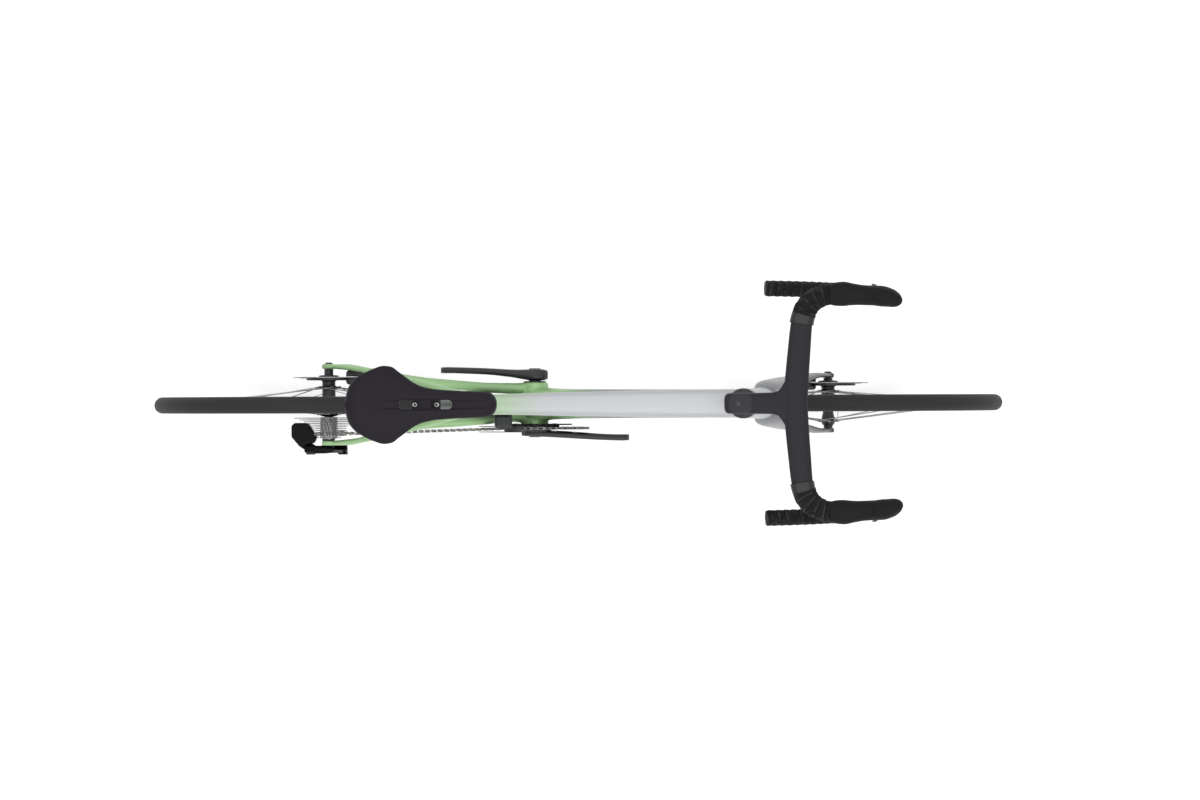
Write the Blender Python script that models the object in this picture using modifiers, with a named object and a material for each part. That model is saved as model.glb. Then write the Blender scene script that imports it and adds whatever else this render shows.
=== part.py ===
"""Road bike with disc brakes, modelled as an assembly of separate pieces.

Metres, +X forward, +Y to the rider's left, +Z up, floor at z = 0, origin midway between the axles.
"""
import math

import bmesh
import bpy
from mathutils import Matrix, Vector

MM = 0.001
GAP = 0.3 * MM
AXIS_Y = Vector((0.0, 1.0, 0.0))
AXIS_Z = Vector((0.0, 0.0, 1.0))

# Layout of the frame
WHEELBASE = 988 * MM
TYRE_RADIUS = 343 * MM
BOTTOM_BRACKET_DROP = 72 * MM
CHAINSTAY_LENGTH = TYRE_RADIUS + 70 * MM
HEAD_ANGLE = math.radians(73.25)
SEAT_ANGLE = math.radians(74.0)
FORK_OFFSET = 45 * MM
FORK_LENGTH = TYRE_RADIUS + 29 * MM
HEAD_TUBE_LENGTH = 120 * MM
SEAT_TUBE_LENGTH = 480 * MM

# Wheels
TYRE_WIDTH = 32 * MM
TYRE_WALL = 2.6 * MM
RIM_LIP_RADIUS = TYRE_RADIUS - 25.5 * MM
RIM_DEPTH = 28 * MM
RIM_WIDTH = 25 * MM
RIM_BED_WIDTH = 8 * MM
SPOKES_PER_SIDE = 10
SPOKE_CROSSING_ANGLE = math.radians(72.0)
SPOKE_THICKNESS = 2.2 * MM
WHEEL_STEPS = 32
HUB_STEPS = 10
SPOKE_RIM_OFFSET = 2.0 * MM
AXLE_RADIUS = 6 * MM
HUB_AXLE_WALL = 1.7 * MM
FRONT_HUB_WIDTH = 100 * MM
REAR_HUB_WIDTH = 142 * MM
FRONT_FLANGE_LEFT = 22.6 * MM
FRONT_FLANGE_RIGHT = 35.2 * MM
REAR_FLANGE_LEFT = 34 * MM
REAR_FLANGE_RIGHT = 17.5 * MM
FRONT_FLANGE_RADIUS = 21.3 * MM
REAR_FLANGE_RADIUS = 23.5 * MM
FLANGE_THICKNESS = 4 * MM

# Disc brakes
FRONT_ROTOR_RADIUS = 80 * MM
REAR_ROTOR_RADIUS = 70 * MM
FRONT_ROTOR_PLANE = 39.6 * MM
REAR_ROTOR_PLANE = 54 * MM
ROTOR_THICKNESS = 1.8 * MM
ROTOR_TRACK = 15 * MM
ROTOR_SEAT_RADIUS = 16 * MM
PAD_TRAVEL = 0.3 * MM
PAD_REST_GAP = 0.5 * MM
PAD_THICKNESS = 4 * MM
PAD_SIZE = (24 * MM, 15 * MM)
CALIPER_LENGTH = 56 * MM
CALIPER_WALL = 8.5 * MM
CALIPER_DEPTH = 26 * MM
HOSE_RADIUS = 2.5 * MM
FRONT_CALIPER_HEIGHT = 66 * MM
REAR_CALIPER_AHEAD = 60 * MM

# Frame tubes, as width across the bike and depth in its plane
HEAD_TUBE_WIDTH = 56 * MM
HEAD_TUBE_DEPTH = 62 * MM
TOP_TUBE_FRONT = (54 * MM, 40 * MM)
TOP_TUBE_REAR = (36 * MM, 34 * MM)
DOWN_TUBE_FRONT = (54 * MM, 58 * MM)
DOWN_TUBE_HEIGHT = 51 * MM
DOWN_TUBE_REAR = (64 * MM, 58 * MM)
SEAT_TUBE_TOP = (34 * MM, 46 * MM)
SEAT_TUBE_FOOT = (56 * MM, 38 * MM)
SHELL_WIDTH = 86.5 * MM
SHELL_RADIUS = 27 * MM
CUP_RADIUS = 20.5 * MM
CUP_FLANGE_RADIUS = 22.5 * MM
CUP_FLANGE = 2 * MM
BEARING_RADIUS = 24 * MM
BEARING_HEIGHT = 8 * MM
STEERER_FOOT_RADIUS = 19 * MM
STEERER_RADIUS = 14.3 * MM
BOSS_RADIUS = 5 * MM
BOSS_SPACING = 64 * MM
BOSS_HEIGHT = 190 * MM
DROPOUT_THICKNESS = 9.5 * MM
DROPOUT_RADIUS = 14 * MM
FORK_TIP_THICKNESS = 9 * MM
FORK_TIP_RADIUS = 12 * MM
HANGER_DROP = 28 * MM
HANGER_SETBACK = 8 * MM
HANGER_THICKNESS = 7 * MM
HANGER_BOLT_RADIUS = 4.5 * MM

# Seat
POST_WIDTH = 25 * MM
POST_DEPTH = 36 * MM
POST_INSERTION = 150 * MM
POST_LOWERING = 60 * MM
SADDLE_LENGTH = 274 * MM
SADDLE_SETBACK = 133.2 * MM
SADDLE_TOP = 965 * MM
RAIL_RADIUS = 3.5 * MM
RAIL_SPACING = 44 * MM
RAIL_DROP = 43 * MM
PAD_HEIGHT = 17 * MM
SHELL_SKIN = 3 * MM
CHANNEL_WIDTH = 18 * MM
CHANNEL_DEPTH = 3.5 * MM
CLAMP_BOLT_SPACING = 39 * MM

# Cockpit
STEM_REACH = 103.8 * MM
STEM_RISE = 10.5 * MM
STEM_SEAT = 530 * MM
STEM_HEIGHT = 40 * MM
COVER_RADIUS = 28 * MM
BAR_TUBE = 24 * MM
TAPE_THICKNESS = 2.0 * MM
TAPE_PITCH = 14.5 * MM
TAPE_RIDGE = 0.7 * MM
LEVER_PIVOT_FROM_BAR = (174 * MM, 190 * MM, 18 * MM)
LEVER_PIN_RADIUS = 2.5 * MM

# Drive
CHAIN_PITCH = 12.7 * MM
CHAIN_WIDTH = 5.0 * MM
CHAIN_PLATE = 0.85 * MM
CHAIN_HEIGHT = 8.2 * MM
CHAIN_BACK_RISE = 2.7 * MM
CHAIN_BACK = 1.1 * MM
TOOTH_RISE = 1.8 * MM
OUTER_TEETH = 52
INNER_TEETH = 36
OUTER_RING_PLANE = 48.5 * MM
INNER_RING_PLANE = 41 * MM
RING_THICKNESS = 2.6 * MM
RING_BORE = 47 * MM
SPIDER_RADIUS = 62 * MM
CRANK_LENGTH = 172.5 * MM
SPINDLE_RADIUS = 12 * MM
COG_TEETH = (11, 12, 13, 14, 15, 16, 17, 19, 21, 24, 28, 33)
COG_IN_USE = 2
COG_PITCH = 3.5 * MM
COG_THICKNESS = 1.6 * MM
FIRST_COG_PLANE = 64.8 * MM
FREEHUB_RADIUS = 17 * MM
PULLEY_TEETH = 11
PULLEY_THICKNESS = 2.4 * MM
PULLEY_BOLT_RADIUS = 3 * MM
GUIDE_PULLEY_OFFSET = (-8 * MM, -95 * MM)
PULLEY_SPACING = 86 * MM
CAGE_ANGLE_GUESS = math.radians(-77.0)
CAGE_PLATE = 1.6 * MM
CAGE_CLEARANCE = 1.0 * MM
CAGE_PIN_RADIUS = 5 * MM
CAGE_HALF_WIDTH = 10 * MM
LINK_LENGTH = 58 * MM
LINK_SLANT = math.radians(22.0)
LINK_HEIGHT = 18 * MM
LINK_WIDTH = 9 * MM
LINK_START_FROM_AXLE = (-38 * MM, -89 * MM, -55 * MM)
LINK_PIN_RADIUS = 2.5 * MM
EAR_THICKNESS = 4 * MM
FRONT_SHIFT_AXIS_FROM_CRANK = (-59 * MM, -36 * MM, 139 * MM)
FRONT_CAGE_PLANES = (44 * MM, 55 * MM)
FRONT_CAGE_CLEARANCE = 2.7 * MM
FRONT_CAGE_DEPTH = 22 * MM

# Places worked out from the layout
REAR_AXLE = Vector((-WHEELBASE / 2, 0.0, TYRE_RADIUS))
FRONT_AXLE = Vector((WHEELBASE / 2, 0.0, TYRE_RADIUS))
STAY_RUN = math.sqrt(CHAINSTAY_LENGTH ** 2 - BOTTOM_BRACKET_DROP ** 2)
CRANK_CENTRE = REAR_AXLE + Vector((STAY_RUN, 0.0, -BOTTOM_BRACKET_DROP))
STEER_UP = Vector((-math.cos(HEAD_ANGLE), 0.0, math.sin(HEAD_ANGLE)))
STEER_FORWARD = Vector((math.sin(HEAD_ANGLE), 0.0, math.cos(HEAD_ANGLE)))
STEER_FOOT = FRONT_AXLE - STEER_FORWARD * FORK_OFFSET
SEAT_UP = Vector((-math.cos(SEAT_ANGLE), 0.0, math.sin(SEAT_ANGLE)))
CROWN_TOP = math.sqrt(FORK_LENGTH ** 2 - FORK_OFFSET ** 2)
HEAD_BOTTOM = CROWN_TOP + GAP
HEAD_TOP = HEAD_BOTTOM + HEAD_TUBE_LENGTH
POST_LINE_X = CRANK_CENTRE.x + SEAT_UP.x / SEAT_UP.z * (SADDLE_TOP - CRANK_CENTRE.z)
SADDLE_TAIL_X = POST_LINE_X - SADDLE_SETBACK
COG_IN_USE_PLANE = FIRST_COG_PLANE - COG_IN_USE * COG_PITCH
GUIDE_PULLEY = REAR_AXLE + Vector((GUIDE_PULLEY_OFFSET[0], 0.0, GUIDE_PULLEY_OFFSET[1]))


def steer(height, forward=0.0, side=0.0):
    """A point by its height along the steering axis and its distance ahead of it."""
    return STEER_FOOT + STEER_UP * height + STEER_FORWARD * forward + AXIS_Y * side


def seat(height, forward=0.0, side=0.0):
    """A point by its height along the seat tube's axis."""
    across = Vector((math.sin(SEAT_ANGLE), 0.0, math.cos(SEAT_ANGLE)))
    return CRANK_CENTRE + SEAT_UP * height + across * forward + AXIS_Y * side


STEM_SEAT_POINT = steer(STEM_SEAT)
BAR_CENTRE = STEM_SEAT_POINT + Vector((STEM_REACH, 0.0, STEM_RISE))


# Scene helpers
def clear_scene():
    for item in list(bpy.data.objects):
        bpy.data.objects.remove(item, do_unlink=True)


def make_collection(name):
    group = bpy.data.collections.new(name)
    bpy.context.scene.collection.children.link(group)
    return group


clear_scene()
BIKE = make_collection("road_bike")
CUTTERS = make_collection("cutters")


def paint(name, colour, roughness, metallic=0.0):
    """A Principled material with one colour, roughness and metallic value."""
    material = bpy.data.materials.new(name)
    material.use_nodes = True
    shader = material.node_tree.nodes["Principled BSDF"]
    shader.inputs["Base Color"].default_value = (*colour, 1.0)
    shader.inputs["Roughness"].default_value = roughness
    shader.inputs["Metallic"].default_value = metallic
    return material


GREEN = paint("green_paint", (0.24, 0.50, 0.18), 0.3)
SILVER = paint("silver_paint", (0.62, 0.62, 0.65), 0.3, 0.4)
BLACK = paint("satin_black", (0.012, 0.012, 0.014), 0.45)
RUBBER = paint("black_rubber", (0.010, 0.010, 0.011), 0.85)
TAPE = paint("bar_tape", (0.010, 0.010, 0.011), 0.7)
COCKPIT = paint("matte_grey", (0.045, 0.045, 0.050), 0.55)
PADDING = paint("saddle_skin", (0.035, 0.030, 0.036), 0.6)
STEEL = paint("brushed_steel", (0.45, 0.45, 0.46), 0.35, 1.0)
DARK_STEEL = paint("dark_steel", (0.08, 0.08, 0.085), 0.35, 1.0)


def smooth_shade(item):
    if item.type == "MESH":
        item.data.shade_smooth()
        item.data.set_sharp_from_angle(angle=math.radians(35.0))


def add_object(name, data, group=BIKE):
    item = bpy.data.objects.new(name, data)
    group.objects.link(item)
    return item


def add_axis(name, place):
    """An empty that stands on a joint's axis and carries the pieces that turn on it."""
    empty = add_object(name, None)
    empty.location = place
    empty.empty_display_size = 0.03
    return empty


def finish(item, material, axis=None):
    """Give a piece its material and hang it on its axis without moving it."""
    item.data.materials.clear()
    item.data.materials.append(material)
    smooth_shade(item)
    if axis:
        item.parent = axis
        item.matrix_parent_inverse = Matrix.Translation(-axis.location)
    return item


def as_tool(item):
    """Turn a piece into a hidden one that only cuts or joins."""
    BIKE.objects.unlink(item)
    CUTTERS.objects.link(item)
    item.hide_render = True
    item.display_type = "WIRE"


def combine(base, other, operation):
    modifier = base.modifiers.new(f"{operation.lower()}_{other.name}", "BOOLEAN")
    modifier.operation = operation
    modifier.object = other
    as_tool(other)


def join(base, *others):
    for other in others:
        combine(base, other, "UNION")
    return base


def cut(base, *others):
    for other in others:
        combine(base, other, "DIFFERENCE")
    return base


# Shape helpers
def mesh_from(name, build, group=BIKE):
    shape = bmesh.new()
    build(shape)
    bmesh.ops.recalc_face_normals(shape, faces=shape.faces)
    if len(shape.faces) and shape.calc_volume(signed=True) < 0:
        bmesh.ops.reverse_faces(shape, faces=shape.faces)
    mesh = bpy.data.meshes.new(name)
    shape.to_mesh(mesh)
    shape.free()
    return add_object(name, mesh, group)


def skin(shape, rings, closed=False, open_start=False, split=False):
    """Faces between neighbouring rings, as quads or as triangles split alike, and the two end caps."""
    loops = [[shape.verts.new(point) for point in ring] for ring in rings]
    ahead = loops[1:] + loops[:1] if closed else loops[1:]
    for near, far in zip(loops, ahead):
        for i in range(len(near)):
            j = (i + 1) % len(near)
            if split:
                shape.faces.new((near[i], near[j], far[j]))
                shape.faces.new((near[i], far[j], far[i]))
            else:
                shape.faces.new((near[i], near[j], far[j], far[i]))
    if closed:
        return
    if not open_start:
        shape.faces.new(loops[0][::-1])
    shape.faces.new(loops[-1])


def loft(name, rings, closed=False, open_start=False, split=False):
    def build(shape):
        skin(shape, rings, closed, open_start, split)
    return mesh_from(name, build)


def half_loft(name, rings):
    """A loft of open half sections, mirrored across the bike's middle plane."""
    def build(shape):
        loops = [[shape.verts.new(point) for point in ring] for ring in rings]
        for near, far in zip(loops, loops[1:]):
            for i in range(len(near) - 1):
                shape.faces.new((near[i], near[i + 1], far[i + 1], far[i]))
        shape.faces.new(loops[0][::-1])
        shape.faces.new(loops[-1])
    item = mesh_from(name, build)
    mirror(item)
    return item


def mirror(item):
    modifier = item.modifiers.new("mirror", "MIRROR")
    modifier.use_axis = (False, True, False)
    modifier.use_clip = True
    modifier.merge_threshold = 0.00001


def oval(centre, side, up, width, height, power=2.0, count=12):
    """Points of a rounded section: power 2 is an ellipse, a higher one is squarer."""
    points = []
    for i in range(count):
        angle = 2 * math.pi * (i + 0.5) / count
        across, along = math.cos(angle), math.sin(angle)
        a = math.copysign(abs(across) ** (2 / power), across) * width / 2
        b = math.copysign(abs(along) ** (2 / power), along) * height / 2
        points.append(centre + side * a + up * b)
    return points


def sweep_rings(stations, side, power=2.0, count=12, first_tangent=None):
    """Sections along a path, each station a point with its size along side and across it."""
    points = [Vector(station[0]) for station in stations]
    rings = []
    for i, (_, width, height) in enumerate(stations):
        tangent = (points[min(i + 1, len(points) - 1)] - points[max(i - 1, 0)]).normalized()
        if i == 0 and first_tangent:
            tangent = first_tangent
        side = (side - tangent * side.dot(tangent)).normalized()
        rings.append(oval(points[i], side, tangent.cross(side), width, height, power, count))
    return rings


def sweep(name, stations, side, power=2.0, count=12):
    return loft(name, sweep_rings(stations, side, power, count))


def mirrored_loft(name, rings):
    """A loft that starts on the bike's middle plane, mirrored across it."""
    item = loft(name, rings, open_start=True, split=True)
    mirror(item)
    return item


def stretch(name, stations, first, last, gaps, power, count):
    """Part of a sweep between two of its stations, drawn back from either end by a gap."""
    rings = sweep_rings(stations, AXIS_Y, power, count)[first:last + 1]
    if gaps[0]:
        rings[0] = moved(rings[0], rings[1], gaps[0])
    if gaps[1]:
        rings[-1] = moved(rings[-1], rings[-2], gaps[1])
    return loft(name, rings)


def moved(ring, towards, distance):
    """A ring moved towards the next one without turning."""
    step = sum(towards, Vector()) / len(towards) - sum(ring, Vector()) / len(ring)
    return [point + step.normalized() * distance for point in ring]


def turned(name, profile, place, steps=24, ring=False):
    """A shape turned about a line across the bike: (radius, side) points down the outer side."""
    mesh = bpy.data.meshes.new(name)
    points = [(radius, 0.0, side) for radius, side in profile]
    edges = [(i, i + 1) for i in range(len(points) - 1)]
    if ring:
        edges.append((len(points) - 1, 0))
    mesh.from_pydata(points, edges, [])
    item = add_object(name, mesh)
    item.location = place
    item.rotation_euler = (-math.pi / 2, 0.0, 0.0)
    screw = item.modifiers.new("turn", "SCREW")
    screw.steps = steps
    screw.render_steps = steps
    screw.use_smooth_shade = True
    screw.use_merge_vertices = True
    screw.merge_threshold = 0.00001
    return item


def turned_on(name, profile, place, axis, steps=24, ring=False):
    """A turned shape whose line runs along any direction."""
    item = turned(name, profile, place, steps, ring)
    item.rotation_euler = AXIS_Z.rotation_difference(axis).to_euler()
    return item


def rod(name, start, end, radius, sides=16):
    """A plain round bar between two points."""
    length = (end - start).length
    profile = [(0.0, length), (radius, length), (radius, 0.0), (0.0, 0.0)]
    return turned_on(name, profile, start, (end - start).normalized(), sides)


def block(name, centre, size, turn=(0.0, 0.0, 0.0), edge=0.0):
    """A box with an optional bevel, centred on a point."""
    def build(shape):
        bmesh.ops.create_cube(shape, size=1.0)
        bmesh.ops.scale(shape, vec=Vector(size), verts=shape.verts)
    item = mesh_from(name, build)
    item.location = centre
    item.rotation_euler = turn
    if edge:
        bevel = item.modifiers.new("edge", "BEVEL")
        bevel.width = edge
        bevel.segments = 1
        bevel.limit_method = "ANGLE"
    return item


def plate(name, outlines, thickness, side):
    """A flat plate that stands in the bike's plane, from (x, z) outlines; the rest are holes."""
    curve = bpy.data.curves.new(name, "CURVE")
    curve.dimensions = "2D"
    curve.fill_mode = "BOTH"
    curve.extrude = thickness / 2
    for outline in outlines:
        spline = curve.splines.new("POLY")
        spline.points.add(len(outline) - 1)
        for point, (x, z) in zip(spline.points, outline):
            point.co = (x, z, 0.0, 1.0)
        spline.use_cyclic_u = True
    item = add_object(name, curve)
    item.location = (0.0, side, 0.0)
    item.rotation_euler = (math.pi / 2, 0.0, 0.0)
    return as_mesh(item)


def tube(name, points, radius, resolution=1):
    """A round wire or hose through a row of points."""
    curve = bpy.data.curves.new(name, "CURVE")
    curve.dimensions = "3D"
    curve.bevel_depth = radius
    curve.bevel_resolution = resolution
    curve.use_fill_caps = True
    spline = curve.splines.new("POLY")
    spline.points.add(len(points) - 1)
    for point, place in zip(spline.points, points):
        point.co = (*place, 1.0)
    return as_mesh(add_object(name, curve))


def as_mesh(item):
    """Replace a curve object with its mesh, with the caps welded on."""
    bpy.context.view_layer.update()
    graph = bpy.context.evaluated_depsgraph_get()
    mesh = bpy.data.meshes.new_from_object(item.evaluated_get(graph))
    shape = bmesh.new()
    shape.from_mesh(mesh)
    bmesh.ops.remove_doubles(shape, verts=shape.verts, dist=0.000001)
    bmesh.ops.recalc_face_normals(shape, faces=shape.faces)
    shape.to_mesh(mesh)
    shape.free()
    name, place = item.name, item.matrix_world.copy()
    bpy.data.objects.remove(item, do_unlink=True)
    result = add_object(name, mesh)
    result.matrix_world = place
    return result


def circle(centre, radius, count, start=0.0):
    """Points of a circle in the bike's plane, as (x, z)."""
    angles = [start + 2 * math.pi * i / count for i in range(count)]
    return [(centre.x + radius * math.cos(a), centre.z + radius * math.sin(a)) for a in angles]


def mix(start, end, share):
    return start + (end - start) * share


# Frame
SIDE_NAMES = {1: "left", -1: "right"}

# Seat tube, by height along it
SEAT_TUBE_STATIONS = ((0.0, SEAT_TUBE_FOOT), (90 * MM, (42 * MM, 38 * MM)),
                      (SEAT_TUBE_LENGTH * 0.5, (33 * MM, 40 * MM)),
                      (SEAT_TUBE_LENGTH - 70 * MM, (33 * MM, 44 * MM)), (SEAT_TUBE_LENGTH, SEAT_TUBE_TOP))
SEAT_TUBE_POWER = 2.4
SEAT_TUBE_SIDES = 12

# Stays, by share of the way from the crank centre to the axle: side, width and height
CHAINSTAY_STATIONS = {
    1: ((0.06, 30, 24, 34), (0.12, 31, 22, 32), (0.24, 33, 20, 30), (0.38, 38, 19, 29),
        (0.52, 44, 18, 28), (0.66, 53, 17, 27), (0.80, 66, 13, 26), (0.92, 75.6, 9.4, 25)),
    -1: ((0.06, 28, 20, 34), (0.12, 27.5, 17, 32), (0.24, 31.5, 18, 30), (0.38, 36, 18, 29),
         (0.52, 40, 17, 28), (0.66, 47, 16, 26), (0.80, 65, 13, 25), (0.92, 75.6, 9.4, 25)),
}
SEATSTAY_STATIONS = ((0.0, 13, 18, 24), (0.10, 20, 16, 20), (0.24, 31, 14, 18), (0.45, 47, 12, 17),
                     (0.66, 61, 11, 17), (0.84, 71, 10, 18), (1.0, 75.5, 9, 18))
STUB_END = 1
SEATSTAY_END = 5


def stay_path(start, end, rows, side):
    """Stations of a stay between two points in the bike's plane, set out to one side."""
    stations = []
    for share, offset, width, height in rows:
        place = mix(start, end, share) + AXIS_Y * side * offset * MM
        stations.append((place, width * MM, height * MM))
    return stations


def chainstay_path(side):
    rows = CHAINSTAY_STATIONS[side]
    stations = stay_path(CRANK_CENTRE, REAR_AXLE, rows, side)
    tip_side = REAR_HUB_WIDTH / 2 + DROPOUT_THICKNESS / 2
    tip = REAR_AXLE + AXIS_Y * side * tip_side
    return stations + [(tip, DROPOUT_THICKNESS, 2 * DROPOUT_RADIUS * 0.8)]


def seatstay_path(side):
    top = seat(SEAT_TUBE_LENGTH - 95 * MM, -10 * MM)
    foot = REAR_AXLE + Vector((14 * MM, 0.0, 6 * MM))
    return stay_path(top, foot, SEATSTAY_STATIONS, side)


def make_front_triangle():
    head = sweep("front_triangle", [
        (steer(HEAD_BOTTOM), HEAD_TUBE_WIDTH + 4 * MM, HEAD_TUBE_DEPTH + 4 * MM),
        (steer(mix(HEAD_BOTTOM, HEAD_TOP, 0.5)), HEAD_TUBE_WIDTH, HEAD_TUBE_DEPTH),
        (steer(HEAD_TOP), HEAD_TUBE_WIDTH, HEAD_TUBE_DEPTH - 4 * MM)], AXIS_Y, 2.2, 12)
    top_front = steer(HEAD_TOP - 32 * MM)
    top_rear = seat(SEAT_TUBE_LENGTH - 20 * MM)
    top_tube = sweep("top_tube", [
        (mix(top_front, top_rear, share), *size) for share, size in (
            (0.0, TOP_TUBE_FRONT), (0.35, (50 * MM, 38 * MM)), (0.7, (43 * MM, 35 * MM)),
            (0.96, TOP_TUBE_REAR))], AXIS_Y, 2.6, 10)
    down_front = steer(HEAD_BOTTOM + DOWN_TUBE_HEIGHT)
    down_tube = sweep("down_tube", [
        (mix(down_front, CRANK_CENTRE, share), *size) for share, size in (
            (0.0, DOWN_TUBE_FRONT), (0.3, (55 * MM, 59 * MM)), (0.75, (58 * MM, 60 * MM)),
            (0.98, DOWN_TUBE_REAR))], AXIS_Y, 2.6, 10)
    seat_tube = sweep("seat_tube", [(seat(height), *size) for height, size in SEAT_TUBE_STATIONS],
                      AXIS_Y, SEAT_TUBE_POWER, SEAT_TUBE_SIDES)
    half_shell = AXIS_Y * SHELL_WIDTH / 2
    shell = rod("bracket_shell", CRANK_CENTRE - half_shell, CRANK_CENTRE + half_shell, SHELL_RADIUS, 16)
    join(head, top_tube, down_tube, seat_tube, shell)
    for side, word in SIDE_NAMES.items():
        ends = (0, STUB_END, (0.0, 0.0))
        join(head, stretch(f"chainstay_stub_{word}", chainstay_path(side), *ends, 2.4, 10))
        join(head, stretch(f"seatstay_stub_{word}", seatstay_path(side), *ends, 2.2, 8))
    for name, start, end in bottle_bosses():
        join(head, rod(name, start, end, BOSS_RADIUS, 6))
    cut(head, head_bore(), post_bore(), bracket_bore())
    return finish(head, SILVER)


def bottle_bosses():
    """Pairs of bosses on the down tube's upper face and the seat tube's front face."""
    rows = []
    down_front = steer(HEAD_BOTTOM + DOWN_TUBE_HEIGHT)
    down = (CRANK_CENTRE - down_front).normalized()
    outward = Vector((down.z, 0.0, -down.x))
    for i, height in enumerate((BOSS_HEIGHT, BOSS_HEIGHT + BOSS_SPACING)):
        place = CRANK_CENTRE - down * height
        rows.append((f"down_boss_{i}", place, place + outward * 33.5 * MM))
        place = seat(height)
        rows.append((f"seat_boss_{i}", place, seat(height, 23.5 * MM)))
    return rows


def between(rows, place):
    """The value at a place, straight between the rows on either side of it."""
    for (start, low), (end, high) in zip(rows, rows[1:]):
        if place <= end:
            break
    return mix(low, high, (place - start) / (end - start))


def seat_tube_side(height):
    """How far the seat tube's flat side lies from the middle, at a height along it."""
    rows = [(place, size[0]) for place, size in SEAT_TUBE_STATIONS]
    return between(rows, height) / 2 * math.cos(math.pi / SEAT_TUBE_SIDES) ** (2 / SEAT_TUBE_POWER)


def clear_radius(radius, sides):
    """Radius of a hole of so many sides whose flats stay clear of a round piece that turns in it."""
    return (radius + GAP) / math.cos(math.pi / sides)


def head_bore():
    """The steerer's hole, wider at both ends for the bearings."""
    wide, narrow = clear_radius(BEARING_RADIUS, 12), STEERER_FOOT_RADIUS + 2 * MM
    seat_depth = BEARING_HEIGHT + GAP
    length = HEAD_TUBE_LENGTH
    profile = [(0.0, length + MM), (wide, length + MM), (wide, length - seat_depth),
               (narrow, length - seat_depth), (narrow, seat_depth), (wide, seat_depth),
               (wide, -MM), (0.0, -MM)]
    return turned_on("head_bore", profile, steer(HEAD_BOTTOM), STEER_UP, 12)


def post_bore():
    size = (POST_WIDTH + 2 * GAP, POST_DEPTH + 2 * GAP)
    low = SEAT_TUBE_LENGTH - POST_INSERTION - POST_LOWERING - 5 * MM
    high = SEAT_TUBE_LENGTH + 10 * MM
    return sweep("post_bore", [(seat(low), *size), (seat(high), *size)], AXIS_Y, 2.4, 12)


def bracket_bore():
    reach = AXIS_Y * (SHELL_WIDTH / 2 + MM)
    return rod("bracket_bore", CRANK_CENTRE - reach, CRANK_CENTRE + reach, CUP_RADIUS + GAP, 12)


def make_chainstay(side):
    """A chainstay with its dropout, and on the right the derailleur hanger."""
    word = SIDE_NAMES[side]
    path = chainstay_path(side)
    stay = stretch(f"chainstay_{word}", path, STUB_END, len(path) - 1, (GAP, 0.0), 2.4, 10)
    inner, outer = REAR_HUB_WIDTH / 2, REAR_HUB_WIDTH / 2 + DROPOUT_THICKNESS
    start, end = REAR_AXLE + AXIS_Y * side * inner, REAR_AXLE + AXIS_Y * side * outer
    join(stay, rod(f"dropout_{word}", start, end, DROPOUT_RADIUS, 14))
    foot = seatstay_path(side)
    join(stay, stretch(f"seatstay_foot_{word}", foot, SEATSTAY_END, len(foot) - 1, (0.0, 0.0), 2.2, 8))
    if side < 0:
        join(stay, make_hanger())
        bolt = hanger_point() + AXIS_Y * hanger_plane()
        cut(stay, rod("hanger_hole", bolt - AXIS_Y * 8 * MM, bolt + AXIS_Y * 8 * MM,
                      HANGER_BOLT_RADIUS + GAP, 12))
    reach = AXIS_Y * side * (outer + 10 * MM)
    bore = rod(f"axle_bore_{word}", REAR_AXLE + reach * 0.6, REAR_AXLE + reach, AXLE_RADIUS + GAP, HUB_STEPS)
    return finish(cut(stay, bore), GREEN)


def hanger_point():
    return REAR_AXLE + Vector((-HANGER_SETBACK, 0.0, -HANGER_DROP))


def make_hanger():
    """The tab below the right dropout that the rear derailleur bolts to."""
    top, foot = REAR_AXLE, hanger_point()
    side = AXIS_Y * hanger_plane()
    tail = foot + (foot - top).normalized() * 8 * MM
    stations = [(top + side, HANGER_THICKNESS, 20 * MM), (foot + side, HANGER_THICKNESS, 18 * MM),
                (tail + side, HANGER_THICKNESS, 10 * MM)]
    return sweep("hanger", stations, AXIS_Y, 5.0, 8)


def hanger_plane():
    return -(REAR_HUB_WIDTH / 2 + DROPOUT_THICKNESS / 2)


def make_seatstay(side):
    name = f"seatstay_{SIDE_NAMES[side]}"
    return finish(stretch(name, seatstay_path(side), STUB_END, SEATSTAY_END, (GAP, GAP), 2.2, 8), GREEN)


def make_bottom_bracket():
    """Bearing cups, pressed into both ends of the shell, with the sleeve between them."""
    half, bore = SHELL_WIDTH / 2 + GAP, clear_radius(SPINDLE_RADIUS, 12)
    profile = [(CUP_FLANGE_RADIUS, half + CUP_FLANGE), (CUP_FLANGE_RADIUS, half),
               (CUP_RADIUS, half), (CUP_RADIUS, half - 12 * MM), (bore + 3 * MM, half - 12 * MM),
               (bore + 3 * MM, -half + 12 * MM), (CUP_RADIUS, -half + 12 * MM), (CUP_RADIUS, -half),
               (CUP_FLANGE_RADIUS, -half), (CUP_FLANGE_RADIUS, -half - CUP_FLANGE),
               (bore, -half - CUP_FLANGE), (bore, half + CUP_FLANGE)]
    return finish(turned("bottom_bracket", profile, CRANK_CENTRE, 12, ring=True), BLACK)


def make_headset_lower():
    low = HEAD_BOTTOM + GAP
    inner = clear_radius(STEERER_FOOT_RADIUS, 12)
    profile = [(BEARING_RADIUS, BEARING_HEIGHT - GAP), (BEARING_RADIUS, 0.0), (inner, 0.0),
               (inner, BEARING_HEIGHT - GAP)]
    return finish(turned_on("headset_lower_bearing", profile, steer(low), STEER_UP, 12, ring=True), STEEL)


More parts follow.
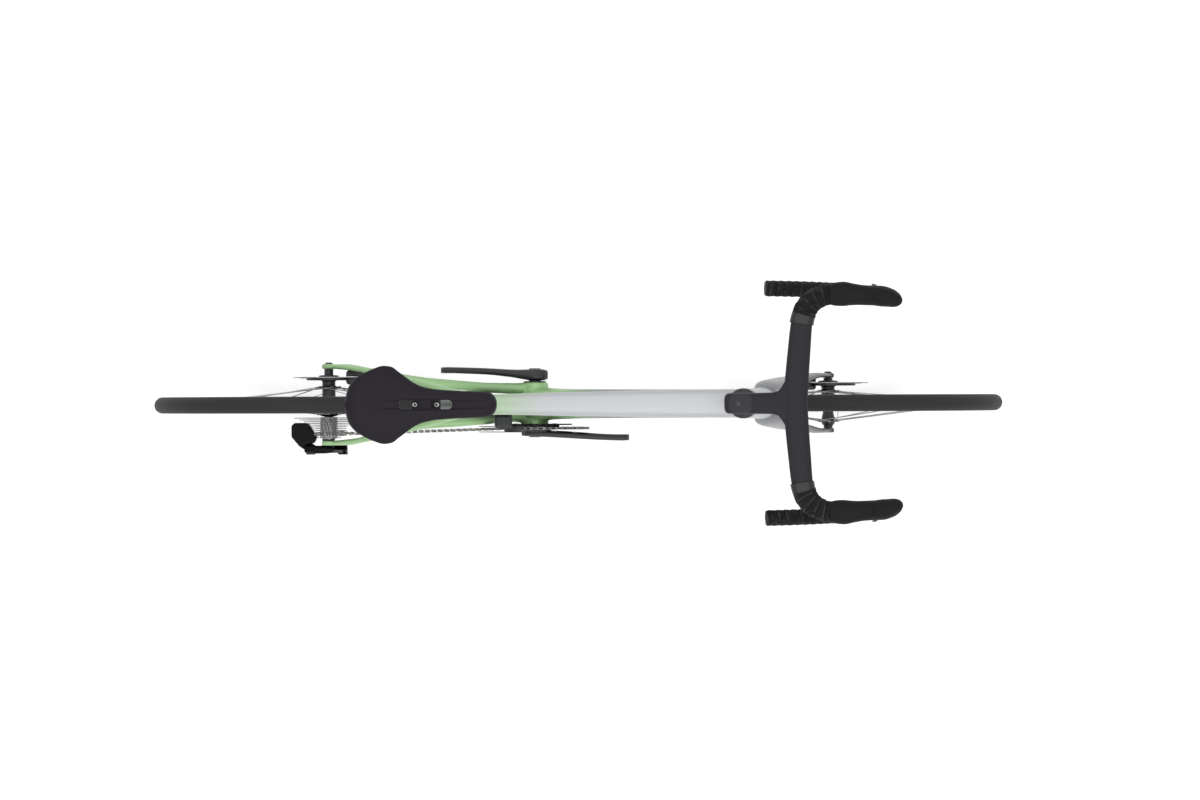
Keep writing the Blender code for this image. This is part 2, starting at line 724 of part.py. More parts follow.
def make_headset_upper(axis):
    """The upper bearing with the round cover over it and the spacer up to the stem."""
    tilt = math.pi / 2 - HEAD_ANGLE - stem_slope()
    cover_top = STEM_SEAT - STEM_HEIGHT / 2 - HEAD_TOP - COVER_RADIUS * math.tan(tilt) - GAP
    inner = STEERER_RADIUS + GAP
    profile = [(COVER_RADIUS - 3 * MM, cover_top), (COVER_RADIUS, cover_top - 4 * MM),
               (COVER_RADIUS, 2 * MM), (COVER_RADIUS - MM, GAP), (BEARING_RADIUS, GAP),
               (BEARING_RADIUS, GAP - BEARING_HEIGHT), (inner, GAP - BEARING_HEIGHT), (inner, cover_top)]
    item = turned_on("headset_upper_cover", profile, steer(HEAD_TOP), STEER_UP, 12, ring=True)
    return finish(item, BLACK, axis)


# Seat
SADDLE_OUTLINE = ((0, 9), (6, 31), (18, 47), (35, 58), (52, 66), (70, 71), (83, 69.5), (96, 60.5),
                  (110, 50), (124, 40), (140, 32.5), (165, 27.5), (200, 25), (240, 23), (262, 21),
                  (270, 15), (274, 6))
SADDLE_OUTLINE_LENGTH = 274
SADDLE_CUTOUTS = ((97, 137), (155, 195))
RAIL_POINTS = ((66, 26, -35), (92, 22, -43), (178, 22, -43), (205, 19, -37))
RAIL_ENDS = ((44, 30), (228, 13), (236, 0))
POST_TOP = 12 * MM


def saddle_x(distance):
    """A place along the saddle by its distance from the tail, for a 274 mm saddle."""
    return SADDLE_TAIL_X + distance / SADDLE_OUTLINE_LENGTH * SADDLE_LENGTH


def saddle_top(distance):
    """Height of the saddle's ridge: a low kick at the tail and a nose that dips."""
    share = distance / SADDLE_OUTLINE_LENGTH
    tail_dip = 9 * MM * max(0.0, 1 - share / 0.08) ** 2
    waist = 4 * MM * math.sin(math.pi * min(1.0, max(0.0, (share - 0.1) / 0.8)))
    nose_dip = 12 * MM * max(0.0, (share - 0.88) / 0.12) ** 2
    return SADDLE_TOP - tail_dip - waist - nose_dip


def saddle_droop(half_width):
    """How far the saddle's edge lies below its ridge."""
    return 6 * MM + half_width * 0.16


def saddle_underside(distance, half_width, across):
    share = abs(across) / half_width
    return saddle_top(distance) - PAD_HEIGHT - saddle_droop(half_width) * 0.35 * share ** 2


def saddle_pad_half(distance, half):
    """Half of the pad's section, from the channel's middle round the edge to the underside."""
    x, top, droop = saddle_x(distance), saddle_top(distance), saddle_droop(half)
    channel = min(CHANNEL_WIDTH / 2, half * 0.42)
    fade = min(1.0, max(0.0, (distance - 45) / 40)) * min(1.0, max(0.0, (268 - distance) / 20))
    depth = CHANNEL_DEPTH * fade
    rim = 0.9 * half
    rows = [(0.0, top - depth), (channel * 0.6, top - depth), (channel, top - 0.15 * depth),
            (0.62 * half, top - 0.20 * droop), (0.86 * half, top - 0.52 * droop), (half, top - droop),
            (0.975 * half, top - droop - 8 * MM), (rim, saddle_underside(distance, half, rim)),
            (0.45 * half, saddle_underside(distance, half, 0.45 * half)),
            (0.0, saddle_underside(distance, half, 0.0))]
    return [(x, side, height) for side, height in rows]


def saddle_shell_half(distance, half):
    """Half of the base shell's section, just under the pad."""
    x = saddle_x(distance)
    sides = (0.0, 0.42 * half, 0.84 * half)
    upper = [(x, side, saddle_underside(distance, half, side) - GAP) for side in sides]
    lower = [(x, side, height - SHELL_SKIN) for _, side, height in upper[::-1]]
    return upper + lower


def saddle_openings(name):
    """Slots through the saddle's middle, one pair for each piece that they cut."""
    cutters = []
    for i, (start, end) in enumerate(SADDLE_CUTOUTS):
        length = (end - start) / SADDLE_OUTLINE_LENGTH * SADDLE_LENGTH
        centre = (saddle_x((start + end) / 2), 0.0, SADDLE_TOP - 30 * MM)
        cutters.append(block(f"{name}_slot_{i}", centre, (length, CHANNEL_WIDTH, 80 * MM), edge=6 * MM))
    return cutters


def rail_end(distance, side):
    """A place on the rails where they meet the shell's underside."""
    half = between(SADDLE_OUTLINE, distance) * MM
    height = saddle_underside(distance, half, side) - SHELL_SKIN - 2 * GAP - RAIL_RADIUS
    return Vector((saddle_x(distance), side, height))


def make_saddle(axis):
    pad_rings = [saddle_pad_half(distance, half * MM) for distance, half in SADDLE_OUTLINE]
    pad = half_loft("saddle_pad", pad_rings)
    finish(cut(pad, *saddle_openings("pad")), PADDING, axis)
    shell_rings = [saddle_shell_half(distance, half * MM) for distance, half in SADDLE_OUTLINE[1:-1]]
    shell = half_loft("saddle_shell", shell_rings)
    finish(cut(shell, *saddle_openings("shell")), BLACK, axis)
    middle = [Vector((saddle_x(x), side * MM, SADDLE_TOP + z * MM)) for x, side, z in RAIL_POINTS]
    rear, front, nose = [rail_end(distance, side * MM) for distance, side in RAIL_ENDS]
    half_path = [rear] + middle + [front, nose]
    mirrored = [Vector((p.x, -p.y, p.z)) for p in half_path[-2::-1]]
    finish(tube("saddle_rails", half_path + mirrored, RAIL_RADIUS, 1), STEEL, axis)


def clamp_centre():
    """The point between the rails where the clamp grips them."""
    height = SADDLE_TOP - RAIL_DROP
    share = (height - CRANK_CENTRE.z) / SEAT_UP.z
    return Vector((CRANK_CENTRE.x + SEAT_UP.x * share, 0.0, height))


def clamp_bolts(name, radius, low, high):
    centre = clamp_centre()
    rods = []
    for i, direction in enumerate((-1, 1)):
        place = centre + Vector((direction * CLAMP_BOLT_SPACING / 2, 0.0, 0.0))
        rods.append(rod(f"{name}_{i}", place + AXIS_Z * low, place + AXIS_Z * high, radius, 8))
    return rods


def make_seatpost(axis):
    centre = clamp_centre()
    cradle_top = -RAIL_RADIUS - GAP
    cradle_width = RAIL_SPACING + 2 * RAIL_RADIUS
    top = (centre - CRANK_CENTRE).length - POST_TOP
    low = SEAT_TUBE_LENGTH - POST_INSERTION
    size = (POST_WIDTH, POST_DEPTH)
    post = sweep("seatpost", [(seat(low), *size), (seat(top - 40 * MM), *size),
                              (seat(top), POST_WIDTH + 2 * MM, POST_DEPTH + 4 * MM)], AXIS_Y, 2.4, 12)
    cradle = block("cradle", centre + AXIS_Z * (cradle_top - 6 * MM),
                   (CLAMP_BOLT_SPACING + 14 * MM, cradle_width, 12 * MM), edge=3 * MM)
    join(post, cradle)
    cut(post, *clamp_bolts("post_hole", 2.5 * MM + GAP, -40 * MM, 5 * MM))
    return finish(post, BLACK, axis)


def make_saddle_clamp(axis):
    centre = clamp_centre()
    jaw_bottom = RAIL_RADIUS + GAP
    jaw = block("saddle_clamp", centre + AXIS_Z * (jaw_bottom + 3 * MM),
                (CLAMP_BOLT_SPACING + 12 * MM, RAIL_SPACING + 2 * RAIL_RADIUS, 6 * MM))
    join(jaw, *clamp_bolts("clamp_bolt", 2.5 * MM, -22 * MM, jaw_bottom + 5 * MM))
    join(jaw, *clamp_bolts("clamp_head", 4.5 * MM, jaw_bottom + 4 * MM, jaw_bottom + 9 * MM))
    return finish(jaw, STEEL, axis)


# Wheels
def make_tyre(name, place, axis):
    tube_radius = TYRE_WIDTH / 2
    centre = TYRE_RADIUS - tube_radius
    seat_radius = RIM_LIP_RADIUS + GAP
    outer_end = math.acos((seat_radius - centre) / tube_radius)
    inner_radius = tube_radius - TYRE_WALL
    inner_end = math.acos((seat_radius - centre) / inner_radius)
    outer = [outer_end * (1 - i / 3) for i in range(7)]
    inner = [-inner_end, inner_end]
    profile = [(centre + tube_radius * math.cos(a), tube_radius * math.sin(a)) for a in outer]
    profile += [(centre + inner_radius * math.cos(a), inner_radius * math.sin(a)) for a in inner]
    return finish(turned(name, profile, place, WHEEL_STEPS, ring=True), RUBBER, axis)


def make_rim(name, place, axis):
    half, bed = RIM_WIDTH / 2, RIM_BED_WIDTH / 2
    low = RIM_LIP_RADIUS - RIM_DEPTH
    profile = [(RIM_LIP_RADIUS, half), (RIM_LIP_RADIUS, -half), (low, -bed), (low, bed)]
    return finish(turned(name, profile, place, WHEEL_STEPS, ring=True), BLACK, axis)


def spoke_set(name, place, flange_side, flange_radius, side, lean, phase):
    """Half of one side's spokes, all leaning the same way, as square bars."""
    thickness = SPOKE_THICKNESS - (0.3 * MM if lean < 0 else 0.0)
    inner = flange_radius + GAP + SPOKE_THICKNESS / 2
    outer = (RIM_LIP_RADIUS - RIM_DEPTH) * math.cos(math.pi / WHEEL_STEPS) - 2 * GAP
    count = SPOKES_PER_SIDE // 2

    def build(shape):
        for i in range(count):
            start_angle = phase + 2 * math.pi * i / count
            if lean < 0:
                start_angle += math.pi / count
            end_angle = start_angle + lean * SPOKE_CROSSING_ANGLE
            start = Vector((inner * math.cos(start_angle), flange_side, inner * math.sin(start_angle)))
            end = Vector((outer * math.cos(end_angle), side * SPOKE_RIM_OFFSET,
                          outer * math.sin(end_angle)))
            stations = [(start, thickness, thickness), (end, thickness, thickness)]
            skin(shape, sweep_rings(stations, AXIS_Y, 2.0, 3))
    item = mesh_from(name, build)
    item.location = place
    return item


def make_spokes(name, place, flange_side, flange_radius, side, axis):
    """One side's spokes, crossed twice and touching where they cross."""
    phase = 0.0 if side > 0 else math.pi / SPOKES_PER_SIDE
    lead = spoke_set(name, place, flange_side, flange_radius, side, 1, phase)
    trail = spoke_set(f"{name}_trailing", place, flange_side, flange_radius, side, -1, phase)
    return finish(join(lead, trail), DARK_STEEL, axis)


def rotor_seat(plane, collar_side):
    """The hub's profile where the rotor sits between its shoulder and its lock ring."""
    half = ROTOR_THICKNESS / 2 + GAP
    ring, bore = ROTOR_SEAT_RADIUS + 3 * MM, ROTOR_SEAT_RADIUS
    return [(ring, plane + half + collar_side), (ring, plane + half), (bore, plane + half),
            (bore, plane - half), (ring, plane - half), (ring, plane - half - 3 * MM)]


def flange(side, radius, root):
    half = FLANGE_THICKNESS / 2
    return [(root, side + half + MM), (radius, side + half), (radius, side - half),
            (root, side - half - MM)]


def make_front_hub(place, axis):
    end = FRONT_HUB_WIDTH / 2 - GAP
    bore = clear_radius(AXLE_RADIUS, HUB_STEPS)
    profile = [(9 * MM, end), (9 * MM, end - 4 * MM)]
    profile += rotor_seat(FRONT_ROTOR_PLANE, 3 * MM)
    profile += [(12 * MM, FRONT_ROTOR_PLANE - 8 * MM)]
    profile += flange(FRONT_FLANGE_LEFT, FRONT_FLANGE_RADIUS, 13 * MM)
    profile += [(10 * MM, 8 * MM), (10 * MM, -20 * MM)]
    profile += flange(-FRONT_FLANGE_RIGHT, FRONT_FLANGE_RADIUS, 13 * MM)
    profile += [(13 * MM, -end + 6 * MM), (9 * MM, -end + 4 * MM), (9 * MM, -end), (bore, -end), (bore, end)]
    return finish(turned("front_hub", profile, place, HUB_STEPS, ring=True), BLACK, axis)


def make_rear_hub(place, axis):
    """The hub shell with its axle tube, which the cassette body turns on."""
    end = REAR_HUB_WIDTH / 2 - GAP
    bore = clear_radius(AXLE_RADIUS, HUB_STEPS)
    tube_radius = AXLE_RADIUS + HUB_AXLE_WALL + GAP
    profile = [(9 * MM, end), (9 * MM, end - 12 * MM)]
    profile += rotor_seat(REAR_ROTOR_PLANE, 3 * MM)
    profile += [(14 * MM, REAR_ROTOR_PLANE - 8 * MM)]
    profile += flange(REAR_FLANGE_LEFT, REAR_FLANGE_RADIUS, 15 * MM)
    profile += [(13 * MM, 10 * MM), (15 * MM, -10 * MM)]
    profile += flange(-REAR_FLANGE_RIGHT, REAR_FLANGE_RADIUS, 17 * MM)
    profile += [(tube_radius, -cassette_inner() + GAP), (tube_radius, -end), (bore, -end), (bore, end)]
    return finish(turned("rear_hub", profile, place, HUB_STEPS, ring=True), BLACK, axis)


def rotor_windows(centre, radius):
    """Five openings between the rotor's arms, as (x, z) outlines."""
    windows = []
    inner, outer = ROTOR_SEAT_RADIUS + 9 * MM, radius - ROTOR_TRACK - 3 * MM
    for i in range(5):
        middle = 2 * math.pi * i / 5
        rows = [(inner, -0.35), (outer, -0.42), (outer, 0.42), (inner, 0.35)]
        windows.append([(centre.x + r * math.cos(middle + a), centre.z + r * math.sin(middle + a))
                        for r, a in rows])
    return windows


def make_rotor(name, place, radius, plane, axis):
    outlines = [circle(place, radius, 28), circle(place, ROTOR_SEAT_RADIUS + GAP, HUB_STEPS)]
    outlines += rotor_windows(place, radius)
    return finish(plate(name, outlines, ROTOR_THICKNESS, plane), STEEL, axis)


def make_wheel(word, place, axis, flanges, flange_radius):
    make_tyre(f"{word}_tyre", place, axis)
    make_rim(f"{word}_rim", place, axis)
    for side, flange_side in flanges.items():
        name = f"{word}_spokes_{SIDE_NAMES[side]}"
        make_spokes(name, place, flange_side, flange_radius, side, axis)


def make_axle(name, place, inner_left, right_end, axis):
    """A through axle with a low round head on the left."""
    head_low = inner_left + GAP
    profile = [(0.0, head_low + 3 * MM), (5 * MM, head_low + 3 * MM), (7.5 * MM, head_low + 1.5 * MM),
               (7.5 * MM, head_low), (AXLE_RADIUS, head_low), (AXLE_RADIUS, -right_end),
               (0.0, -right_end)]
    return finish(turned(name, profile, place, HUB_STEPS), BLACK, axis)


# Brakes
class Seat:
    """A place on a leg or stay: along its length, and straight out from its surface."""

    def __init__(self, start, end, share, lift, plane):
        along = (end - start).normalized()
        self.out = Vector((-along.z, 0.0, along.x))
        self.along = along
        self.centre = mix(start, end, share) + self.out * (lift + CALIPER_DEPTH / 2 + GAP)
        self.centre.y = plane
        self.turn = (0.0, math.atan2(-along.z, along.x), 0.0)

    def place(self, along, out, side=0.0):
        return self.centre + self.along * along + self.out * out + AXIS_Y * side


def front_caliper_seat():
    """Behind the left fork leg, over the front rotor."""
    upper, lower = fork_stations()[-3], fork_stations()[-2]
    low = Vector((lower[0].x, 0.0, lower[0].z)) - STEER_FORWARD * lower[1] / 2
    high = Vector((upper[0].x, 0.0, upper[0].z)) - STEER_FORWARD * upper[1] / 2
    share = (FRONT_CALIPER_HEIGHT - 60 * MM) / (high - low).length
    return Seat(low, high, share, 0.0, FRONT_ROTOR_PLANE)


def rear_caliper_seat():
    """On top of the left chainstay, over the rear rotor."""
    share = REAR_CALIPER_AHEAD / CHAINSTAY_LENGTH
    stay_height = max(row[3] for row in CHAINSTAY_STATIONS[1] if row[0] > 0.6) * MM
    return Seat(REAR_AXLE, CRANK_CENTRE, share, stay_height / 2, REAR_ROTOR_PLANE)


def pad_pocket():
    return ROTOR_THICKNESS + 2 * (PAD_REST_GAP + PAD_THICKNESS + GAP)


def make_caliper(name, seat_place, hub, radius, hose, axis=None):
    """A caliper that straddles the rotor, with its short hose end."""
    width = pad_pocket() + 2 * CALIPER_WALL
    body = block(name, seat_place.centre, (CALIPER_LENGTH, width, CALIPER_DEPTH), seat_place.turn, 4 * MM)
    middle = Vector((hub.x, seat_place.centre.y, hub.z))
    inward = (middle - seat_place.centre).normalized()
    pocket = pad_place(seat_place, hub, radius) + inward * 8 * MM
    size = (PAD_SIZE[0] + 2 * GAP, pad_pocket(), PAD_SIZE[1] + 2 * GAP + 16 * MM)
    cut(body, block(f"{name}_pocket", pocket, size, facing(inward)))
    half_slot = AXIS_Y * (ROTOR_THICKNESS / 2 + PAD_REST_GAP + GAP)
    cut(body, rod(f"{name}_slot", middle - half_slot, middle + half_slot, radius + 2 * MM, 32))
    join(body, tube(f"{name}_hose", [seat_place.place(*point) for point in hose], HOSE_RADIUS, 1))
    return finish(body, BLACK, axis)


def facing(inward):
    """The rotation that points a block's underside along a direction in the bike's plane."""
    return (0.0, math.atan2(-inward.x, -inward.z), 0.0)


def pad_place(seat_place, hub, radius):
    """The middle of the rotor's braking track, straight in from the caliper."""
    middle = Vector((hub.x, seat_place.centre.y, hub.z))
    outward = (seat_place.centre - middle).normalized()
    return middle + outward * (radius - ROTOR_TRACK / 2)


def make_pads(word, seat_place, hub, radius, group):
    place = pad_place(seat_place, hub, radius)
    inward = (Vector((hub.x, place.y, hub.z)) - place).normalized()
    offset = ROTOR_THICKNESS / 2 + PAD_REST_GAP + PAD_THICKNESS / 2
    for side, end in ((1, "outer"), (-1, "inner")):
        name = f"{word}_pad_{end}"
        axis = add_axis(f"{name}_axis", place + AXIS_Y * side * offset)
        size = (PAD_SIZE[0], PAD_THICKNESS, PAD_SIZE[1])
        finish(block(name, place + AXIS_Y * side * offset, size, facing(inward)), DARK_STEEL, axis)
        if group:
            axis.parent = group
            axis.matrix_parent_inverse = Matrix.Translation(-group.location)


# Fork
FORK_STATIONS = ((0, -11, 4, 42, 20), (14, -12, 4, 42, 20), (25, -18, 5, 44, 20), (32, -32, 7, 46, 19),
                 (37, -66, 12, 44, 17), (43, -130, 20, 38, 14.5), (48, -220, 31, 31, 12))


def fork_stations():
    """Stations of the arch from the crown's middle down the left leg to the axle."""
    stations = [(steer(CROWN_TOP + height * MM, forward * MM, side * MM), depth * MM, thick * MM)
                for side, height, forward, depth, thick in FORK_STATIONS]
    tip_side = FRONT_HUB_WIDTH / 2 + FORK_TIP_THICKNESS / 2
    stations.append((steer(60 * MM, FORK_OFFSET - 4 * MM, tip_side), 25 * MM, FORK_TIP_THICKNESS))
    stations.append((FRONT_AXLE + AXIS_Y * tip_side, 20 * MM, FORK_TIP_THICKNESS))
    return stations


def make_fork(axis):
    """Crown and legs as one arch, with the steerer that the head tube holds."""
    stations = fork_stations()
    rings = sweep_rings(stations, STEER_FORWARD, 2.3, 8, first_tangent=AXIS_Y)
    fork = mirrored_loft("fork", rings)
    top = STEM_SEAT + 9 * MM
    profile = [(0.0, top), (STEERER_RADIUS, top), (STEERER_RADIUS, HEAD_TOP - 40 * MM),
               (STEERER_FOOT_RADIUS, HEAD_BOTTOM + 30 * MM), (STEERER_FOOT_RADIUS, CROWN_TOP),
               (BEARING_RADIUS + MM, CROWN_TOP), (BEARING_RADIUS + MM, CROWN_TOP - 14 * MM),
               (0.0, CROWN_TOP - 14 * MM)]
    join(fork, turned_on("steerer", profile, STEER_FOOT, STEER_UP, 12))
    for side, word in SIDE_NAMES.items():
        inner, outer = FRONT_HUB_WIDTH / 2, FRONT_HUB_WIDTH / 2 + FORK_TIP_THICKNESS
        start, end = FRONT_AXLE + AXIS_Y * side * inner, FRONT_AXLE + AXIS_Y * side * outer
        join(fork, rod(f"fork_tip_{word}", start, end, FORK_TIP_RADIUS, 12))
    reach = AXIS_Y * (FRONT_HUB_WIDTH / 2 + 20 * MM)
    cut(fork, rod("fork_bore", FRONT_AXLE - reach, FRONT_AXLE + reach, AXLE_RADIUS + GAP, HUB_STEPS))
    return finish(fork, SILVER, axis)


# Bar and stem. Each row: forward, side and up from the bar's middle, then thickness and depth
BAR_STATIONS = ((0, 0, 0, 24, 45), (3, 45, 0, 23, 44), (8, 105, 0, 22, 42), (12, 146, 0, 22, 40),
                (19, 171, 0, 23, 38), (34, 189, 0, 25, 36), (58, 199, -1, 27, 33), (77, 201, -9, 25, 28),
                (87, 203, -25, 24, 24), (90, 205, -46, 24, 24), (85, 208, -71, 24, 24),
                (69, 210, -95, 24, 24), (44, 212, -111, 24, 24), (12, 213.5, -117, 24, 24),
                (-48, 215, -115, 24, 24))
TAPED_FROM = 3
UNDER_HOOD = (75 * MM, 135 * MM)
STEM_ROWS = ((-26, 34, 34), (-22, 39, 39), (0, 39, 40), (28, 39, 38), (60, 40, 31), (72, 46, 28),
             (79, 62, 26), (85, 84, 25), (99, 84, 24))


def bar_stations(side=1, extra=0.0):
    """Stations of one half of the bar, outward from the middle, thicker by extra all round."""
    rows = []
    for forward, across, up, thick, depth in BAR_STATIONS:
        place = BAR_CENTRE + Vector((forward * MM, side * across * MM, up * MM))
        rows.append((place, thick * MM + 2 * extra, depth * MM + 2 * extra))
    return rows


def stem_slope():
    return math.atan2(STEM_RISE, STEM_REACH)


def make_handlebar(axis):
    """Bar and stem moulded as one piece."""
    bar = mirrored_loft("handlebar", bar_rings(1, 0.0))
    slope = Vector((math.cos(stem_slope()), 0.0, math.sin(stem_slope())))
    stations = [(STEM_SEAT_POINT + slope * along * MM, width * MM, height * MM)
                for along, width, height in STEM_ROWS]
    join(bar, sweep("stem", stations, AXIS_Y, 4.0, 8))
    bore_top = STEM_SEAT + 60 * MM
    bore = rod("steerer_bore", steer(STEM_SEAT - 60 * MM), steer(bore_top), STEERER_RADIUS + GAP, 12)
    cut(bar, bore, cap_block("cap_pocket", GAP, 20 * MM))
    return finish(bar, COCKPIT, axis)


CAP_LENGTH = 46 * MM
CAP_WIDTH = 32 * MM
CAP_THICKNESS = 3 * MM


def cap_block(name, extra, thickness):
    """The stem cap's rounded rectangle, set into the stem's top; the pocket is the same, larger."""
    turn = (0.0, -stem_slope(), 0.0)
    slope = Vector((math.cos(stem_slope()), 0.0, math.sin(stem_slope())))
    up = Vector((-slope.z, 0.0, slope.x))
    floor = STEM_SEAT_POINT + slope * 4 * MM + up * (STEM_HEIGHT / 2 - 3 * MM)
    centre = floor + up * (thickness / 2 + GAP - extra)
    size = (CAP_LENGTH + 2 * extra, CAP_WIDTH + 2 * extra, thickness)
    return block(name, centre, size, turn)


def make_stem_cap(axis):
    cap = cap_block("stem_cap", 0.0, CAP_THICKNESS)
    return finish(cap, BLACK, axis)


def bar_rings(side, extra):
    """Sections of one half of the bar, thicker by extra; the right ones mirror the left ones."""
    rings = sweep_rings(bar_stations(extra=extra), AXIS_Z, 2.3, 8, first_tangent=AXIS_Y)
    return [[Vector((point.x, side * point.y, point.z)) for point in ring] for ring in rings]


def make_tape(side, axis):
    """Bar tape wound over the bent part and the drop, with a low ridge at each turn."""
    word = SIDE_NAMES[side]
    cover = TAPE_THICKNESS + GAP
    plain = bar_rings(side, cover)[TAPED_FROM:]
    raised = bar_rings(side, cover + TAPE_RIDGE)[TAPED_FROM:]
    tape = loft(f"bar_tape_{word}", wound_rings(plain, raised), split=True)
    return finish(cut(tape, bar_space(f"tape_bore_{word}", side)), TAPE, axis)


def bar_space(name, side):
    """The taped length of the bar with its clearance, run on past the bar's end."""
    rings = bar_rings(side, GAP)
    end, before = bar_stations(side)[-1][0], bar_stations(side)[-2][0]
    step = (end - before).normalized() * 10 * MM
    return loft(name, rings[TAPED_FROM - 1:] + [[point + step for point in rings[-1]]], split=True)


def wound_rings(plain, raised):
    """Sections at each edge of the tape and between, raised at the edges and plain under the hood."""
    centres = [sum(ring, Vector()) / len(ring) for ring in plain]
    lengths = [0.0]
    for near, far in zip(centres, centres[1:]):
        lengths.append(lengths[-1] + (far - near).length)
    turns = round(lengths[-1] / TAPE_PITCH)
    result = []
    for i in range(2 * turns + 1):
        distance = lengths[-1] * i / (2 * turns)
        k = max(j for j in range(len(lengths) - 1) if lengths[j] <= distance + 1e-9)
        share = (distance - lengths[k]) / (lengths[k + 1] - lengths[k])
        if UNDER_HOOD[0] < distance < UNDER_HOOD[1] and i % 2:
            continue
        source = raised if i % 2 else plain
        result.append([mix(near, far, share) for near, far in zip(source[k], source[k + 1])])
    return result


def make_plug(side, axis):
    """A stopper in the bar's end."""
    end, before = bar_stations(side)[-1][0], bar_stations(side)[-2][0]
    outward = (end - before).normalized()
    radius = BAR_TUBE / 2 + TAPE_THICKNESS
    profile = [(0.0, 3.5 * MM), (radius - 2 * MM, 3.5 * MM), (radius, 2 * MM), (radius, GAP), (0.0, GAP)]
    item = turned_on(f"bar_plug_{SIDE_NAMES[side]}", profile, end, outward, 12)
    return finish(item, BLACK, axis)


# Hoods. Each row: forward, side and up from the bar's middle, then width and height
HOOD_ROWS = ((64, 199.5, 6, 38, 34), (74, 200, 7, 43, 38), (88, 200.5, 9, 45, 40), (106, 199.5, 11, 40, 40),
             (124, 198, 14, 37, 39), (142, 197, 19, 36.5, 42), (158, 195.5, 26, 38, 46),
             (170, 193, 31, 35, 46), (180, 189.5, 35, 30, 41), (189, 187, 37, 21, 28), (194, 186, 37, 8, 12))
LEVER_ROWS = ((0, 2, 6, 11, 10), (0, 2, 0, 13, 13), (10, 3, -14, 14, 7), (7, 6, -34, 13, 5.5),
              (-4, 11, -58, 13, 5), (-16, 17, -80, 14, 5), (-27, 21, -98, 13, 5), (-34, 22, -108, 7, 4))
PADDLE_ROWS = ((4.5, 5, -21, 5, 7), (-4, 7.5, -22, 6, 8), (-11, 12, -25, 6.5, 10), (-17, 19, -32, 6, 14),
               (-22, 25, -46, 5, 15), (-26, 27, -58, 4, 11))
# Openings under each hood: name, middle from the lever's pivot and size
HOOD_OPENINGS = (("lever_slot", (4, 2, -12), (34, 20, 42)), ("paddle_room", (-17, 8, -24), (38, 20, 26)))


def cockpit_path(rows, side, origin):
    return [(origin + Vector((x * MM, side * y * MM, z * MM)), width * MM, height * MM)
            for x, y, z, width, height in rows]


def lever_pivot(side):
    x, y, z = LEVER_PIVOT_FROM_BAR
    return BAR_CENTRE + Vector((x, side * y, z))


def make_hood(side, axis):
    """Rubber hood over the lever's body, clamped to the front of the bar's bend."""
    word = SIDE_NAMES[side]
    hood = sweep(f"hood_{word}", cockpit_path(HOOD_ROWS, side, BAR_CENTRE), AXIS_Y, 2.6, 10)
    clearance = TAPE_THICKNESS + TAPE_RIDGE + 4 * GAP
    cut(hood, loft(f"hood_grip_{word}", bar_rings(side, clearance)[TAPED_FROM:], split=True))
    for name, (x, y, z), size in HOOD_OPENINGS:
        centre = lever_pivot(side) + Vector((x * MM, side * y * MM, z * MM))
        cut(hood, block(f"hood_{name}_{word}", centre, Vector(size) * MM))
    half_pin = AXIS_Y * 10 * MM
    pivot = lever_pivot(side) + AXIS_Y * side * MM
    join(hood, rod(f"lever_pin_{word}", pivot - half_pin, pivot + half_pin, LEVER_PIN_RADIUS, 6))
    return finish(hood, RUBBER, axis)


def make_lever(side, axis):
    word = SIDE_NAMES[side]
    pivot = lever_pivot(side)
    lever = sweep(f"brake_lever_{word}", cockpit_path(LEVER_ROWS, side, pivot), AXIS_Y, 3.0, 8)
    reach = AXIS_Y * 15 * MM
    cut(lever, rod(f"lever_bore_{word}", pivot - reach, pivot + reach,
                   clear_radius(LEVER_PIN_RADIUS, 6), 6))
    return finish(lever, BLACK, axis)


def make_paddle(side, axis):
    word = SIDE_NAMES[side]
    rows = cockpit_path(PADDLE_ROWS, side, lever_pivot(side))
    return finish(sweep(f"shift_paddle_{word}", rows, AXIS_Y, 3.0, 8), BLACK, axis)


# Drive
def pitch_radius(teeth):
    return CHAIN_PITCH / (2 * math.sin(math.pi / teeth))


def wheels_on_chain(cage_angle):
    """Centre, teeth, side and turning sense of each wheel that the chain runs on, in its order."""
    reach = Vector((math.cos(cage_angle), 0.0, math.sin(cage_angle))) * PULLEY_SPACING
    return [(CRANK_CENTRE, OUTER_TEETH, -OUTER_RING_PLANE, 1),
            (REAR_AXLE, COG_TEETH[COG_IN_USE], -COG_IN_USE_PLANE, 1),
            (GUIDE_PULLEY, PULLEY_TEETH, -COG_IN_USE_PLANE, -1),
            (GUIDE_PULLEY + reach, PULLEY_TEETH, -COG_IN_USE_PLANE, 1)]


def chain_parts(cage_angle):
    """The straights and wraps of the chain's loop, each with its length in pitches."""
    wheels = wheels_on_chain(cage_angle)
    headings = []
    for i, (centre, teeth, _, sense) in enumerate(wheels):
        far, far_teeth, _, far_sense = wheels[(i + 1) % len(wheels)]
        span = far - centre
        lean = sense * pitch_radius(teeth) - far_sense * pitch_radius(far_teeth)
        headings.append(math.atan2(span.z, span.x) + math.asin(lean / span.length))
    parts = []
    for i, (centre, teeth, plane, sense) in enumerate(wheels):
        arrive, leave = headings[i - 1], headings[i]
        turn = (sense * (leave - arrive)) % (2 * math.pi)
        parts.append(("wrap", i, arrive, sense * turn, turn * teeth / (2 * math.pi)))
        far, far_teeth, far_plane, far_sense = wheels[(i + 1) % len(wheels)]
        start = rim_point(centre, teeth, sense, leave)
        end = rim_point(far, far_teeth, far_sense, leave)
        start.y, end.y = plane, far_plane
        parts.append(("run", start, end, leave, (end - start).length / CHAIN_PITCH))
    return wheels, parts


def rim_point(centre, teeth, sense, heading):
    """Where a chain with this heading touches a wheel's pitch circle."""
    outward = Vector((math.sin(heading), 0.0, -math.cos(heading))) * sense
    return centre + outward * pitch_radius(teeth)


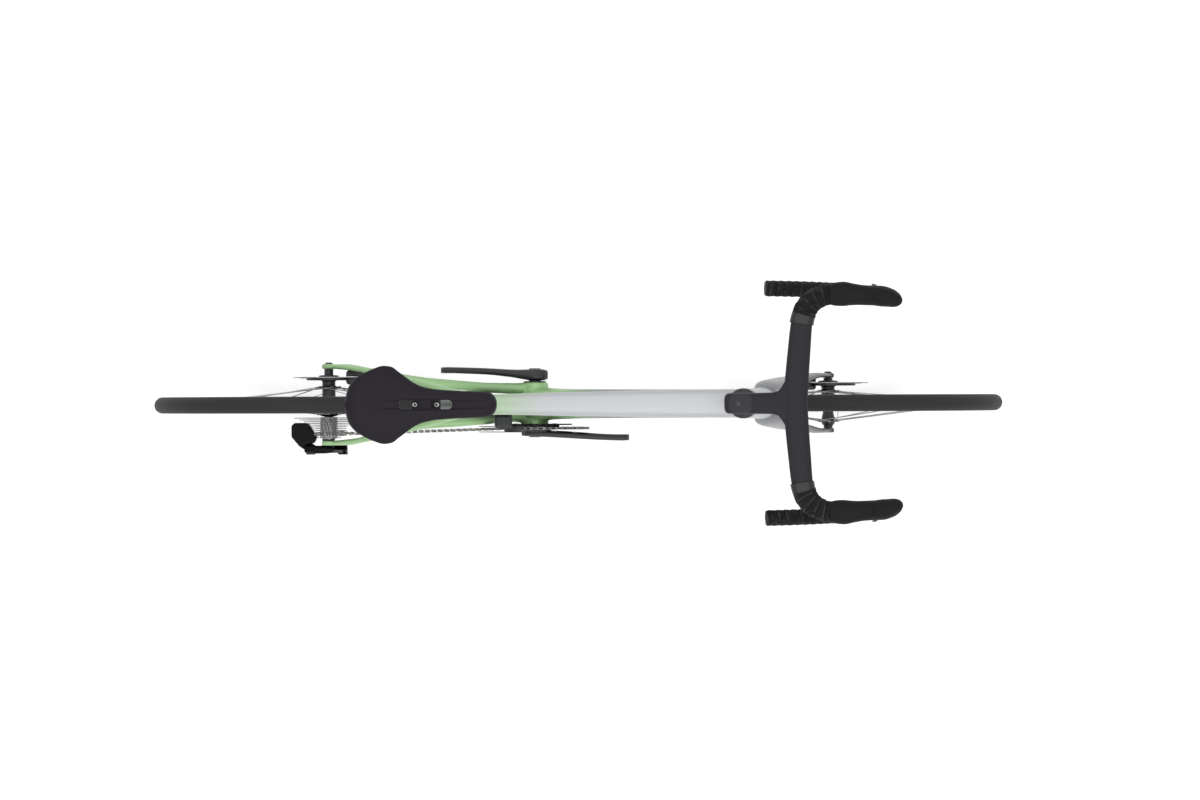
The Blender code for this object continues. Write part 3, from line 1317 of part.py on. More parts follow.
def chain_length(cage_angle):
    return sum(part[-1] for part in chain_parts(cage_angle)[1])


def solve_cage_angle():
    """The cage angle at which the chain is a whole, even number of links."""
    links = 2 * round(chain_length(CAGE_ANGLE_GUESS) / 2)
    low, high = CAGE_ANGLE_GUESS - 0.3, CAGE_ANGLE_GUESS + 0.3
    for _ in range(50):
        middle = (low + high) / 2
        if chain_length(middle) > links:
            low = middle
        else:
            high = middle
    return (low + high) / 2, links


CAGE_ANGLE, CHAIN_LINKS = solve_cage_angle()
CHAIN_WHEELS, CHAIN_PARTS = chain_parts(CAGE_ANGLE)
TENSION_PULLEY = CHAIN_WHEELS[3][0]
STRAIGHT_LEAD = 45 * MM


def chain_point(count):
    """Place, heading and side-to-side place of the chain so many pitches along its loop."""
    count %= CHAIN_LINKS
    for kind, *rest in CHAIN_PARTS:
        length = rest[-1]
        if count <= length:
            break
        count -= length
    if kind == "wrap":
        index, arrive, turn, _ = rest
        centre, teeth, plane, sense = CHAIN_WHEELS[index]
        heading = arrive + turn * count / length
        place = rim_point(centre, teeth, sense, heading)
        place.y = plane
        return place, heading
    start, end, heading, _ = rest
    place = mix(start, end, count / length)
    place.y = mix(start.y, end.y, eased_share(count * CHAIN_PITCH, length * CHAIN_PITCH))
    return place, heading


def eased_share(distance, length):
    """Share of a sideways move that stays straight beside the wheels at both ends."""
    lead = straight_lead(length)
    return min(1.0, max(0.0, (distance - lead) / (length - 2 * lead)))


def straight_lead(length):
    return min(STRAIGHT_LEAD, length / 3)


def gap_angle(index):
    """Angle of a tooth gap on a wheel, from the first roller that lies on it."""
    before = 0.0
    for part in CHAIN_PARTS:
        if part[0] == "wrap" and part[1] == index:
            break
        before += part[-1]
    place, _ = chain_point(math.ceil(before))
    centre = CHAIN_WHEELS[index][0]
    return math.atan2(place.z - centre.z, place.x - centre.x)


def toothed(centre, teeth, phase):
    """A sprocket's outline, with a root at each link's pin and a tip between two."""
    radius = pitch_radius(teeth)
    outline = []
    for i in range(teeth):
        middle = phase + 2 * math.pi * i / teeth
        tooth = middle + math.pi / teeth
        for r, a in ((radius - CHAIN_HEIGHT / 2, middle), (radius + TOOTH_RISE, tooth)):
            outline.append((centre.x + r * math.cos(a), centre.z + r * math.sin(a)))
    return outline


def chain_stops():
    """Places along the chain, in pitches, close together where it bends."""
    stops, before = [], 0.0
    for part in CHAIN_PARTS:
        length = part[-1]
        if part[0] == "wrap":
            pieces = min(math.ceil(length), math.ceil(abs(part[3]) / math.radians(10.0)))
            stops += [before + length * i / pieces for i in range(pieces)]
        else:
            lead = straight_lead(length * CHAIN_PITCH) / CHAIN_PITCH
            stops += [before, before + lead, before + length - lead]
        before += length
    return stops


def back_share(count):
    """1 where the chain's back lies outside the loop, -1 round the guide pulley, whose teeth point out."""
    before = 0.0
    for i, part in enumerate(CHAIN_PARTS):
        share = (count - before) / part[-1]
        before += part[-1]
        if count <= before:
            break
    sense, ahead = wheel_sense(i), wheel_sense(i + 1)
    return mix(sense, ahead, share * share * (3 - 2 * share))


def wheel_sense(part_index):
    """The turning sense of the wheel that a wrap runs on, or that a run comes from."""
    return CHAIN_WHEELS[part_index // 2 % len(CHAIN_WHEELS)][3]


def make_chain():
    """The chain as one closed channel: two side plates and a back that the teeth stay clear of."""
    half, inner, rise = CHAIN_WIDTH / 2, CHAIN_WIDTH / 2 - CHAIN_PLATE, CHAIN_HEIGHT / 2

    def section(count):
        place, heading = chain_point(count)
        out = Vector((math.sin(heading), 0.0, -math.cos(heading)))
        middle = back_share(count) * (CHAIN_BACK_RISE + CHAIN_BACK / 2)
        low, high = middle - CHAIN_BACK / 2, middle + CHAIN_BACK / 2
        rows = [(-half, rise), (-half, -rise), (-inner, -rise), (-inner, low), (inner, low), (inner, -rise),
                (half, -rise), (half, rise), (inner, rise), (inner, high), (-inner, high), (-inner, rise)]
        return [place + AXIS_Y * side + out * height for side, height in rows]
    return finish(loft("chain", [section(count) for count in chain_stops()], closed=True), DARK_STEEL)


def make_ring(name, teeth, plane, phase, axis):
    outlines = [toothed(CRANK_CENTRE, teeth, phase), circle(CRANK_CENTRE, RING_BORE, 16)]
    return finish(plate(name, outlines, RING_THICKNESS, -plane), BLACK, axis)


# Crank arms, by share of the way from the spindle to the pedal: distance from the middle, thickness, height
RIGHT_ARM = ((-0.1565, 58, 11, 18), (-0.1043, 58, 13, 38), (0, 58.5, 14, 46), (0.1391, 59.5, 14, 40),
             (0.3478, 61.5, 14, 31), (0.5797, 64.2, 13.5, 28), (0.8116, 66.6, 12.8, 26),
             (0.9565, 67.4, 12.8, 30), (1.0435, 67.4, 12.8, 30), (1.0899, 67.4, 12, 10))
LEFT_ARM = ((-0.1507, 58, 16, 16), (-0.1043, 58, 22, 36), (0, 58, 24, 44), (0.1275, 59, 20, 38),
            (0.2899, 61.5, 15.5, 31), (0.5797, 65.6, 13, 28), (0.8116, 67.2, 12.6, 26),
            (0.9565, 68, 12.4, 30), (1.0435, 68, 12.4, 30), (1.0899, 68, 11.5, 10))
PEDAL_HOLE_RADIUS = 7 * MM
SPINDLE_GRIP = 22 * MM
CORE_RADIUS = 34 * MM
CORE_DEPTH = 8 * MM


def arm_body(name, rows, side, heading):
    """A crank arm that lies level, forward or back from the spindle."""
    stations = []
    for along, across, thick, height in rows:
        reach = along * CRANK_LENGTH
        place = CRANK_CENTRE + Vector((heading * reach, side * across * MM, 0.0))
        stations.append((place, thick * MM, height * MM))
    arm = sweep(name, stations, AXIS_Y, 4.0, 8)
    hole = CRANK_CENTRE + Vector((heading * CRANK_LENGTH, side * 50 * MM, 0.0))
    return arm, rod(f"{name}_hole", hole, hole + AXIS_Y * side * 40 * MM, PEDAL_HOLE_RADIUS, 12)


def spider_outline():
    points = []
    for i in range(4):
        middle = math.pi / 4 + math.pi / 2 * i
        for radius, offset in ((CORE_RADIUS, -0.42), (SPIDER_RADIUS, -0.17), (SPIDER_RADIUS, 0.17),
                               (CORE_RADIUS, 0.42)):
            points.append((CRANK_CENTRE.x + radius * math.cos(middle + offset),
                           CRANK_CENTRE.z + radius * math.sin(middle + offset)))
    return points


def make_right_crank(axis):
    """Arm, spider and spindle in one piece."""
    arm, hole = arm_body("crank_arm_right", RIGHT_ARM, -1, 1)
    spider_plane = (OUTER_RING_PLANE + INNER_RING_PLANE) / 2
    spider_thickness = OUTER_RING_PLANE - INNER_RING_PLANE - RING_THICKNESS - 2 * GAP
    core_inner = SHELL_WIDTH / 2 + 2 * GAP + CUP_FLANGE
    star = plate("spider", [spider_outline(), circle(CRANK_CENTRE, SHELL_RADIUS + 1.5 * MM, 16)],
                 spider_thickness, -spider_plane)
    spindle_end, core_end = SHELL_WIDTH / 2 + SPINDLE_GRIP, core_inner + CORE_DEPTH
    core = turned("spider_core", [(0.0, spindle_end), (SPINDLE_RADIUS, spindle_end),
                                  (SPINDLE_RADIUS, -core_inner), (CORE_RADIUS, -core_inner),
                                  (CORE_RADIUS - 4 * MM, -core_end), (0.0, -core_end)], CRANK_CENTRE, 12)
    join(arm, core, star)
    return finish(cut(arm, hole), BLACK, axis)


def make_left_crank(axis):
    arm, hole = arm_body("crank_arm_left", LEFT_ARM, 1, -1)
    bore = rod("spindle_bore", CRANK_CENTRE, CRANK_CENTRE + AXIS_Y * 90 * MM, SPINDLE_RADIUS + GAP, 12)
    return finish(cut(arm, hole, bore), BLACK, axis)


def cassette_inner():
    return FIRST_COG_PLANE - (len(COG_TEETH) - 1) * COG_PITCH - 2 * MM


def make_cassette(axis):
    """Twelve cogs on the freehub body, which turns on the hub's axle tube."""
    bore = clear_radius(AXLE_RADIUS + HUB_AXLE_WALL + GAP, HUB_STEPS)
    inner, outer = cassette_inner(), FIRST_COG_PLANE + 3 * MM

    def build(shape):
        body = circle(REAR_AXLE, FREEHUB_RADIUS, 8)
        first = last = add_loop(shape, body, -outer)
        for i, teeth in enumerate(COG_TEETH):
            phase = gap_angle(1) % (2 * math.pi / teeth)
            outline = circle(REAR_AXLE, pitch_radius(teeth), min(teeth, 20), phase)
            if i == COG_IN_USE:
                outline = toothed(REAR_AXLE, teeth, phase)
            plane = -(FIRST_COG_PLANE - i * COG_PITCH)
            faces = (plane - COG_THICKNESS / 2, plane + COG_THICKNESS / 2)
            for points, side in ((body, faces[0]), (outline, faces[0]), (outline, faces[1]),
                                 (body, faces[1])):
                last = bridge(shape, last, add_loop(shape, points, side))
        last = bridge(shape, last, add_loop(shape, body, -inner))
        hole = circle(REAR_AXLE, bore, HUB_STEPS)
        last = bridge(shape, last, add_loop(shape, hole, -inner))
        last = bridge(shape, last, add_loop(shape, hole, -outer))
        bridge(shape, last, first)
    return finish(mesh_from("cassette", build), STEEL, axis)


def add_loop(shape, outline, side):
    return [shape.verts.new((x, side, z)) for x, z in outline]


def bridge(shape, near, far):
    """Triangles between two loops that start at about the same angle, whatever their counts."""
    i = j = 0
    while i < len(near) or j < len(far):
        start, other = near[i % len(near)], far[j % len(far)]
        if (i + 1) * len(far) <= (j + 1) * len(near):
            i += 1
            shape.faces.new((start, near[i % len(near)], other))
        else:
            j += 1
            shape.faces.new((start, far[j % len(far)], other))
    return far


# Derailleurs
LINK_AXIS = Vector((0.0, math.sin(LINK_SLANT), math.cos(LINK_SLANT)))
LINK_TURN = (-LINK_SLANT, 0.0, 0.0)
LINK_START = REAR_AXLE + Vector(LINK_START_FROM_AXLE)
LINK_END = LINK_START + Vector((LINK_LENGTH, 0.0, 0.0))
BATTERY_OUTLINE = ((-78, -64), (-78, -42), (-72, -36), (-44, -36), (-27, -64), (-32, -76), (-48, -79),
                   (-51, -90), (-62, -83))
BATTERY_BOTTOM = -67 * MM
BATTERY_HEIGHT = 30 * MM


def slab(name, outline, low, height):
    """A level plate from an (x, y) outline."""
    def build(shape):
        bottom = [Vector((x, y, low)) for x, y in outline]
        skin(shape, [bottom, [point + AXIS_Z * height for point in bottom]])
    return mesh_from(name, build)


def clevis(name, centre, back):
    """Two ears over and under a link's end with the wall behind them, and the pin through both."""
    along = Vector((back, 0.0, 0.0))
    reach = LINK_HEIGHT / 2 + GAP + EAR_THICKNESS
    ear_centre = LINK_HEIGHT / 2 + GAP + EAR_THICKNESS / 2
    width = LINK_WIDTH + 5 * MM
    wall = block(name, centre + along * 11 * MM, (4 * MM, width, 2 * reach), LINK_TURN)
    for side, word in ((1, "upper"), (-1, "lower")):
        place = centre + along * 2 * MM + LINK_AXIS * side * ear_centre
        join(wall, block(f"{name}_{word}_ear", place, (18 * MM, width - MM, EAR_THICKNESS), LINK_TURN))
    join(wall, rod(f"{name}_pin", centre - LINK_AXIS * ear_centre, centre + LINK_AXIS * ear_centre,
                   LINK_PIN_RADIUS, 8))
    return wall


def make_rear_knuckle():
    """The part that bolts to the hanger and holds the battery and the link's rear end."""
    knuckle = clevis("rear_derailleur_knuckle", LINK_START, -1)
    bolt = hanger_point()
    side = LINK_START.y
    bar = sweep("knuckle_bar", [
        (Vector((bolt.x + 16 * MM, side, bolt.z + 4 * MM)), 13 * MM, 13 * MM),
        (Vector((bolt.x, side, bolt.z + 3 * MM)), 17 * MM, 17 * MM),
        (Vector((LINK_START.x + 8 * MM, side, bolt.z + MM)), 17 * MM, 16 * MM),
        (LINK_START + Vector((-12 * MM, 0.0, 16 * MM)), 15 * MM, 12 * MM)], AXIS_Y, 2.6, 8)
    outline = [(REAR_AXLE.x + x * MM, y * MM) for x, y in BATTERY_OUTLINE]
    battery = slab("battery", outline, REAR_AXLE.z + BATTERY_BOTTOM, BATTERY_HEIGHT)
    face = -(REAR_HUB_WIDTH / 2 + DROPOUT_THICKNESS / 2 + HANGER_THICKNESS / 2 + GAP)
    boss = turned("knuckle_boss", [(0.0, face + 8 * MM), (HANGER_BOLT_RADIUS, face + 8 * MM),
                                   (HANGER_BOLT_RADIUS, face), (8 * MM, face), (8 * MM, side),
                                   (0.0, side)], bolt, 12)
    join(knuckle, bar, battery, boss)
    return finish(knuckle, BLACK)


def make_link(axis):
    link = block("rear_derailleur_link", (LINK_START + LINK_END) / 2,
                 (LINK_LENGTH, LINK_WIDTH, LINK_HEIGHT), LINK_TURN)
    half = LINK_AXIS * LINK_HEIGHT / 2
    for i, centre in enumerate((LINK_START, LINK_END)):
        join(link, rod(f"link_barrel_{i}", centre - half * 0.99, centre + half * 0.99, 6 * MM, 8))
    for i, centre in enumerate((LINK_START, LINK_END)):
        cut(link, rod(f"link_bore_{i}", centre - half * 1.2, centre + half * 1.2,
                      LINK_PIN_RADIUS + GAP, 8))
    return finish(link, BLACK, axis)


def cage_plate_inner():
    return CHAIN_WIDTH / 2 + CAGE_CLEARANCE


def make_lower_knuckle(axis):
    """The link's front end, with the bearing that the cage turns in."""
    knuckle = clevis("rear_derailleur_lower_knuckle", LINK_END, 1)
    inner = COG_IN_USE_PLANE + cage_plate_inner() + CAGE_PLATE + GAP
    start = GUIDE_PULLEY - AXIS_Y * inner
    end = start - AXIS_Y * 18 * MM
    arm = sweep("knuckle_arm", [
        (start - AXIS_Y * 11 * MM, 15 * MM, 22 * MM),
        (mix(end, LINK_END, 0.5) - AXIS_Z * 8 * MM, 14 * MM, 16 * MM),
        (LINK_END + Vector((8 * MM, 5 * MM, -20 * MM)), 13 * MM, 14 * MM)], AXIS_Y, 2.6, 8)
    join(knuckle, arm, rod("cage_bearing", start, end, 13 * MM, 12))
    cut(knuckle, rod("cage_pin_bore", start + AXIS_Y * MM, start - AXIS_Y * 13 * MM,
                     CAGE_PIN_RADIUS + GAP, 12))
    return finish(knuckle, BLACK, axis)


def cage_outline():
    """A long plate with round ends, round both pulleys."""
    away = math.atan2(GUIDE_PULLEY.z - TENSION_PULLEY.z, GUIDE_PULLEY.x - TENSION_PULLEY.x)
    points = []
    for centre, start in ((GUIDE_PULLEY, away), (TENSION_PULLEY, away + math.pi)):
        for i in range(5):
            angle = start - math.pi / 2 + math.pi * i / 4
            points.append((centre.x + CAGE_HALF_WIDTH * math.cos(angle),
                           centre.z + CAGE_HALF_WIDTH * math.sin(angle)))
    return points


def make_cage(axis):
    """Two plates either side of the pulleys, joined by the pulleys' bolts."""
    inner = cage_plate_inner()
    middle = inner + CAGE_PLATE / 2
    cage = plate("rear_derailleur_cage", [cage_outline()], CAGE_PLATE, -COG_IN_USE_PLANE - middle)
    far = plate("cage_inner_plate", [cage_outline()], CAGE_PLATE, -COG_IN_USE_PLANE + middle)
    outer_side = -COG_IN_USE_PLANE - inner - CAGE_PLATE / 2
    bolts = [rod(f"pulley_bolt_{i}", Vector((centre.x, -COG_IN_USE_PLANE + middle, centre.z)),
                 Vector((centre.x, -COG_IN_USE_PLANE - middle, centre.z)), PULLEY_BOLT_RADIUS, 8)
             for i, centre in enumerate((GUIDE_PULLEY, TENSION_PULLEY))]
    pin = rod("cage_pin", Vector((GUIDE_PULLEY.x, outer_side, GUIDE_PULLEY.z)),
              Vector((GUIDE_PULLEY.x, outer_side - 12 * MM, GUIDE_PULLEY.z)), CAGE_PIN_RADIUS, 12)
    join(cage, far, *bolts, pin)
    return finish(cage, BLACK, axis)


def make_pulley(name, centre, index, axis):
    outlines = [toothed(centre, PULLEY_TEETH, gap_angle(index)),
                circle(centre, PULLEY_BOLT_RADIUS + GAP, 8)]
    return finish(plate(name, outlines, PULLEY_THICKNESS, -COG_IN_USE_PLANE), BLACK, axis)


def front_shift_axis():
    return CRANK_CENTRE + Vector(FRONT_SHIFT_AXIS_FROM_CRANK)


def make_front_derailleur(axis):
    """The motor's body beside the seat tube, and the cage that swings under it."""
    hinge = front_shift_axis()
    body = block("front_derailleur_body", hinge + Vector((0.0, 2 * MM, 26 * MM)),
                 (34 * MM, 26 * MM, 38 * MM), edge=4 * MM)
    for i, direction in enumerate((-1, 1)):
        ear = hinge + Vector((direction * 13 * MM, 0.0, 3 * MM))
        join(body, block(f"front_ear_{i}", ear, (5 * MM, 11 * MM, 16 * MM)))
    foot_height = (hinge.z + 26 * MM - CRANK_CENTRE.z) / SEAT_UP.z
    foot = seat(foot_height)
    near, far = -seat_tube_side(foot_height - 8 * MM) - GAP, hinge.y + 4 * MM
    join(body, block("front_derailleur_foot", Vector((foot.x, (near + far) / 2, foot.z)),
                     (11 * MM, near - far, 16 * MM)))
    pin = Vector((13 * MM, 0.0, 0.0))
    join(body, rod("front_shift_pin", hinge - pin, hinge + pin, LINK_PIN_RADIUS, 8))
    finish(body, BLACK)
    inner = pitch_radius(OUTER_TEETH) + CHAIN_HEIGHT / 2 + FRONT_CAGE_CLEARANCE
    outline = arc_band(inner, inner + FRONT_CAGE_DEPTH, math.radians(98), math.radians(146))
    cage = plate("front_derailleur_cage", [outline], 1.5 * MM, -FRONT_CAGE_PLANES[0])
    outer = plate("front_cage_outer", [outline], 1.5 * MM, -FRONT_CAGE_PLANES[1])
    far_edge = inner + FRONT_CAGE_DEPTH
    band = arc_band(far_edge - 4 * MM, far_edge - MM, math.radians(101), math.radians(116), 1)
    bridge = plate("front_cage_bridge", [band], FRONT_CAGE_PLANES[1] - FRONT_CAGE_PLANES[0],
                   -sum(FRONT_CAGE_PLANES) / 2)
    low = CRANK_CENTRE.z + inner + FRONT_CAGE_DEPTH - 16 * MM
    arm = block("front_cage_arm", Vector((hinge.x, hinge.y - 4 * MM, (low + hinge.z) / 2)),
                (14 * MM, 8 * MM, hinge.z - low), edge=MM)
    barrel = rod("front_cage_barrel", hinge - Vector((8 * MM, 0.0, 0.0)), hinge + Vector((8 * MM, 0.0, 0.0)),
                 5.5 * MM, 8)
    join(cage, outer, bridge, arm, barrel)
    cut(cage, rod("front_cage_bore", hinge - pin, hinge + pin, LINK_PIN_RADIUS + GAP, 8))
    return finish(cage, BLACK, axis)


def arc_band(inner, outer, start, end, pieces=4):
    """A band round the crank's centre, as an (x, z) outline."""
    angles = [mix(start, end, i / pieces) for i in range(pieces + 1)]
    rows = [(outer, angle) for angle in angles] + [(inner, angle) for angle in angles[::-1]]
    return [(CRANK_CENTRE.x + r * math.cos(a), CRANK_CENTRE.z + r * math.sin(a)) for r, a in rows]


def main():
    steering = add_axis("steering_axis", steer(HEAD_TOP))
    front_spin = add_axis("front_wheel_axis", FRONT_AXLE)
    rear_spin = add_axis("rear_wheel_axis", REAR_AXLE)
    cassette_spin = add_axis("cassette_axis", REAR_AXLE)
    crank_spin = add_axis("crank_axis", CRANK_CENTRE)
    post_slide = add_axis("seatpost_axis", seat(SEAT_TUBE_LENGTH))
    make_front_triangle()
    for side in SIDE_NAMES:
        make_chainstay(side)
        make_seatstay(side)
    make_bottom_bracket()
    make_headset_lower()
    make_headset_upper(steering)
    make_seatpost(post_slide)
    make_saddle_clamp(post_slide)
    make_saddle(post_slide)
    make_fork(steering)
    make_handlebar(steering)
    make_stem_cap(steering)
    for side in SIDE_NAMES:
        make_tape(side, steering)
        make_plug(side, steering)
        make_hood(side, steering)
        lever_axis = add_axis(f"lever_axis_{SIDE_NAMES[side]}", lever_pivot(side))
        make_lever(side, lever_axis)
        make_paddle(side, lever_axis)
    make_wheel("front", FRONT_AXLE, front_spin, {1: FRONT_FLANGE_LEFT, -1: -FRONT_FLANGE_RIGHT},
               FRONT_FLANGE_RADIUS)
    make_wheel("rear", REAR_AXLE, rear_spin, {1: REAR_FLANGE_LEFT, -1: -REAR_FLANGE_RIGHT},
               REAR_FLANGE_RADIUS)
    make_front_hub(FRONT_AXLE, front_spin)
    make_rear_hub(REAR_AXLE, rear_spin)
    make_rotor("front_rotor", FRONT_AXLE, FRONT_ROTOR_RADIUS, FRONT_ROTOR_PLANE, front_spin)
    make_rotor("rear_rotor", REAR_AXLE, REAR_ROTOR_RADIUS, REAR_ROTOR_PLANE, rear_spin)
    front_seat, rear_seat = front_caliper_seat(), rear_caliper_seat()
    make_caliper("front_caliper", front_seat, FRONT_AXLE, FRONT_ROTOR_RADIUS,
                 ((22 * MM, 3 * MM), (34 * MM, 3 * MM), (46 * MM, -3 * MM), (55 * MM, -9 * MM)), steering)
    make_caliper("rear_caliper", rear_seat, REAR_AXLE, REAR_ROTOR_RADIUS,
                 ((22 * MM, 3 * MM), (34 * MM, 3 * MM), (46 * MM, -3 * MM), (55 * MM, -10 * MM)))
    make_pads("front", front_seat, FRONT_AXLE, FRONT_ROTOR_RADIUS, steering)
    make_pads("rear", rear_seat, REAR_AXLE, REAR_ROTOR_RADIUS, None)
    make_axle("front_through_axle", FRONT_AXLE, FRONT_HUB_WIDTH / 2 + FORK_TIP_THICKNESS,
              FRONT_HUB_WIDTH / 2 + FORK_TIP_THICKNESS, steering)
    make_axle("rear_through_axle", REAR_AXLE, REAR_HUB_WIDTH / 2 + DROPOUT_THICKNESS,
              REAR_HUB_WIDTH / 2 + DROPOUT_THICKNESS, None)
    make_chain()
    make_ring("chainring_outer", OUTER_TEETH, OUTER_RING_PLANE, gap_angle(0), crank_spin)
    make_ring("chainring_inner", INNER_TEETH, INNER_RING_PLANE, 0.0, crank_spin)
    make_right_crank(crank_spin)
    make_left_crank(crank_spin)
    make_cassette(cassette_spin)
    make_rear_knuckle()
    link_axis = add_axis("rear_link_axis", LINK_START)
    make_link(link_axis)
    knuckle_axis = add_axis("rear_knuckle_axis", LINK_END)
    make_lower_knuckle(knuckle_axis)
    cage_axis = add_axis("rear_cage_axis", GUIDE_PULLEY)
    make_cage(cage_axis)
    make_pulley("guide_pulley", GUIDE_PULLEY, 2, add_axis("guide_pulley_axis", GUIDE_PULLEY))
    make_pulley("tension_pulley", TENSION_PULLEY, 3, add_axis("tension_pulley_axis", TENSION_PULLEY))
    make_front_derailleur(add_axis("front_derailleur_axis", front_shift_axis()))


main()
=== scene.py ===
from math import acos, asin, atan2, ceil, copysign, cos, pi, radians, sin, sqrt, tan

import bmesh
import bpy
from bpy.props import FloatProperty, FloatVectorProperty, IntProperty, PointerProperty
from mathutils import Euler, Matrix, Vector


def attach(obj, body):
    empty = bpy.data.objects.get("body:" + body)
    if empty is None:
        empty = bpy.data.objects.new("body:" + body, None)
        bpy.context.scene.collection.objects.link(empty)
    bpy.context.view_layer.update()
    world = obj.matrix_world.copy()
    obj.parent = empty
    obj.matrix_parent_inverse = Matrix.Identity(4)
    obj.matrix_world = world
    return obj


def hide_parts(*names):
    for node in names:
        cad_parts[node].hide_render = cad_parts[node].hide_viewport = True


bl_info = {
    "name": "Road Bike Looks",
    "version": (1, 0, 0),
    "blender": (4, 5, 0),
    "location": "3D View > Sidebar > Road Bike",
    "description": "Finished forms, paints, rubbers and metals for the road bike's parts",
    "category": "Object",
}

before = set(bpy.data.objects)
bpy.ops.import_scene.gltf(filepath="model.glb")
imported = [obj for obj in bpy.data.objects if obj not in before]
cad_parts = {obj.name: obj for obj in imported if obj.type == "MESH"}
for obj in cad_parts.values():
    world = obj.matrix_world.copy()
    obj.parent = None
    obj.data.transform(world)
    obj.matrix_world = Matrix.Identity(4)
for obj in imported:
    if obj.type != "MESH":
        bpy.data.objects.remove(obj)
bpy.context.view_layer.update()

MM = 0.001
GAP = 0.3 * MM
MERGE_DISTANCE = 1e-6
NODE_GRID = 0.9 * MM
AXIS_X = Vector((1.0, 0.0, 0.0))
AXIS_Y = Vector((0.0, 1.0, 0.0))
AXIS_Z = Vector((0.0, 0.0, 1.0))
SIDES = {1: "left", -1: "right"}

# The bike's main lines
WHEELBASE = 988 * MM
TYRE_RADIUS = 343 * MM
HEAD_ANGLE = radians(73.25)
SEAT_ANGLE = radians(74.0)
FORK_OFFSET = 45 * MM
FORK_LENGTH = 372 * MM
HEAD_TUBE_LENGTH = 120 * MM
SEAT_TUBE_LENGTH = 480 * MM
CHAINSTAY_LENGTH = 413 * MM
BRACKET_DROP = 72 * MM
REAR_AXLE = Vector((-WHEELBASE / 2, 0.0, TYRE_RADIUS))
FRONT_AXLE = Vector((WHEELBASE / 2, 0.0, TYRE_RADIUS))
STAY_RUN = sqrt(CHAINSTAY_LENGTH ** 2 - BRACKET_DROP ** 2)
CRANK_CENTRE = REAR_AXLE + Vector((STAY_RUN, 0.0, -BRACKET_DROP))
STEER_UP = Vector((-cos(HEAD_ANGLE), 0.0, sin(HEAD_ANGLE)))
STEER_FORWARD = Vector((sin(HEAD_ANGLE), 0.0, cos(HEAD_ANGLE)))
STEER_FOOT = FRONT_AXLE - STEER_FORWARD * FORK_OFFSET
SEAT_UP = Vector((-cos(SEAT_ANGLE), 0.0, sin(SEAT_ANGLE)))
SEAT_FORWARD = Vector((sin(SEAT_ANGLE), 0.0, cos(SEAT_ANGLE)))
CROWN_TOP = sqrt(FORK_LENGTH ** 2 - FORK_OFFSET ** 2)
HEAD_BOTTOM = CROWN_TOP + GAP
HEAD_TOP = HEAD_BOTTOM + HEAD_TUBE_LENGTH

# Bottle bolts: heights above the crank, and reach from each tube's middle line
BOTTLE_BOLT_HEIGHTS = (190 * MM, 254 * MM)
DOWN_BOLT_REACH = 29.5 * MM
SEAT_BOLT_REACH = 20 * MM

# Frame sections: rows hold shares or heights, sideways offsets, widths and depths in millimetres
DOWN_TUBE_HEIGHT = 51 * MM
SHELL_WIDTH = 86.5 * MM
SHELL_RADIUS = 27 * MM
FRONT_HUB_WIDTH = 100 * MM
REAR_HUB_WIDTH = 142 * MM
FORK_TIP_THICKNESS = 9 * MM
DROPOUT_THICKNESS = 9.5 * MM
DROPOUT_RADIUS = 14 * MM
HANGER_DROP = 28 * MM
HANGER_SETBACK = 8 * MM
TUBE_SIDES = 36
TOP_TUBE_ROWS = ((0.0, 54, 40), (0.35, 50, 38), (0.7, 43, 35), (0.96, 36, 34))
DOWN_TUBE_ROWS = ((0.0, 54, 58), (0.3, 55, 59), (0.75, 58, 60), (0.92, 63, 57), (1.0, 80, 48))
SEAT_TUBE_ROWS = ((0.0, 56, 38), (90, 42, 38), (240, 33, 40), (410, 33, 44), (480, 34, 46))
CHAINSTAY_STATIONS = {
    1: ((0.0, 14, 26, 36), (0.06, 30, 24, 34), (0.12, 31, 22, 32), (0.24, 33, 20, 30), (0.38, 38, 19, 29),
        (0.52, 44, 18, 28), (0.66, 53, 17, 27), (0.80, 66, 13, 26), (0.92, 75.6, 10, 25)),
    -1: ((0.0, 14, 24, 36), (0.06, 28, 20, 34), (0.12, 27.5, 17, 32), (0.24, 31.5, 18, 30),
         (0.38, 36, 18, 29), (0.52, 40, 17, 28), (0.66, 47, 16, 26), (0.80, 65, 13, 25),
         (0.92, 75.6, 10, 25)),
}
SEATSTAY_STATIONS = ((0.0, 10, 22, 28), (0.10, 20, 16.5, 20.5), (0.24, 31, 14.5, 18.5),
                     (0.45, 47, 12.5, 17.5), (0.66, 61, 11.5, 17.5), (0.84, 71, 10.5, 18.5),
                     (1.0, 75.5, 9.5, 18))
FORK_STATIONS = ((0, -11, 4, 42, 20), (14, -12, 4, 42, 20), (25, -18, 5, 44, 20), (32, -32, 7, 46, 19),
                 (37, -66, 12, 44, 17), (43, -130, 20, 38, 14.5), (48, -220, 31, 31, 12))

# Cockpit
STEM_SEAT = 530 * MM
STEM_REACH = 103.8 * MM
STEM_RISE = 10.5 * MM
STEM_HEIGHT = 40 * MM
STEM_CAP_LENGTH = 46
STEM_CAP_WIDTH = 32
CAP_BOW = 14 * MM
COVER_RADIUS = 28 * MM
BAR_STATIONS = ((0, 0, 0, 24, 45), (3, 45, 0, 23, 44), (8, 105, 0, 22, 42), (12, 146, 0, 22, 40),
                (19, 171, 0, 23, 38), (34, 189, 0, 25, 36), (58, 199, -1, 27, 33), (77, 201, -9, 25, 28),
                (87, 203, -25, 24, 24), (90, 205, -46, 24, 24), (85, 208, -71, 24, 24),
                (69, 210, -95, 24, 24), (44, 212, -111, 24, 24), (12, 213.5, -117, 24, 24),
                (-48, 215, -115, 24, 24))
TAPE_START = 146
TAPE_THICKNESS = 2 * MM
TAPE_LAP = 0.82
BAND_WIDTH = 17
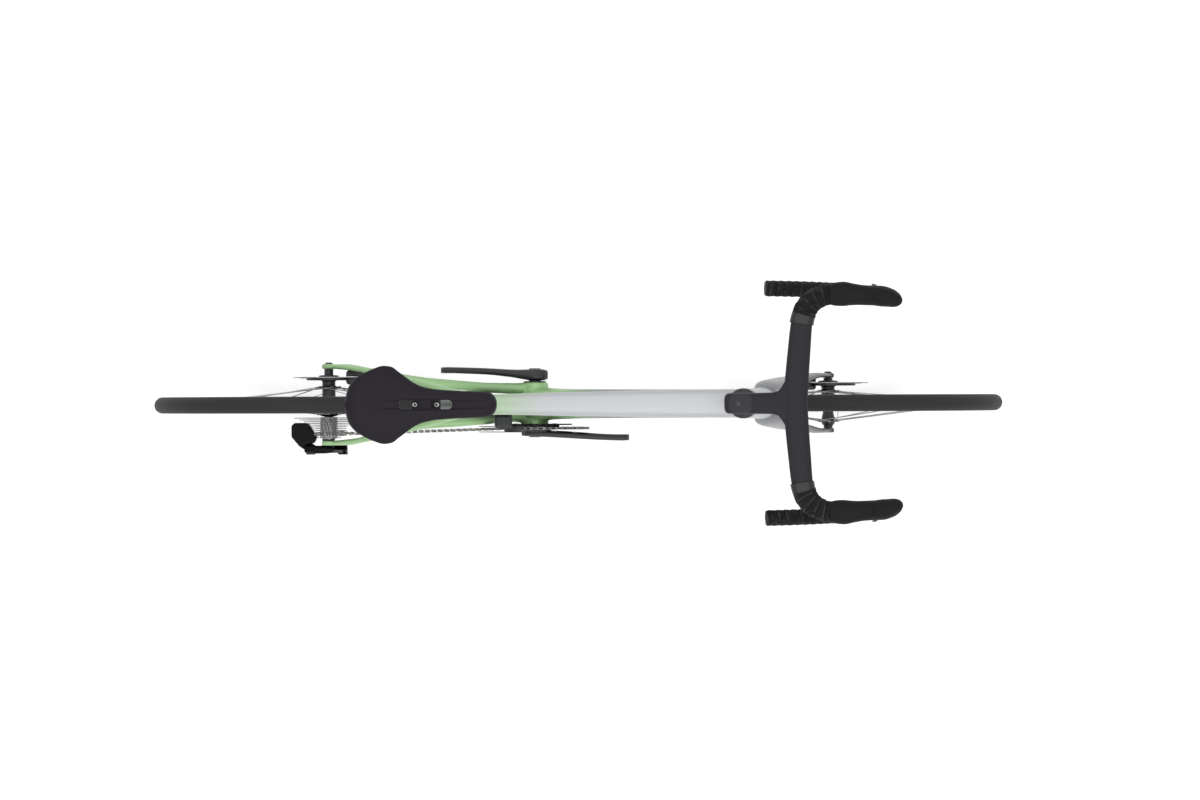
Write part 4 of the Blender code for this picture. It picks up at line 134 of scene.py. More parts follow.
STEM_ROWS = ((-26, 24, 26), (-24, 32, 34), (-19, 38, 39), (0, 39, 40), (28, 39, 38), (60, 40, 31),
             (72, 46, 27), (79, 60, 23), (85, 80, 20), (97, 82, 19))
HOOD_ROWS = ((64, 199.5, 6, 38, 34), (74, 200, 7, 43, 38), (88, 200.5, 9, 45, 40), (106, 199.5, 11, 40, 40),
             (124, 198, 14, 37, 39), (142, 197, 19, 36.5, 42), (158, 195.5, 26, 38, 46),
             (170, 193, 31, 35, 46), (180, 189.5, 35, 30, 41), (189, 187, 37, 21, 28), (194, 186, 37, 8, 12))
LEVER_ROWS = ((0, 2, 6, 11, 10), (0, 2, 0, 13, 13), (10, 3, -14, 14, 7), (7, 6, -34, 13, 5.5),
              (-4, 11, -58, 13, 5), (-16, 17, -80, 14, 5), (-27, 21, -98, 13, 5), (-34, 22, -108, 7, 4))
PADDLE_ROWS = ((4.5, 5, -21, 5, 7), (-4, 7.5, -22, 6, 8), (-11, 12, -25, 6.5, 10), (-17, 19, -32, 6, 14),
               (-22, 25, -46, 5, 15), (-26, 27, -58, 4, 11))
# Openings under each hood: middle from the lever's pivot and size
HOOD_OPENINGS = (((4, 2, -12), (34, 20, 42)), ((-17, 8, -24), (38, 20, 26)))
LEVER_PIVOT_FROM_BAR = (174, 190, 18)

# Saddle
SADDLE_TAIL_X = -419.525 * MM
SADDLE_TOP = 965 * MM
SADDLE_LENGTH = 274
SADDLE_OUTLINE = ((0, 9), (6, 31), (18, 47), (35, 58), (52, 66), (70, 71), (83, 69.5), (96, 60.5),
                  (110, 50), (124, 40), (140, 32.5), (165, 27.5), (200, 25), (240, 23), (262, 21),
                  (270, 15), (274, 6))
SADDLE_SLOTS = ((97, 137), (155, 195))
PAD_HEIGHT = 17 * MM
SADDLE_SHELL = 3 * MM
CHANNEL_WIDTH = 18 * MM
CHANNEL_DEPTH = 3.5 * MM
RAIL_RADIUS = 3.5 * MM
RAIL_DROP = 43 * MM
RAIL_POINTS = ((66, 26, -35), (92, 22, -43), (178, 22, -43), (205, 19, -37))
RAIL_ENDS = ((44, 30), (228, 13), (236, 0))
POST_SIZE = (25, 36)
CLAMP_BOLT_SPACING = 39 * MM

# Wheels
TYRE_WIDTH = 32 * MM
TREAD_GROOVES = ((0.27, 0.33), (0.87, 0.93))
GROOVE_DEPTH = 0.35 * MM
VALVE_ANGLE = radians(100)
RIM_LIP_RADIUS = 317.5 * MM
RIM_DEPTH = 28 * MM
RIM_WIDTH = 25 * MM
SPOKES_PER_SIDE = 10
SPOKE_CROSSING_ANGLE = radians(72.0)
SPOKE_RADIUS = 1.0 * MM
HUBS = {
    "front": (FRONT_AXLE, {1: 22.6 * MM, -1: -35.2 * MM}, 21.3 * MM, 80 * MM, 39.6 * MM, FRONT_HUB_WIDTH),
    "rear": (REAR_AXLE, {1: 34 * MM, -1: -17.5 * MM}, 23.5 * MM, 70 * MM, 54 * MM, REAR_HUB_WIDTH),
}
ROTOR_THICKNESS = 1.8 * MM
ROTOR_TRACK = 15 * MM
ROTOR_SEAT_RADIUS = 16 * MM
HOLE_ROWS = 26

# Drive
CHAIN_PITCH = 12.7 * MM
OUTER_TEETH = 52
INNER_TEETH = 36
COG_TEETH = (11, 12, 13, 14, 15, 16, 17, 19, 21, 24, 28, 33)
COG_IN_USE = 2
COG_PITCH = 3.5 * MM
FIRST_COG_PLANE = 64.8 * MM
COG_IN_USE_PLANE = FIRST_COG_PLANE - COG_IN_USE * COG_PITCH
OUTER_RING_PLANE = 48.5 * MM
INNER_RING_PLANE = 41 * MM
RING_THICKNESS = 2.6 * MM
LINK_PLATE = 0.75 * MM
TOOTH_ROWS = ((-3.4, -0.24), (-3.9, -0.10), (-3.9, 0.10), (-3.4, 0.24), (0.2, 0.36), (1.6, 0.45), (1.6, 0.55),
              (0.2, 0.64))
RING_BORE = 47 * MM
RING_WINDOWS = 8
WINDOW_SHARE = 0.66
SPIDER_RADIUS = 62 * MM
BOLT_CIRCLE = 55 * MM
CRANK_LENGTH = 172.5 * MM
CRANK_FACES = {1: (74.3 * MM, 70 * MM), -1: (73.9 * MM, 65.5 * MM)}
PULLEY_TEETH = 11
PULLEY_SPACING = 86 * MM
CAGE_HALF = 4.3 * MM
FRONT_CAGE_PLANES = (44 * MM, 55 * MM)
GUIDE_PULLEY = REAR_AXLE + Vector((-8 * MM, 0.0, -95 * MM))
CAGE_ANGLE_GUESS = radians(-77.0)
STRAIGHT_LEAD = 45 * MM
RIGHT_ARM = ((-0.1565, 58, 11, 18), (-0.1043, 58, 13, 38), (0, 58.5, 14, 46), (0.1391, 59.5, 14, 40),
             (0.3478, 61.5, 14, 31), (0.5797, 64.2, 13.5, 28), (0.8116, 66.6, 12.8, 26),
             (0.9565, 67.4, 12.8, 30), (1.0435, 67.4, 12.8, 30), (1.0899, 67.4, 12, 10))
LEFT_ARM = ((-0.1507, 58, 16, 16), (-0.1043, 58, 22, 36), (0, 58, 24, 44), (0.1275, 59, 20, 38),
            (0.2899, 61.5, 15.5, 31), (0.5797, 65.6, 13, 28), (0.8116, 67.2, 12.6, 26),
            (0.9565, 68, 12.4, 30), (1.0435, 68, 12.4, 30), (1.0899, 68, 11.5, 10))
FRONT_SHIFT_AXIS = CRANK_CENTRE + Vector((-59 * MM, -36 * MM, 139 * MM))

# Camera and light
PHOTO_CAMERA_HEIGHT = 7.5
PHOTO_CAMERA_PLACE = (0.0426, 0.0073)
PHOTO_CAMERA_LENS = 108.47
PHOTO_CAMERA_ROLL = -0.00397
FLOOR_SIZE = 30.0
WORLD_LIGHT = 0.42
LAMPS = (("key_light", (0.6, -2.6, 4.4), (5.0, 3.2), 66.0, (0.0, 0.0, 0.5)),
         ("fill_light", (-1.0, 3.0, 4.0), (4.0, 2.6), 26.0, (0.0, 0.0, 0.5)),
         ("top_light", (0.0, 0.0, 5.2), (6.0, 4.0), 52.0, (0.0, 0.0, 0.0)))

# Where the paints meet: a point (x, z) and the slope of the line above the down tube, and each fade's reach
PAINT_LINE_POINT = (-0.087, 0.271)
PAINT_LINE_SLOPE = 0.82
UPPER_FADE = (0.05, 0.12)
HEAD_FADE = (0.20, 0.33)
DOWN_TUBE_FADE = (-0.05, 0.07)
FORK_FADE = (0.40, 0.66)
# The tyre's file pattern from its middle line outwards, and the dust on its side walls
PATTERN_START = (4.5 * MM, 6 * MM)
PATTERN_END = (12.5 * MM, 11 * MM)
DUST_RISE = (11 * MM, 15.5 * MM)

# Finishes: colour or the setting that holds it, roughness and the rest of its look
FLOAT, COLOUR = "NodeSocketFloat", "NodeSocketColor"
EDGE_WEAR = (0.52, 0.60)
THIN_RELIEF = (0.05, 0.1 * MM)
METAL_RELIEF = (0.08, 0.1 * MM)
GREY_RELIEF = (0.10, 0.1 * MM)
FINISHES = {
    "satin_black": ((0.0040, 0.0040, 0.0045), 0.34, {
        "grain": (900.0, 0.0), "relief": (0.06, 0.1 * MM), "wear_and_highlight": 0.10, "worn_and_highlight": (0.05, 0.05, 0.053),
        "gleam": 0.06}),
    "gloss_black": ((0.003, 0.003, 0.0035), 0.26, {
        "coat": 0.08, "grain": (400.0, 0.0), "relief": (0.03, 0.1 * MM), "wear_and_highlight": 0.10,
        "worn_and_highlight": (0.05, 0.05, 0.053), "gleam": 0.06}),
    "bar_grey": ("cockpit", 0.50, {
        "variation": 0.2, "grain": (1500.0, 0.0), "relief": GREY_RELIEF, "gleam": 0.12}),
    # On the bar tape the lighter edge colour is a painted highlight: the ridges of its turns are lightened
    # where they would catch the light.
    "tape_cover": ("tape", 0.72, {
        "variation": 0.5, "scale": 60.0, "grain": (650.0, 0.9), "relief": (0.55, 0.35 * MM), "wear_and_highlight": 1.0,
        "worn_and_highlight": (0.055, 0.055, 0.058), "gleam": 0.15, "edge": (0.502, 0.530)}),
    "tape_band": ((0.010, 0.010, 0.011), 0.24, {
        "coat": 0.2, "grain": (500.0, 0.0), "relief": THIN_RELIEF, "gleam": 0.35}),
    "cap_grey": ((0.042, 0.042, 0.048), 0.46, {
        "variation": 0.2, "grain": (1500.0, 0.0), "relief": GREY_RELIEF, "gleam": 0.15}),
    "hood_rubber": ((0.010, 0.010, 0.011), 0.62, {
        "variation": 0.4, "scale": 40.0, "grain": (900.0, 0.7), "relief": (0.40, 0.25 * MM), "gleam": 0.15}),
    "saddle_cover": ("saddle", 0.52, {
        "variation": 0.35, "scale": 35.0, "grain": (1100.0, 0.85), "relief": (0.30, 0.2 * MM),
        "gleam": 0.12}),
    "saddle_trim": ((0.050, 0.047, 0.053), 0.45, {"variation": 0.3, "grain": (800.0, 0.3), "gleam": 0.2}),
    "carbon_rim": ((0.015, 0.015, 0.016), 0.36, {
        "coat": 0.12, "variation": 0.5, "scale": 120.0, "grain": (300.0, 0.5), "relief": THIN_RELIEF,
        "gleam": 0.20}),
    "steel": ((0.42, 0.42, 0.43), 0.30, {
        "metallic": 1.0, "variation": 0.3, "scale": 60.0, "grain": (700.0, 0.0), "relief": METAL_RELIEF,
        "wear_and_highlight": 0.3, "worn_and_highlight": (0.7, 0.7, 0.71)}),
    "clamp_alloy": ((0.035, 0.034, 0.036), 0.40, {
        "metallic": 0.3, "variation": 0.3, "grain": (700.0, 0.0), "relief": METAL_RELIEF, "gleam": 0.20}),
    "spoke_steel": ((0.30, 0.30, 0.31), 0.32, {
        "metallic": 1.0, "variation": 0.4, "scale": 80.0, "grain": (700.0, 0.0), "relief": THIN_RELIEF}),
    "dark_metal": ((0.050, 0.050, 0.054), 0.34, {
        "metallic": 1.0, "variation": 0.3, "scale": 60.0, "grain": (700.0, 0.0), "relief": METAL_RELIEF,
        "wear_and_highlight": 0.2, "worn_and_highlight": (0.2, 0.2, 0.21)}),
    "chain_steel": ((0.17, 0.165, 0.16), 0.36, {
        "metallic": 1.0, "variation": 0.6, "scale": 150.0, "grain": (600.0, 0.0), "relief": GREY_RELIEF,
        "wear_and_highlight": 0.4, "worn_and_highlight": (0.4, 0.4, 0.4)}),
}


# Settings that a user would change
def paint_setting(name, description, colour):
    return FloatVectorProperty(name=name, description=description, subtype="COLOR", default=colour, min=0.0,
                               max=1.0)


def length_setting(name, description, length, **limits):
    return FloatProperty(name=name, description=description, subtype="DISTANCE", unit="LENGTH",
                         default=length, **limits)


class BikePaints(bpy.types.PropertyGroup):
    """Colours of the road bike's finishes."""
    green: paint_setting("Green", "Pearl green of the frame's rear half", (0.420, 0.685, 0.330))
    silver: paint_setting("Silver", "Pearl silver of the top and head tubes", (0.620, 0.630, 0.655))
    dark: paint_setting("Dark grey", "Grey of the down tube's middle", (0.170, 0.172, 0.180))
    crown: paint_setting("Fork crown", "Grey of the fork's crown", (0.360, 0.365, 0.375))
    tips: paint_setting("Fork tips", "Dark grey of the fork's tips", (0.060, 0.061, 0.064))
    cockpit: paint_setting("Cockpit", "Matte grey of the bar and stem", (0.031, 0.031, 0.036))
    saddle: paint_setting("Saddle", "Cover of the saddle", (0.021, 0.0175, 0.0235))
    tape: paint_setting("Bar tape", "Cover of the drops", (0.009, 0.009, 0.010))


class BikeSizes(bpy.types.PropertyGroup):
    """Sizes of the road bike's finer forms."""
    tape_pitch: length_setting("Tape pitch", "Distance from one turn of tape to the next", 14.5 * MM,
                               min=5 * MM, max=30 * MM)
    tape_ridge: length_setting("Tape ridge", "Height of each turn's edge", 1.1 * MM, min=0.0, max=2 * MM)
    frame_grid: length_setting("Frame grid", "Size of the faces that blend the frame's joints", 2.2 * MM,
                               min=1 * MM, max=5 * MM)
    tyre_steps: IntProperty(name="Tyre steps", description="Faces round each tyre", default=240, min=64,
                            max=512)
    fade_start: length_setting("Fade start", "Where green starts to fade on the top tube", -205 * MM)
    fade_end: length_setting("Fade end", "Where silver is full on the top tube", -52 * MM)


# Places
def mix(start, end, share):
    return start + (end - start) * share


def limit(share):
    """A share kept between 0 and 1."""
    return min(1.0, max(0.0, share))


def mm(x, y, z):
    return Vector((x, y, z)) * MM


def heading_to(angle):
    """A direction in the bike's plane."""
    return Vector((cos(angle), 0.0, sin(angle)))


def around(centre, radius, angle):
    """A point round a centre in the bike's plane, as (x, z)."""
    return (centre.x + radius * cos(angle), centre.z + radius * sin(angle))


def arc(start, end, pieces):
    """Angles from one to the other, both included."""
    return [mix(start, end, i / pieces) for i in range(pieces + 1)]


def turns(count, start=0.0):
    """Angles spread evenly round a whole turn."""
    return [start + 2 * pi * i / count for i in range(count)]


def steer(height, forward=0.0, side=0.0):
    """A point by its height along the steering axis and its distance ahead of it."""
    return STEER_FOOT + STEER_UP * height + STEER_FORWARD * forward + AXIS_Y * side


def seat(height, forward=0.0):
    """A point by its height along the seat tube's axis."""
    return CRANK_CENTRE + SEAT_UP * height + SEAT_FORWARD * forward


STEM_POINT = steer(STEM_SEAT)
BAR_CENTRE = STEM_POINT + Vector((STEM_REACH, 0.0, STEM_RISE))
STEM_SLOPE = atan2(STEM_RISE, STEM_REACH)
STEM_ALONG = heading_to(STEM_SLOPE)
STEM_UP = heading_to(STEM_SLOPE + pi / 2)
DOWN_TUBE_START = steer(HEAD_BOTTOM + DOWN_TUBE_HEIGHT)
CLAMP_CENTRE = CRANK_CENTRE + SEAT_UP * ((SADDLE_TOP - RAIL_DROP - CRANK_CENTRE.z) / SEAT_UP.z)


# Curves through rows of numbers
def slopes(values, places):
    """Slope at each row that keeps the curve from running past its rows."""
    steps = [(b - a) / (q - p) for a, b, p, q in zip(values, values[1:], places, places[1:])]
    result = [steps[0]]
    for before, after in zip(steps, steps[1:]):
        result.append(2 * before * after / (before + after) if before * after > 0 else 0.0)
    return result + [steps[-1]]


def hermite(start, end, leave, arrive, t):
    rise = t * t * (3 - 2 * t)
    return start + (end - start) * rise + leave * t * (1 - t) ** 2 - arrive * t * t * (1 - t)


def smooth_rows(rows, step=6 * MM, pieces=None):
    """Rows on a smooth curve through the given ones, about a step apart or in so many pieces."""
    rows = [tuple(row) for row in rows]
    places = [0.0]
    for near, far in zip(rows, rows[1:]):
        places.append(places[-1] + max((Vector(far[:3]) - Vector(near[:3])).length, MERGE_DISTANCE))
    columns = [[row[k] for row in rows] for k in range(len(rows[0]))]
    tangents = [slopes(column, places) for column in columns]
    result = []
    for i in range(len(rows) - 1):
        span = places[i + 1] - places[i]
        count = pieces or max(1, ceil(span / step))
        for j in range(count):
            result.append(tuple(
                hermite(column[i], column[i + 1], tangent[i] * span, tangent[i + 1] * span, j / count)
                for column, tangent in zip(columns, tangents)))
    result.append(rows[-1])
    return result


def oval(centre, side, up, width, height, power, count):
    """Points of a rounded section: power 2 is an ellipse, a higher one is squarer."""
    points = []
    for angle in turns(count, pi / count):
        across, along = cos(angle), sin(angle)
        a = copysign(abs(across) ** (2 / power), across) * width / 2
        b = copysign(abs(along) ** (2 / power), along) * height / 2
        points.append(centre + side * a + up * b)
    return points


def sections(rows, side, power=2.2, count=TUBE_SIDES, first_tangent=None):
    """Sections along a path of (x, y, z, width, height) rows."""
    points = [Vector(row[:3]) for row in rows]
    rings = []
    for i, row in enumerate(rows):
        tangent = (points[min(i + 1, len(points) - 1)] - points[max(i - 1, 0)]).normalized()
        if i == 0 and first_tangent:
            tangent = first_tangent
        side = (side - tangent * side.dot(tangent)).normalized()
        rings.append(oval(points[i], side, tangent.cross(side), row[3], row[4], power, count))
    return rings


def row_at(place, width, height):
    """A row from a place and a width and height in millimetres."""
    return (*place, width * MM, height * MM)


def profile(rows, radius=0.0, along=0.0):
    """Points to turn, from (radius, distance along) rows in millimetres past the given ones."""
    return [(radius + out * MM, along + way * MM) for out, way in rows]


# Shapes added to a mesh in the making
def add_loft(shape, rings, closed=False):
    loops = [[shape.verts.new(point) for point in ring] for ring in rings]
    ahead = loops[1:] + loops[:1] if closed else loops[1:]
    for near, far in zip(loops, ahead):
        for i in range(len(near)):
            j = (i + 1) % len(near)
            shape.faces.new((near[i], near[j], far[j], far[i]))
    if not closed:
        shape.faces.new(loops[0][::-1])
        shape.faces.new(loops[-1])


def add_sweep(shape, rows, side=AXIS_Y, power=2.2, count=TUBE_SIDES, step=6 * MM):
    add_loft(shape, sections(smooth_rows(rows, step), side, power, count))


def add_turned(shape, rows, place, axis, steps=48, closed=False):
    """A form turned about an axis, from (radius, distance along) points."""
    across = axis.orthogonal().normalized()
    other = axis.cross(across)
    loops = []
    for radius, along in rows:
        middle = place + axis * along
        if radius < MERGE_DISTANCE:
            loops.append([shape.verts.new(middle)])
            continue
        loops.append([shape.verts.new(middle + (across * cos(angle) + other * sin(angle)) * radius)
                      for angle in turns(steps)])
    ahead = loops[1:] + loops[:1] if closed else loops[1:]
    for near, far in zip(loops, ahead):
        for i in range(steps):
            j = (i + 1) % steps
            corners = (near[i % len(near)], near[j % len(near)], far[j % len(far)], far[i % len(far)])
            corners = list(dict.fromkeys(corners))
            if len(corners) > 2:
                shape.faces.new(corners)


def add_rod(shape, start, end, radius, sides=16, edge=0.0):
    """A round bar between two points, with an optional chamfer."""
    length = (end - start).length
    corners = [(radius - edge, 0.0), (radius, edge), (radius, length - edge), (radius - edge, length)]
    if not edge:
        corners = corners[1:3]
    add_turned(shape, [(0.0, 0.0), *corners, (0.0, length)], start, (end - start).normalized(), sides)


def add_bolt(shape, place, axis, radius, height):
    """A socket head bolt: a round head with chamfered edge and a hexagonal recess."""
    socket = radius * 0.55
    add_turned(shape, [(socket, height), (radius * 0.85, height), (radius, height * 0.75), (radius, 0.0),
                       (0.0, 0.0)], place, axis, 24)
    add_turned(shape, [(socket, height), (socket, height * 0.35), (0.0, height * 0.35)], place, axis, 24)


def add_tube(shape, points, radius, sides=14, step=4 * MM, closed=False):
    rows = smooth_rows([(*point, 2 * radius, 2 * radius) for point in points], step)
    rings = sections(rows, AXIS_Z if abs(points[1][2] - points[0][2]) < 0.02 else AXIS_Y, 2.0, sides)
    add_loft(shape, rings[:-1] if closed else rings, closed)


def add_block(shape, centre, size, turn=(0.0, 0.0, 0.0)):
    matrix = Matrix.Translation(centre) @ Euler(turn).to_matrix().to_4x4() @ Matrix.Diagonal((*size, 1.0))
    bmesh.ops.create_cube(shape, size=1.0, matrix=matrix)


def add_plate(shape, outlines, thickness, plane, edge=0.25 * MM):
    """A flat plate in the bike's plane from (x, z) outlines, with broken edges; the rest are holes."""
    curve = bpy.data.curves.new("outline", "CURVE")
    curve.dimensions = "2D"
    curve.fill_mode = "BOTH"
    curve.extrude = thickness / 2 - edge
    curve.bevel_depth = edge
    curve.bevel_resolution = 0
    curve.offset = -edge
    for outline in outlines:
        spline = curve.splines.new("POLY")
        spline.points.add(len(outline) - 1)
        for point, (x, z) in zip(spline.points, outline):
            point.co = (x, z, 0.0, 1.0)
        spline.use_cyclic_u = True
    item = link(bpy.data.objects.new("outline", curve))
    mesh = final_mesh(item)
    mesh.transform(Matrix.Translation((0.0, plane, 0.0)) @ Matrix.Rotation(pi / 2, 4, "X"))
    shape.from_mesh(mesh)
    bpy.data.objects.remove(item)
    bpy.data.meshes.remove(mesh)


def circle(centre, radius, count):
    """Points of a circle in the bike's plane, as (x, z)."""
    return [around(centre, radius, angle) for angle in turns(count)]


def arc_band(centre, inner, outer, start, end, pieces=10):
    """A band round a centre, as an (x, z) outline."""
    angles = arc(start, end, pieces)
    rows = [(outer, angle) for angle in angles] + [(inner, angle) for angle in angles[::-1]]
    return [around(centre, radius, angle) for radius, angle in rows]


def arc_slot(centre, inner, outer, start, end, pieces=10):
    """A band round a centre with round ends, as an (x, z) outline."""
    middle, half = (inner + outer) / 2, (outer - inner) / 2
    points = []
    for first, last, reach in ((start, end, outer), (end, start, inner)):
        points += [around(centre, reach, angle) for angle in arc(first, last, pieces)]
        cap = centre + heading_to(last) * middle
        outward = last if last > first else last + pi
        points += [around(cap, half, angle) for angle in arc(outward, outward + pi, 6)[1:-1]]
    return points


# Objects
def link(item):
    bpy.context.scene.collection.objects.link(item)
    return item


def final_mesh(item):
    """The mesh that an object shows, with its modifiers done."""
    bpy.context.view_layer.update()
    graph = bpy.context.evaluated_depsgraph_get()
    return bpy.data.meshes.new_from_object(item.evaluated_get(graph))


def apply_modifiers(item):
    mesh = final_mesh(item)
    item.modifiers.clear()
    item.data = mesh
    return item


def piece(name, build):
    """An object from a function that adds shapes to an empty mesh."""
    shape = bmesh.new()
    build(shape)
    bmesh.ops.remove_doubles(shape, verts=shape.verts, dist=MERGE_DISTANCE)
    bmesh.ops.recalc_face_normals(shape, faces=shape.faces)
    mesh = bpy.data.meshes.new(name)
    shape.to_mesh(mesh)
    shape.free()
    return link(bpy.data.objects.new(name, mesh))


def moulded(item, grid, passes):
    """Blend overlapping forms into one skin with soft joints, as a mould gives."""
    remesh = item.modifiers.new("skin", "REMESH")
    remesh.mode = "VOXEL"
    remesh.voxel_size = grid
    remesh.adaptivity = 0.0
    if passes:
        soften = item.modifiers.new("soften", "SMOOTH")
        soften.factor = 0.5
        soften.iterations = passes
    return apply_modifiers(item)


def from_node(node, name, grid, passes):
    """A moulded copy of a CAD node."""
    item = link(bpy.data.objects.new(name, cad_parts[node].data.copy()))
    return moulded(item, grid, passes)


def cut_with(item, build):
    """Take shapes out of an object."""
    cutter = piece("cutter", build)
    cut = item.modifiers.new("cut", "BOOLEAN")
    cut.operation = "DIFFERENCE"
    cut.solver = "EXACT"
    cut.object = cutter
    apply_modifiers(item)
    bpy.data.objects.remove(cutter)
    return item


def show(item, body, finish, *nodes, angle=35, slot=None):
    """Give a piece its finish and let it ride on its body in place of its CAD nodes."""
    mesh = item.data
    mesh.materials.clear()
    mesh.materials.append(bpy.data.materials[finish])
    mesh.polygons.foreach_set("use_smooth", [True] * len(mesh.polygons))
    mesh.set_sharp_from_angle(angle=radians(angle))
    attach(item, body)
    if nodes:
        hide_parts(*nodes)
    return item


def make(name, build, body, finish, *nodes, **settings):
    """A piece from its build function, shown at once."""
    return show(piece(name, build), body, finish, *nodes, **settings)


def dress_node(node, finish):
    """Give a CAD node whose shape is right its finish."""
    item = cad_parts[node]
    item.data.materials.clear()
    item.data.materials.append(bpy.data.materials[finish])


# Effects shared by the finishes
def feed(tree, sockets, inputs):
    """Give each named socket its value, or link it to the socket that has it."""
    for key, value in inputs.items():
        if isinstance(value, bpy.types.NodeSocket):
            tree.links.new(value, sockets[key])
        else:
            sockets[key].default_value = value


def add_node(tree, kind, inputs=None, **settings):
    node = tree.nodes.new(kind)
    for key, value in settings.items():
        setattr(node, key, value)
    feed(tree, node.inputs, inputs or {})
    return node


def calculate(tree, operation, *values, clamp=False):
    node = add_node(tree, "ShaderNodeMath", dict(enumerate(values)), operation=operation, use_clamp=clamp)
    return node.outputs[0]


def plus(tree, first, second, clamp=False):
    return calculate(tree, "ADD", first, second, clamp=clamp)


def minus(tree, first, second):
    return calculate(tree, "SUBTRACT", first, second)


def times(tree, first, second, clamp=False):
    return calculate(tree, "MULTIPLY", first, second, clamp=clamp)


def mix_colours(tree, share, first, second):
    return add_node(tree, "ShaderNodeMix", {0: share, 6: first, 7: second}, data_type="RGBA").outputs[2]


def ramp(tree, value, low, high):
    """0 below the low value, 1 above the high one and a smooth rise between."""
    node = add_node(tree, "ShaderNodeMapRange", {"Value": value, "From Min": low, "From Max": high},
                    interpolation_type="SMOOTHSTEP")
    return node.outputs["Result"]


def place_on(tree):
    """The place on the object."""
    return add_node(tree, "ShaderNodeTexCoord").outputs["Object"]


def axes_of(tree):
    axes = add_node(tree, "ShaderNodeSeparateXYZ", {0: place_on(tree)})
    return [axes.outputs[name] for name in "XYZ"]


def noise(tree, scale, detail, roughness=0.5):
    node = add_node(tree, "ShaderNodeTexNoise", {"Vector": place_on(tree), "Scale": scale, "Detail": detail,
                                                 "Roughness": roughness})
    return node.outputs["Fac"]


def swing(tree, cloud, amount):
    """Noise made to swing about zero."""
    return times(tree, minus(tree, cloud, 0.5), amount)


def seen_directly(tree):
    """1 for the camera and for what mirrors and glass show, 0 for light on the object."""
    rays = add_node(tree, "ShaderNodeLightPath").outputs
    seen = calculate(tree, "MAXIMUM", rays["Is Camera Ray"], rays["Is Glossy Ray"])
    return calculate(tree, "MAXIMUM", seen, rays["Is Transmission Ray"])


def new_group(name, inputs, outputs):
    tree = bpy.data.node_groups.new(name, "ShaderNodeTree")
    for label, kind, default in inputs:
        socket = tree.interface.new_socket(label, in_out="INPUT", socket_type=kind)
        socket.default_value = default
    for label, kind in outputs:
        tree.interface.new_socket(label, in_out="OUTPUT", socket_type=kind)
    return tree, tree.nodes.new("NodeGroupInput").outputs, tree.nodes.new("NodeGroupOutput").inputs


def make_tone_group():
    """Colour and roughness that drift a little over the surface."""
    tree, given, result = new_group("surface_tone", (
        ("Colour", COLOUR, (0.5, 0.5, 0.5, 1.0)), ("Variation", FLOAT, 0.1), ("Scale", FLOAT, 20.0),
        ("Roughness", FLOAT, 0.5)), (("Colour", COLOUR), ("Roughness", FLOAT)))
    drift = swing(tree, noise(tree, given["Scale"], 5.0, 0.6), given["Variation"])
    scaled = add_node(tree, "ShaderNodeVectorMath", operation="SCALE")
    feed(tree, scaled.inputs, {0: given["Colour"], "Scale": plus(tree, drift, 1.0)})
    rough = plus(tree, given["Roughness"], times(tree, drift, 0.5), clamp=True)
    feed(tree, result, {"Colour": scaled.outputs[0], "Roughness": rough})


def make_grain_group():
    """Height of fine grain, with cells from leather or rubber and a smoother noise."""
    tree, given, result = new_group("fine_grain", (
        ("Scale", FLOAT, 400.0), ("Cells", FLOAT, 0.5)), (("Height", FLOAT),))
    cells = add_node(tree, "ShaderNodeTexVoronoi", {"Vector": place_on(tree), "Scale": given["Scale"]},
                     feature="DISTANCE_TO_EDGE")
    cell_height = times(tree, ramp(tree, cells.outputs["Distance"], 0.0, 0.12), given["Cells"])
    soft_height = times(tree, noise(tree, given["Scale"], 3.0), minus(tree, 1.0, given["Cells"]))
    feed(tree, result, {"Height": plus(tree, cell_height, soft_height)})


def make_wear_and_highlight_group():
    """Mask of lighter pointy edges, broken up by noise: rubbed wear, and painted highlights on the bar tape's
    ridges.
    """
    low, high = EDGE_WEAR
    tree, given, result = new_group(
        "edge_wear_and_highlight", (("Amount", FLOAT, 0.3), ("Low", FLOAT, low), ("High", FLOAT, high)), (("Mask", FLOAT),))
    shape = add_node(tree, "ShaderNodeNewGeometry")
    edge = ramp(tree, shape.outputs["Pointiness"], given["Low"], given["High"])
    worn_and_highlight = times(tree, edge, ramp(tree, noise(tree, 90.0, 4.0), 0.35, 0.65))
    feed(tree, result, {"Mask": times(tree, worn_and_highlight, given["Amount"], clamp=True)})


def make_brushed_group():
    """Height of marks that run round an axle, from noise stretched along the turning."""
    tree, given, result = new_group("turned_marks", (
        ("Centre X", FLOAT, 0.0), ("Centre Z", FLOAT, 0.0), ("Scale", FLOAT, 2500.0)), (("Height", FLOAT),))
    along, _, up = axes_of(tree)
    x, z = minus(tree, along, given["Centre X"]), minus(tree, up, given["Centre Z"])
    radius = calculate(tree, "SQRT", plus(tree, times(tree, x, x), times(tree, z, z)))
    marks = add_node(tree, "ShaderNodeTexNoise", noise_dimensions="1D")
    feed(tree, marks.inputs, {"W": times(tree, radius, given["Scale"]), "Scale": 1.0, "Detail": 2.0})
    feed(tree, result, {"Height": marks.outputs["Fac"]})


def group_node(tree, name, **inputs):
    """A shared effect with its inputs, and its outputs."""
    labels = {word.replace("_", " "): value for word, value in inputs.items()}
    return add_node(tree, "ShaderNodeGroup", labels, node_tree=bpy.data.node_groups[name]).outputs


def new_finish(name):
    """A material's tree with its surface shader and its output."""
    material = bpy.data.materials.new(name)
    material.use_nodes = True
    tree = material.node_tree
    tree.nodes.clear()
    shader = add_node(tree, "ShaderNodeBsdfPrincipled")
    add_node(tree, "ShaderNodeOutputMaterial", {"Surface": shader.outputs[0]})
    return tree, shader


def bump(tree, shader, height, strength, distance):
    node = add_node(tree, "ShaderNodeBump", {"Height": height, "Strength": strength, "Distance": distance})
    feed(tree, shader.inputs, {"Normal": node.outputs["Normal"]})


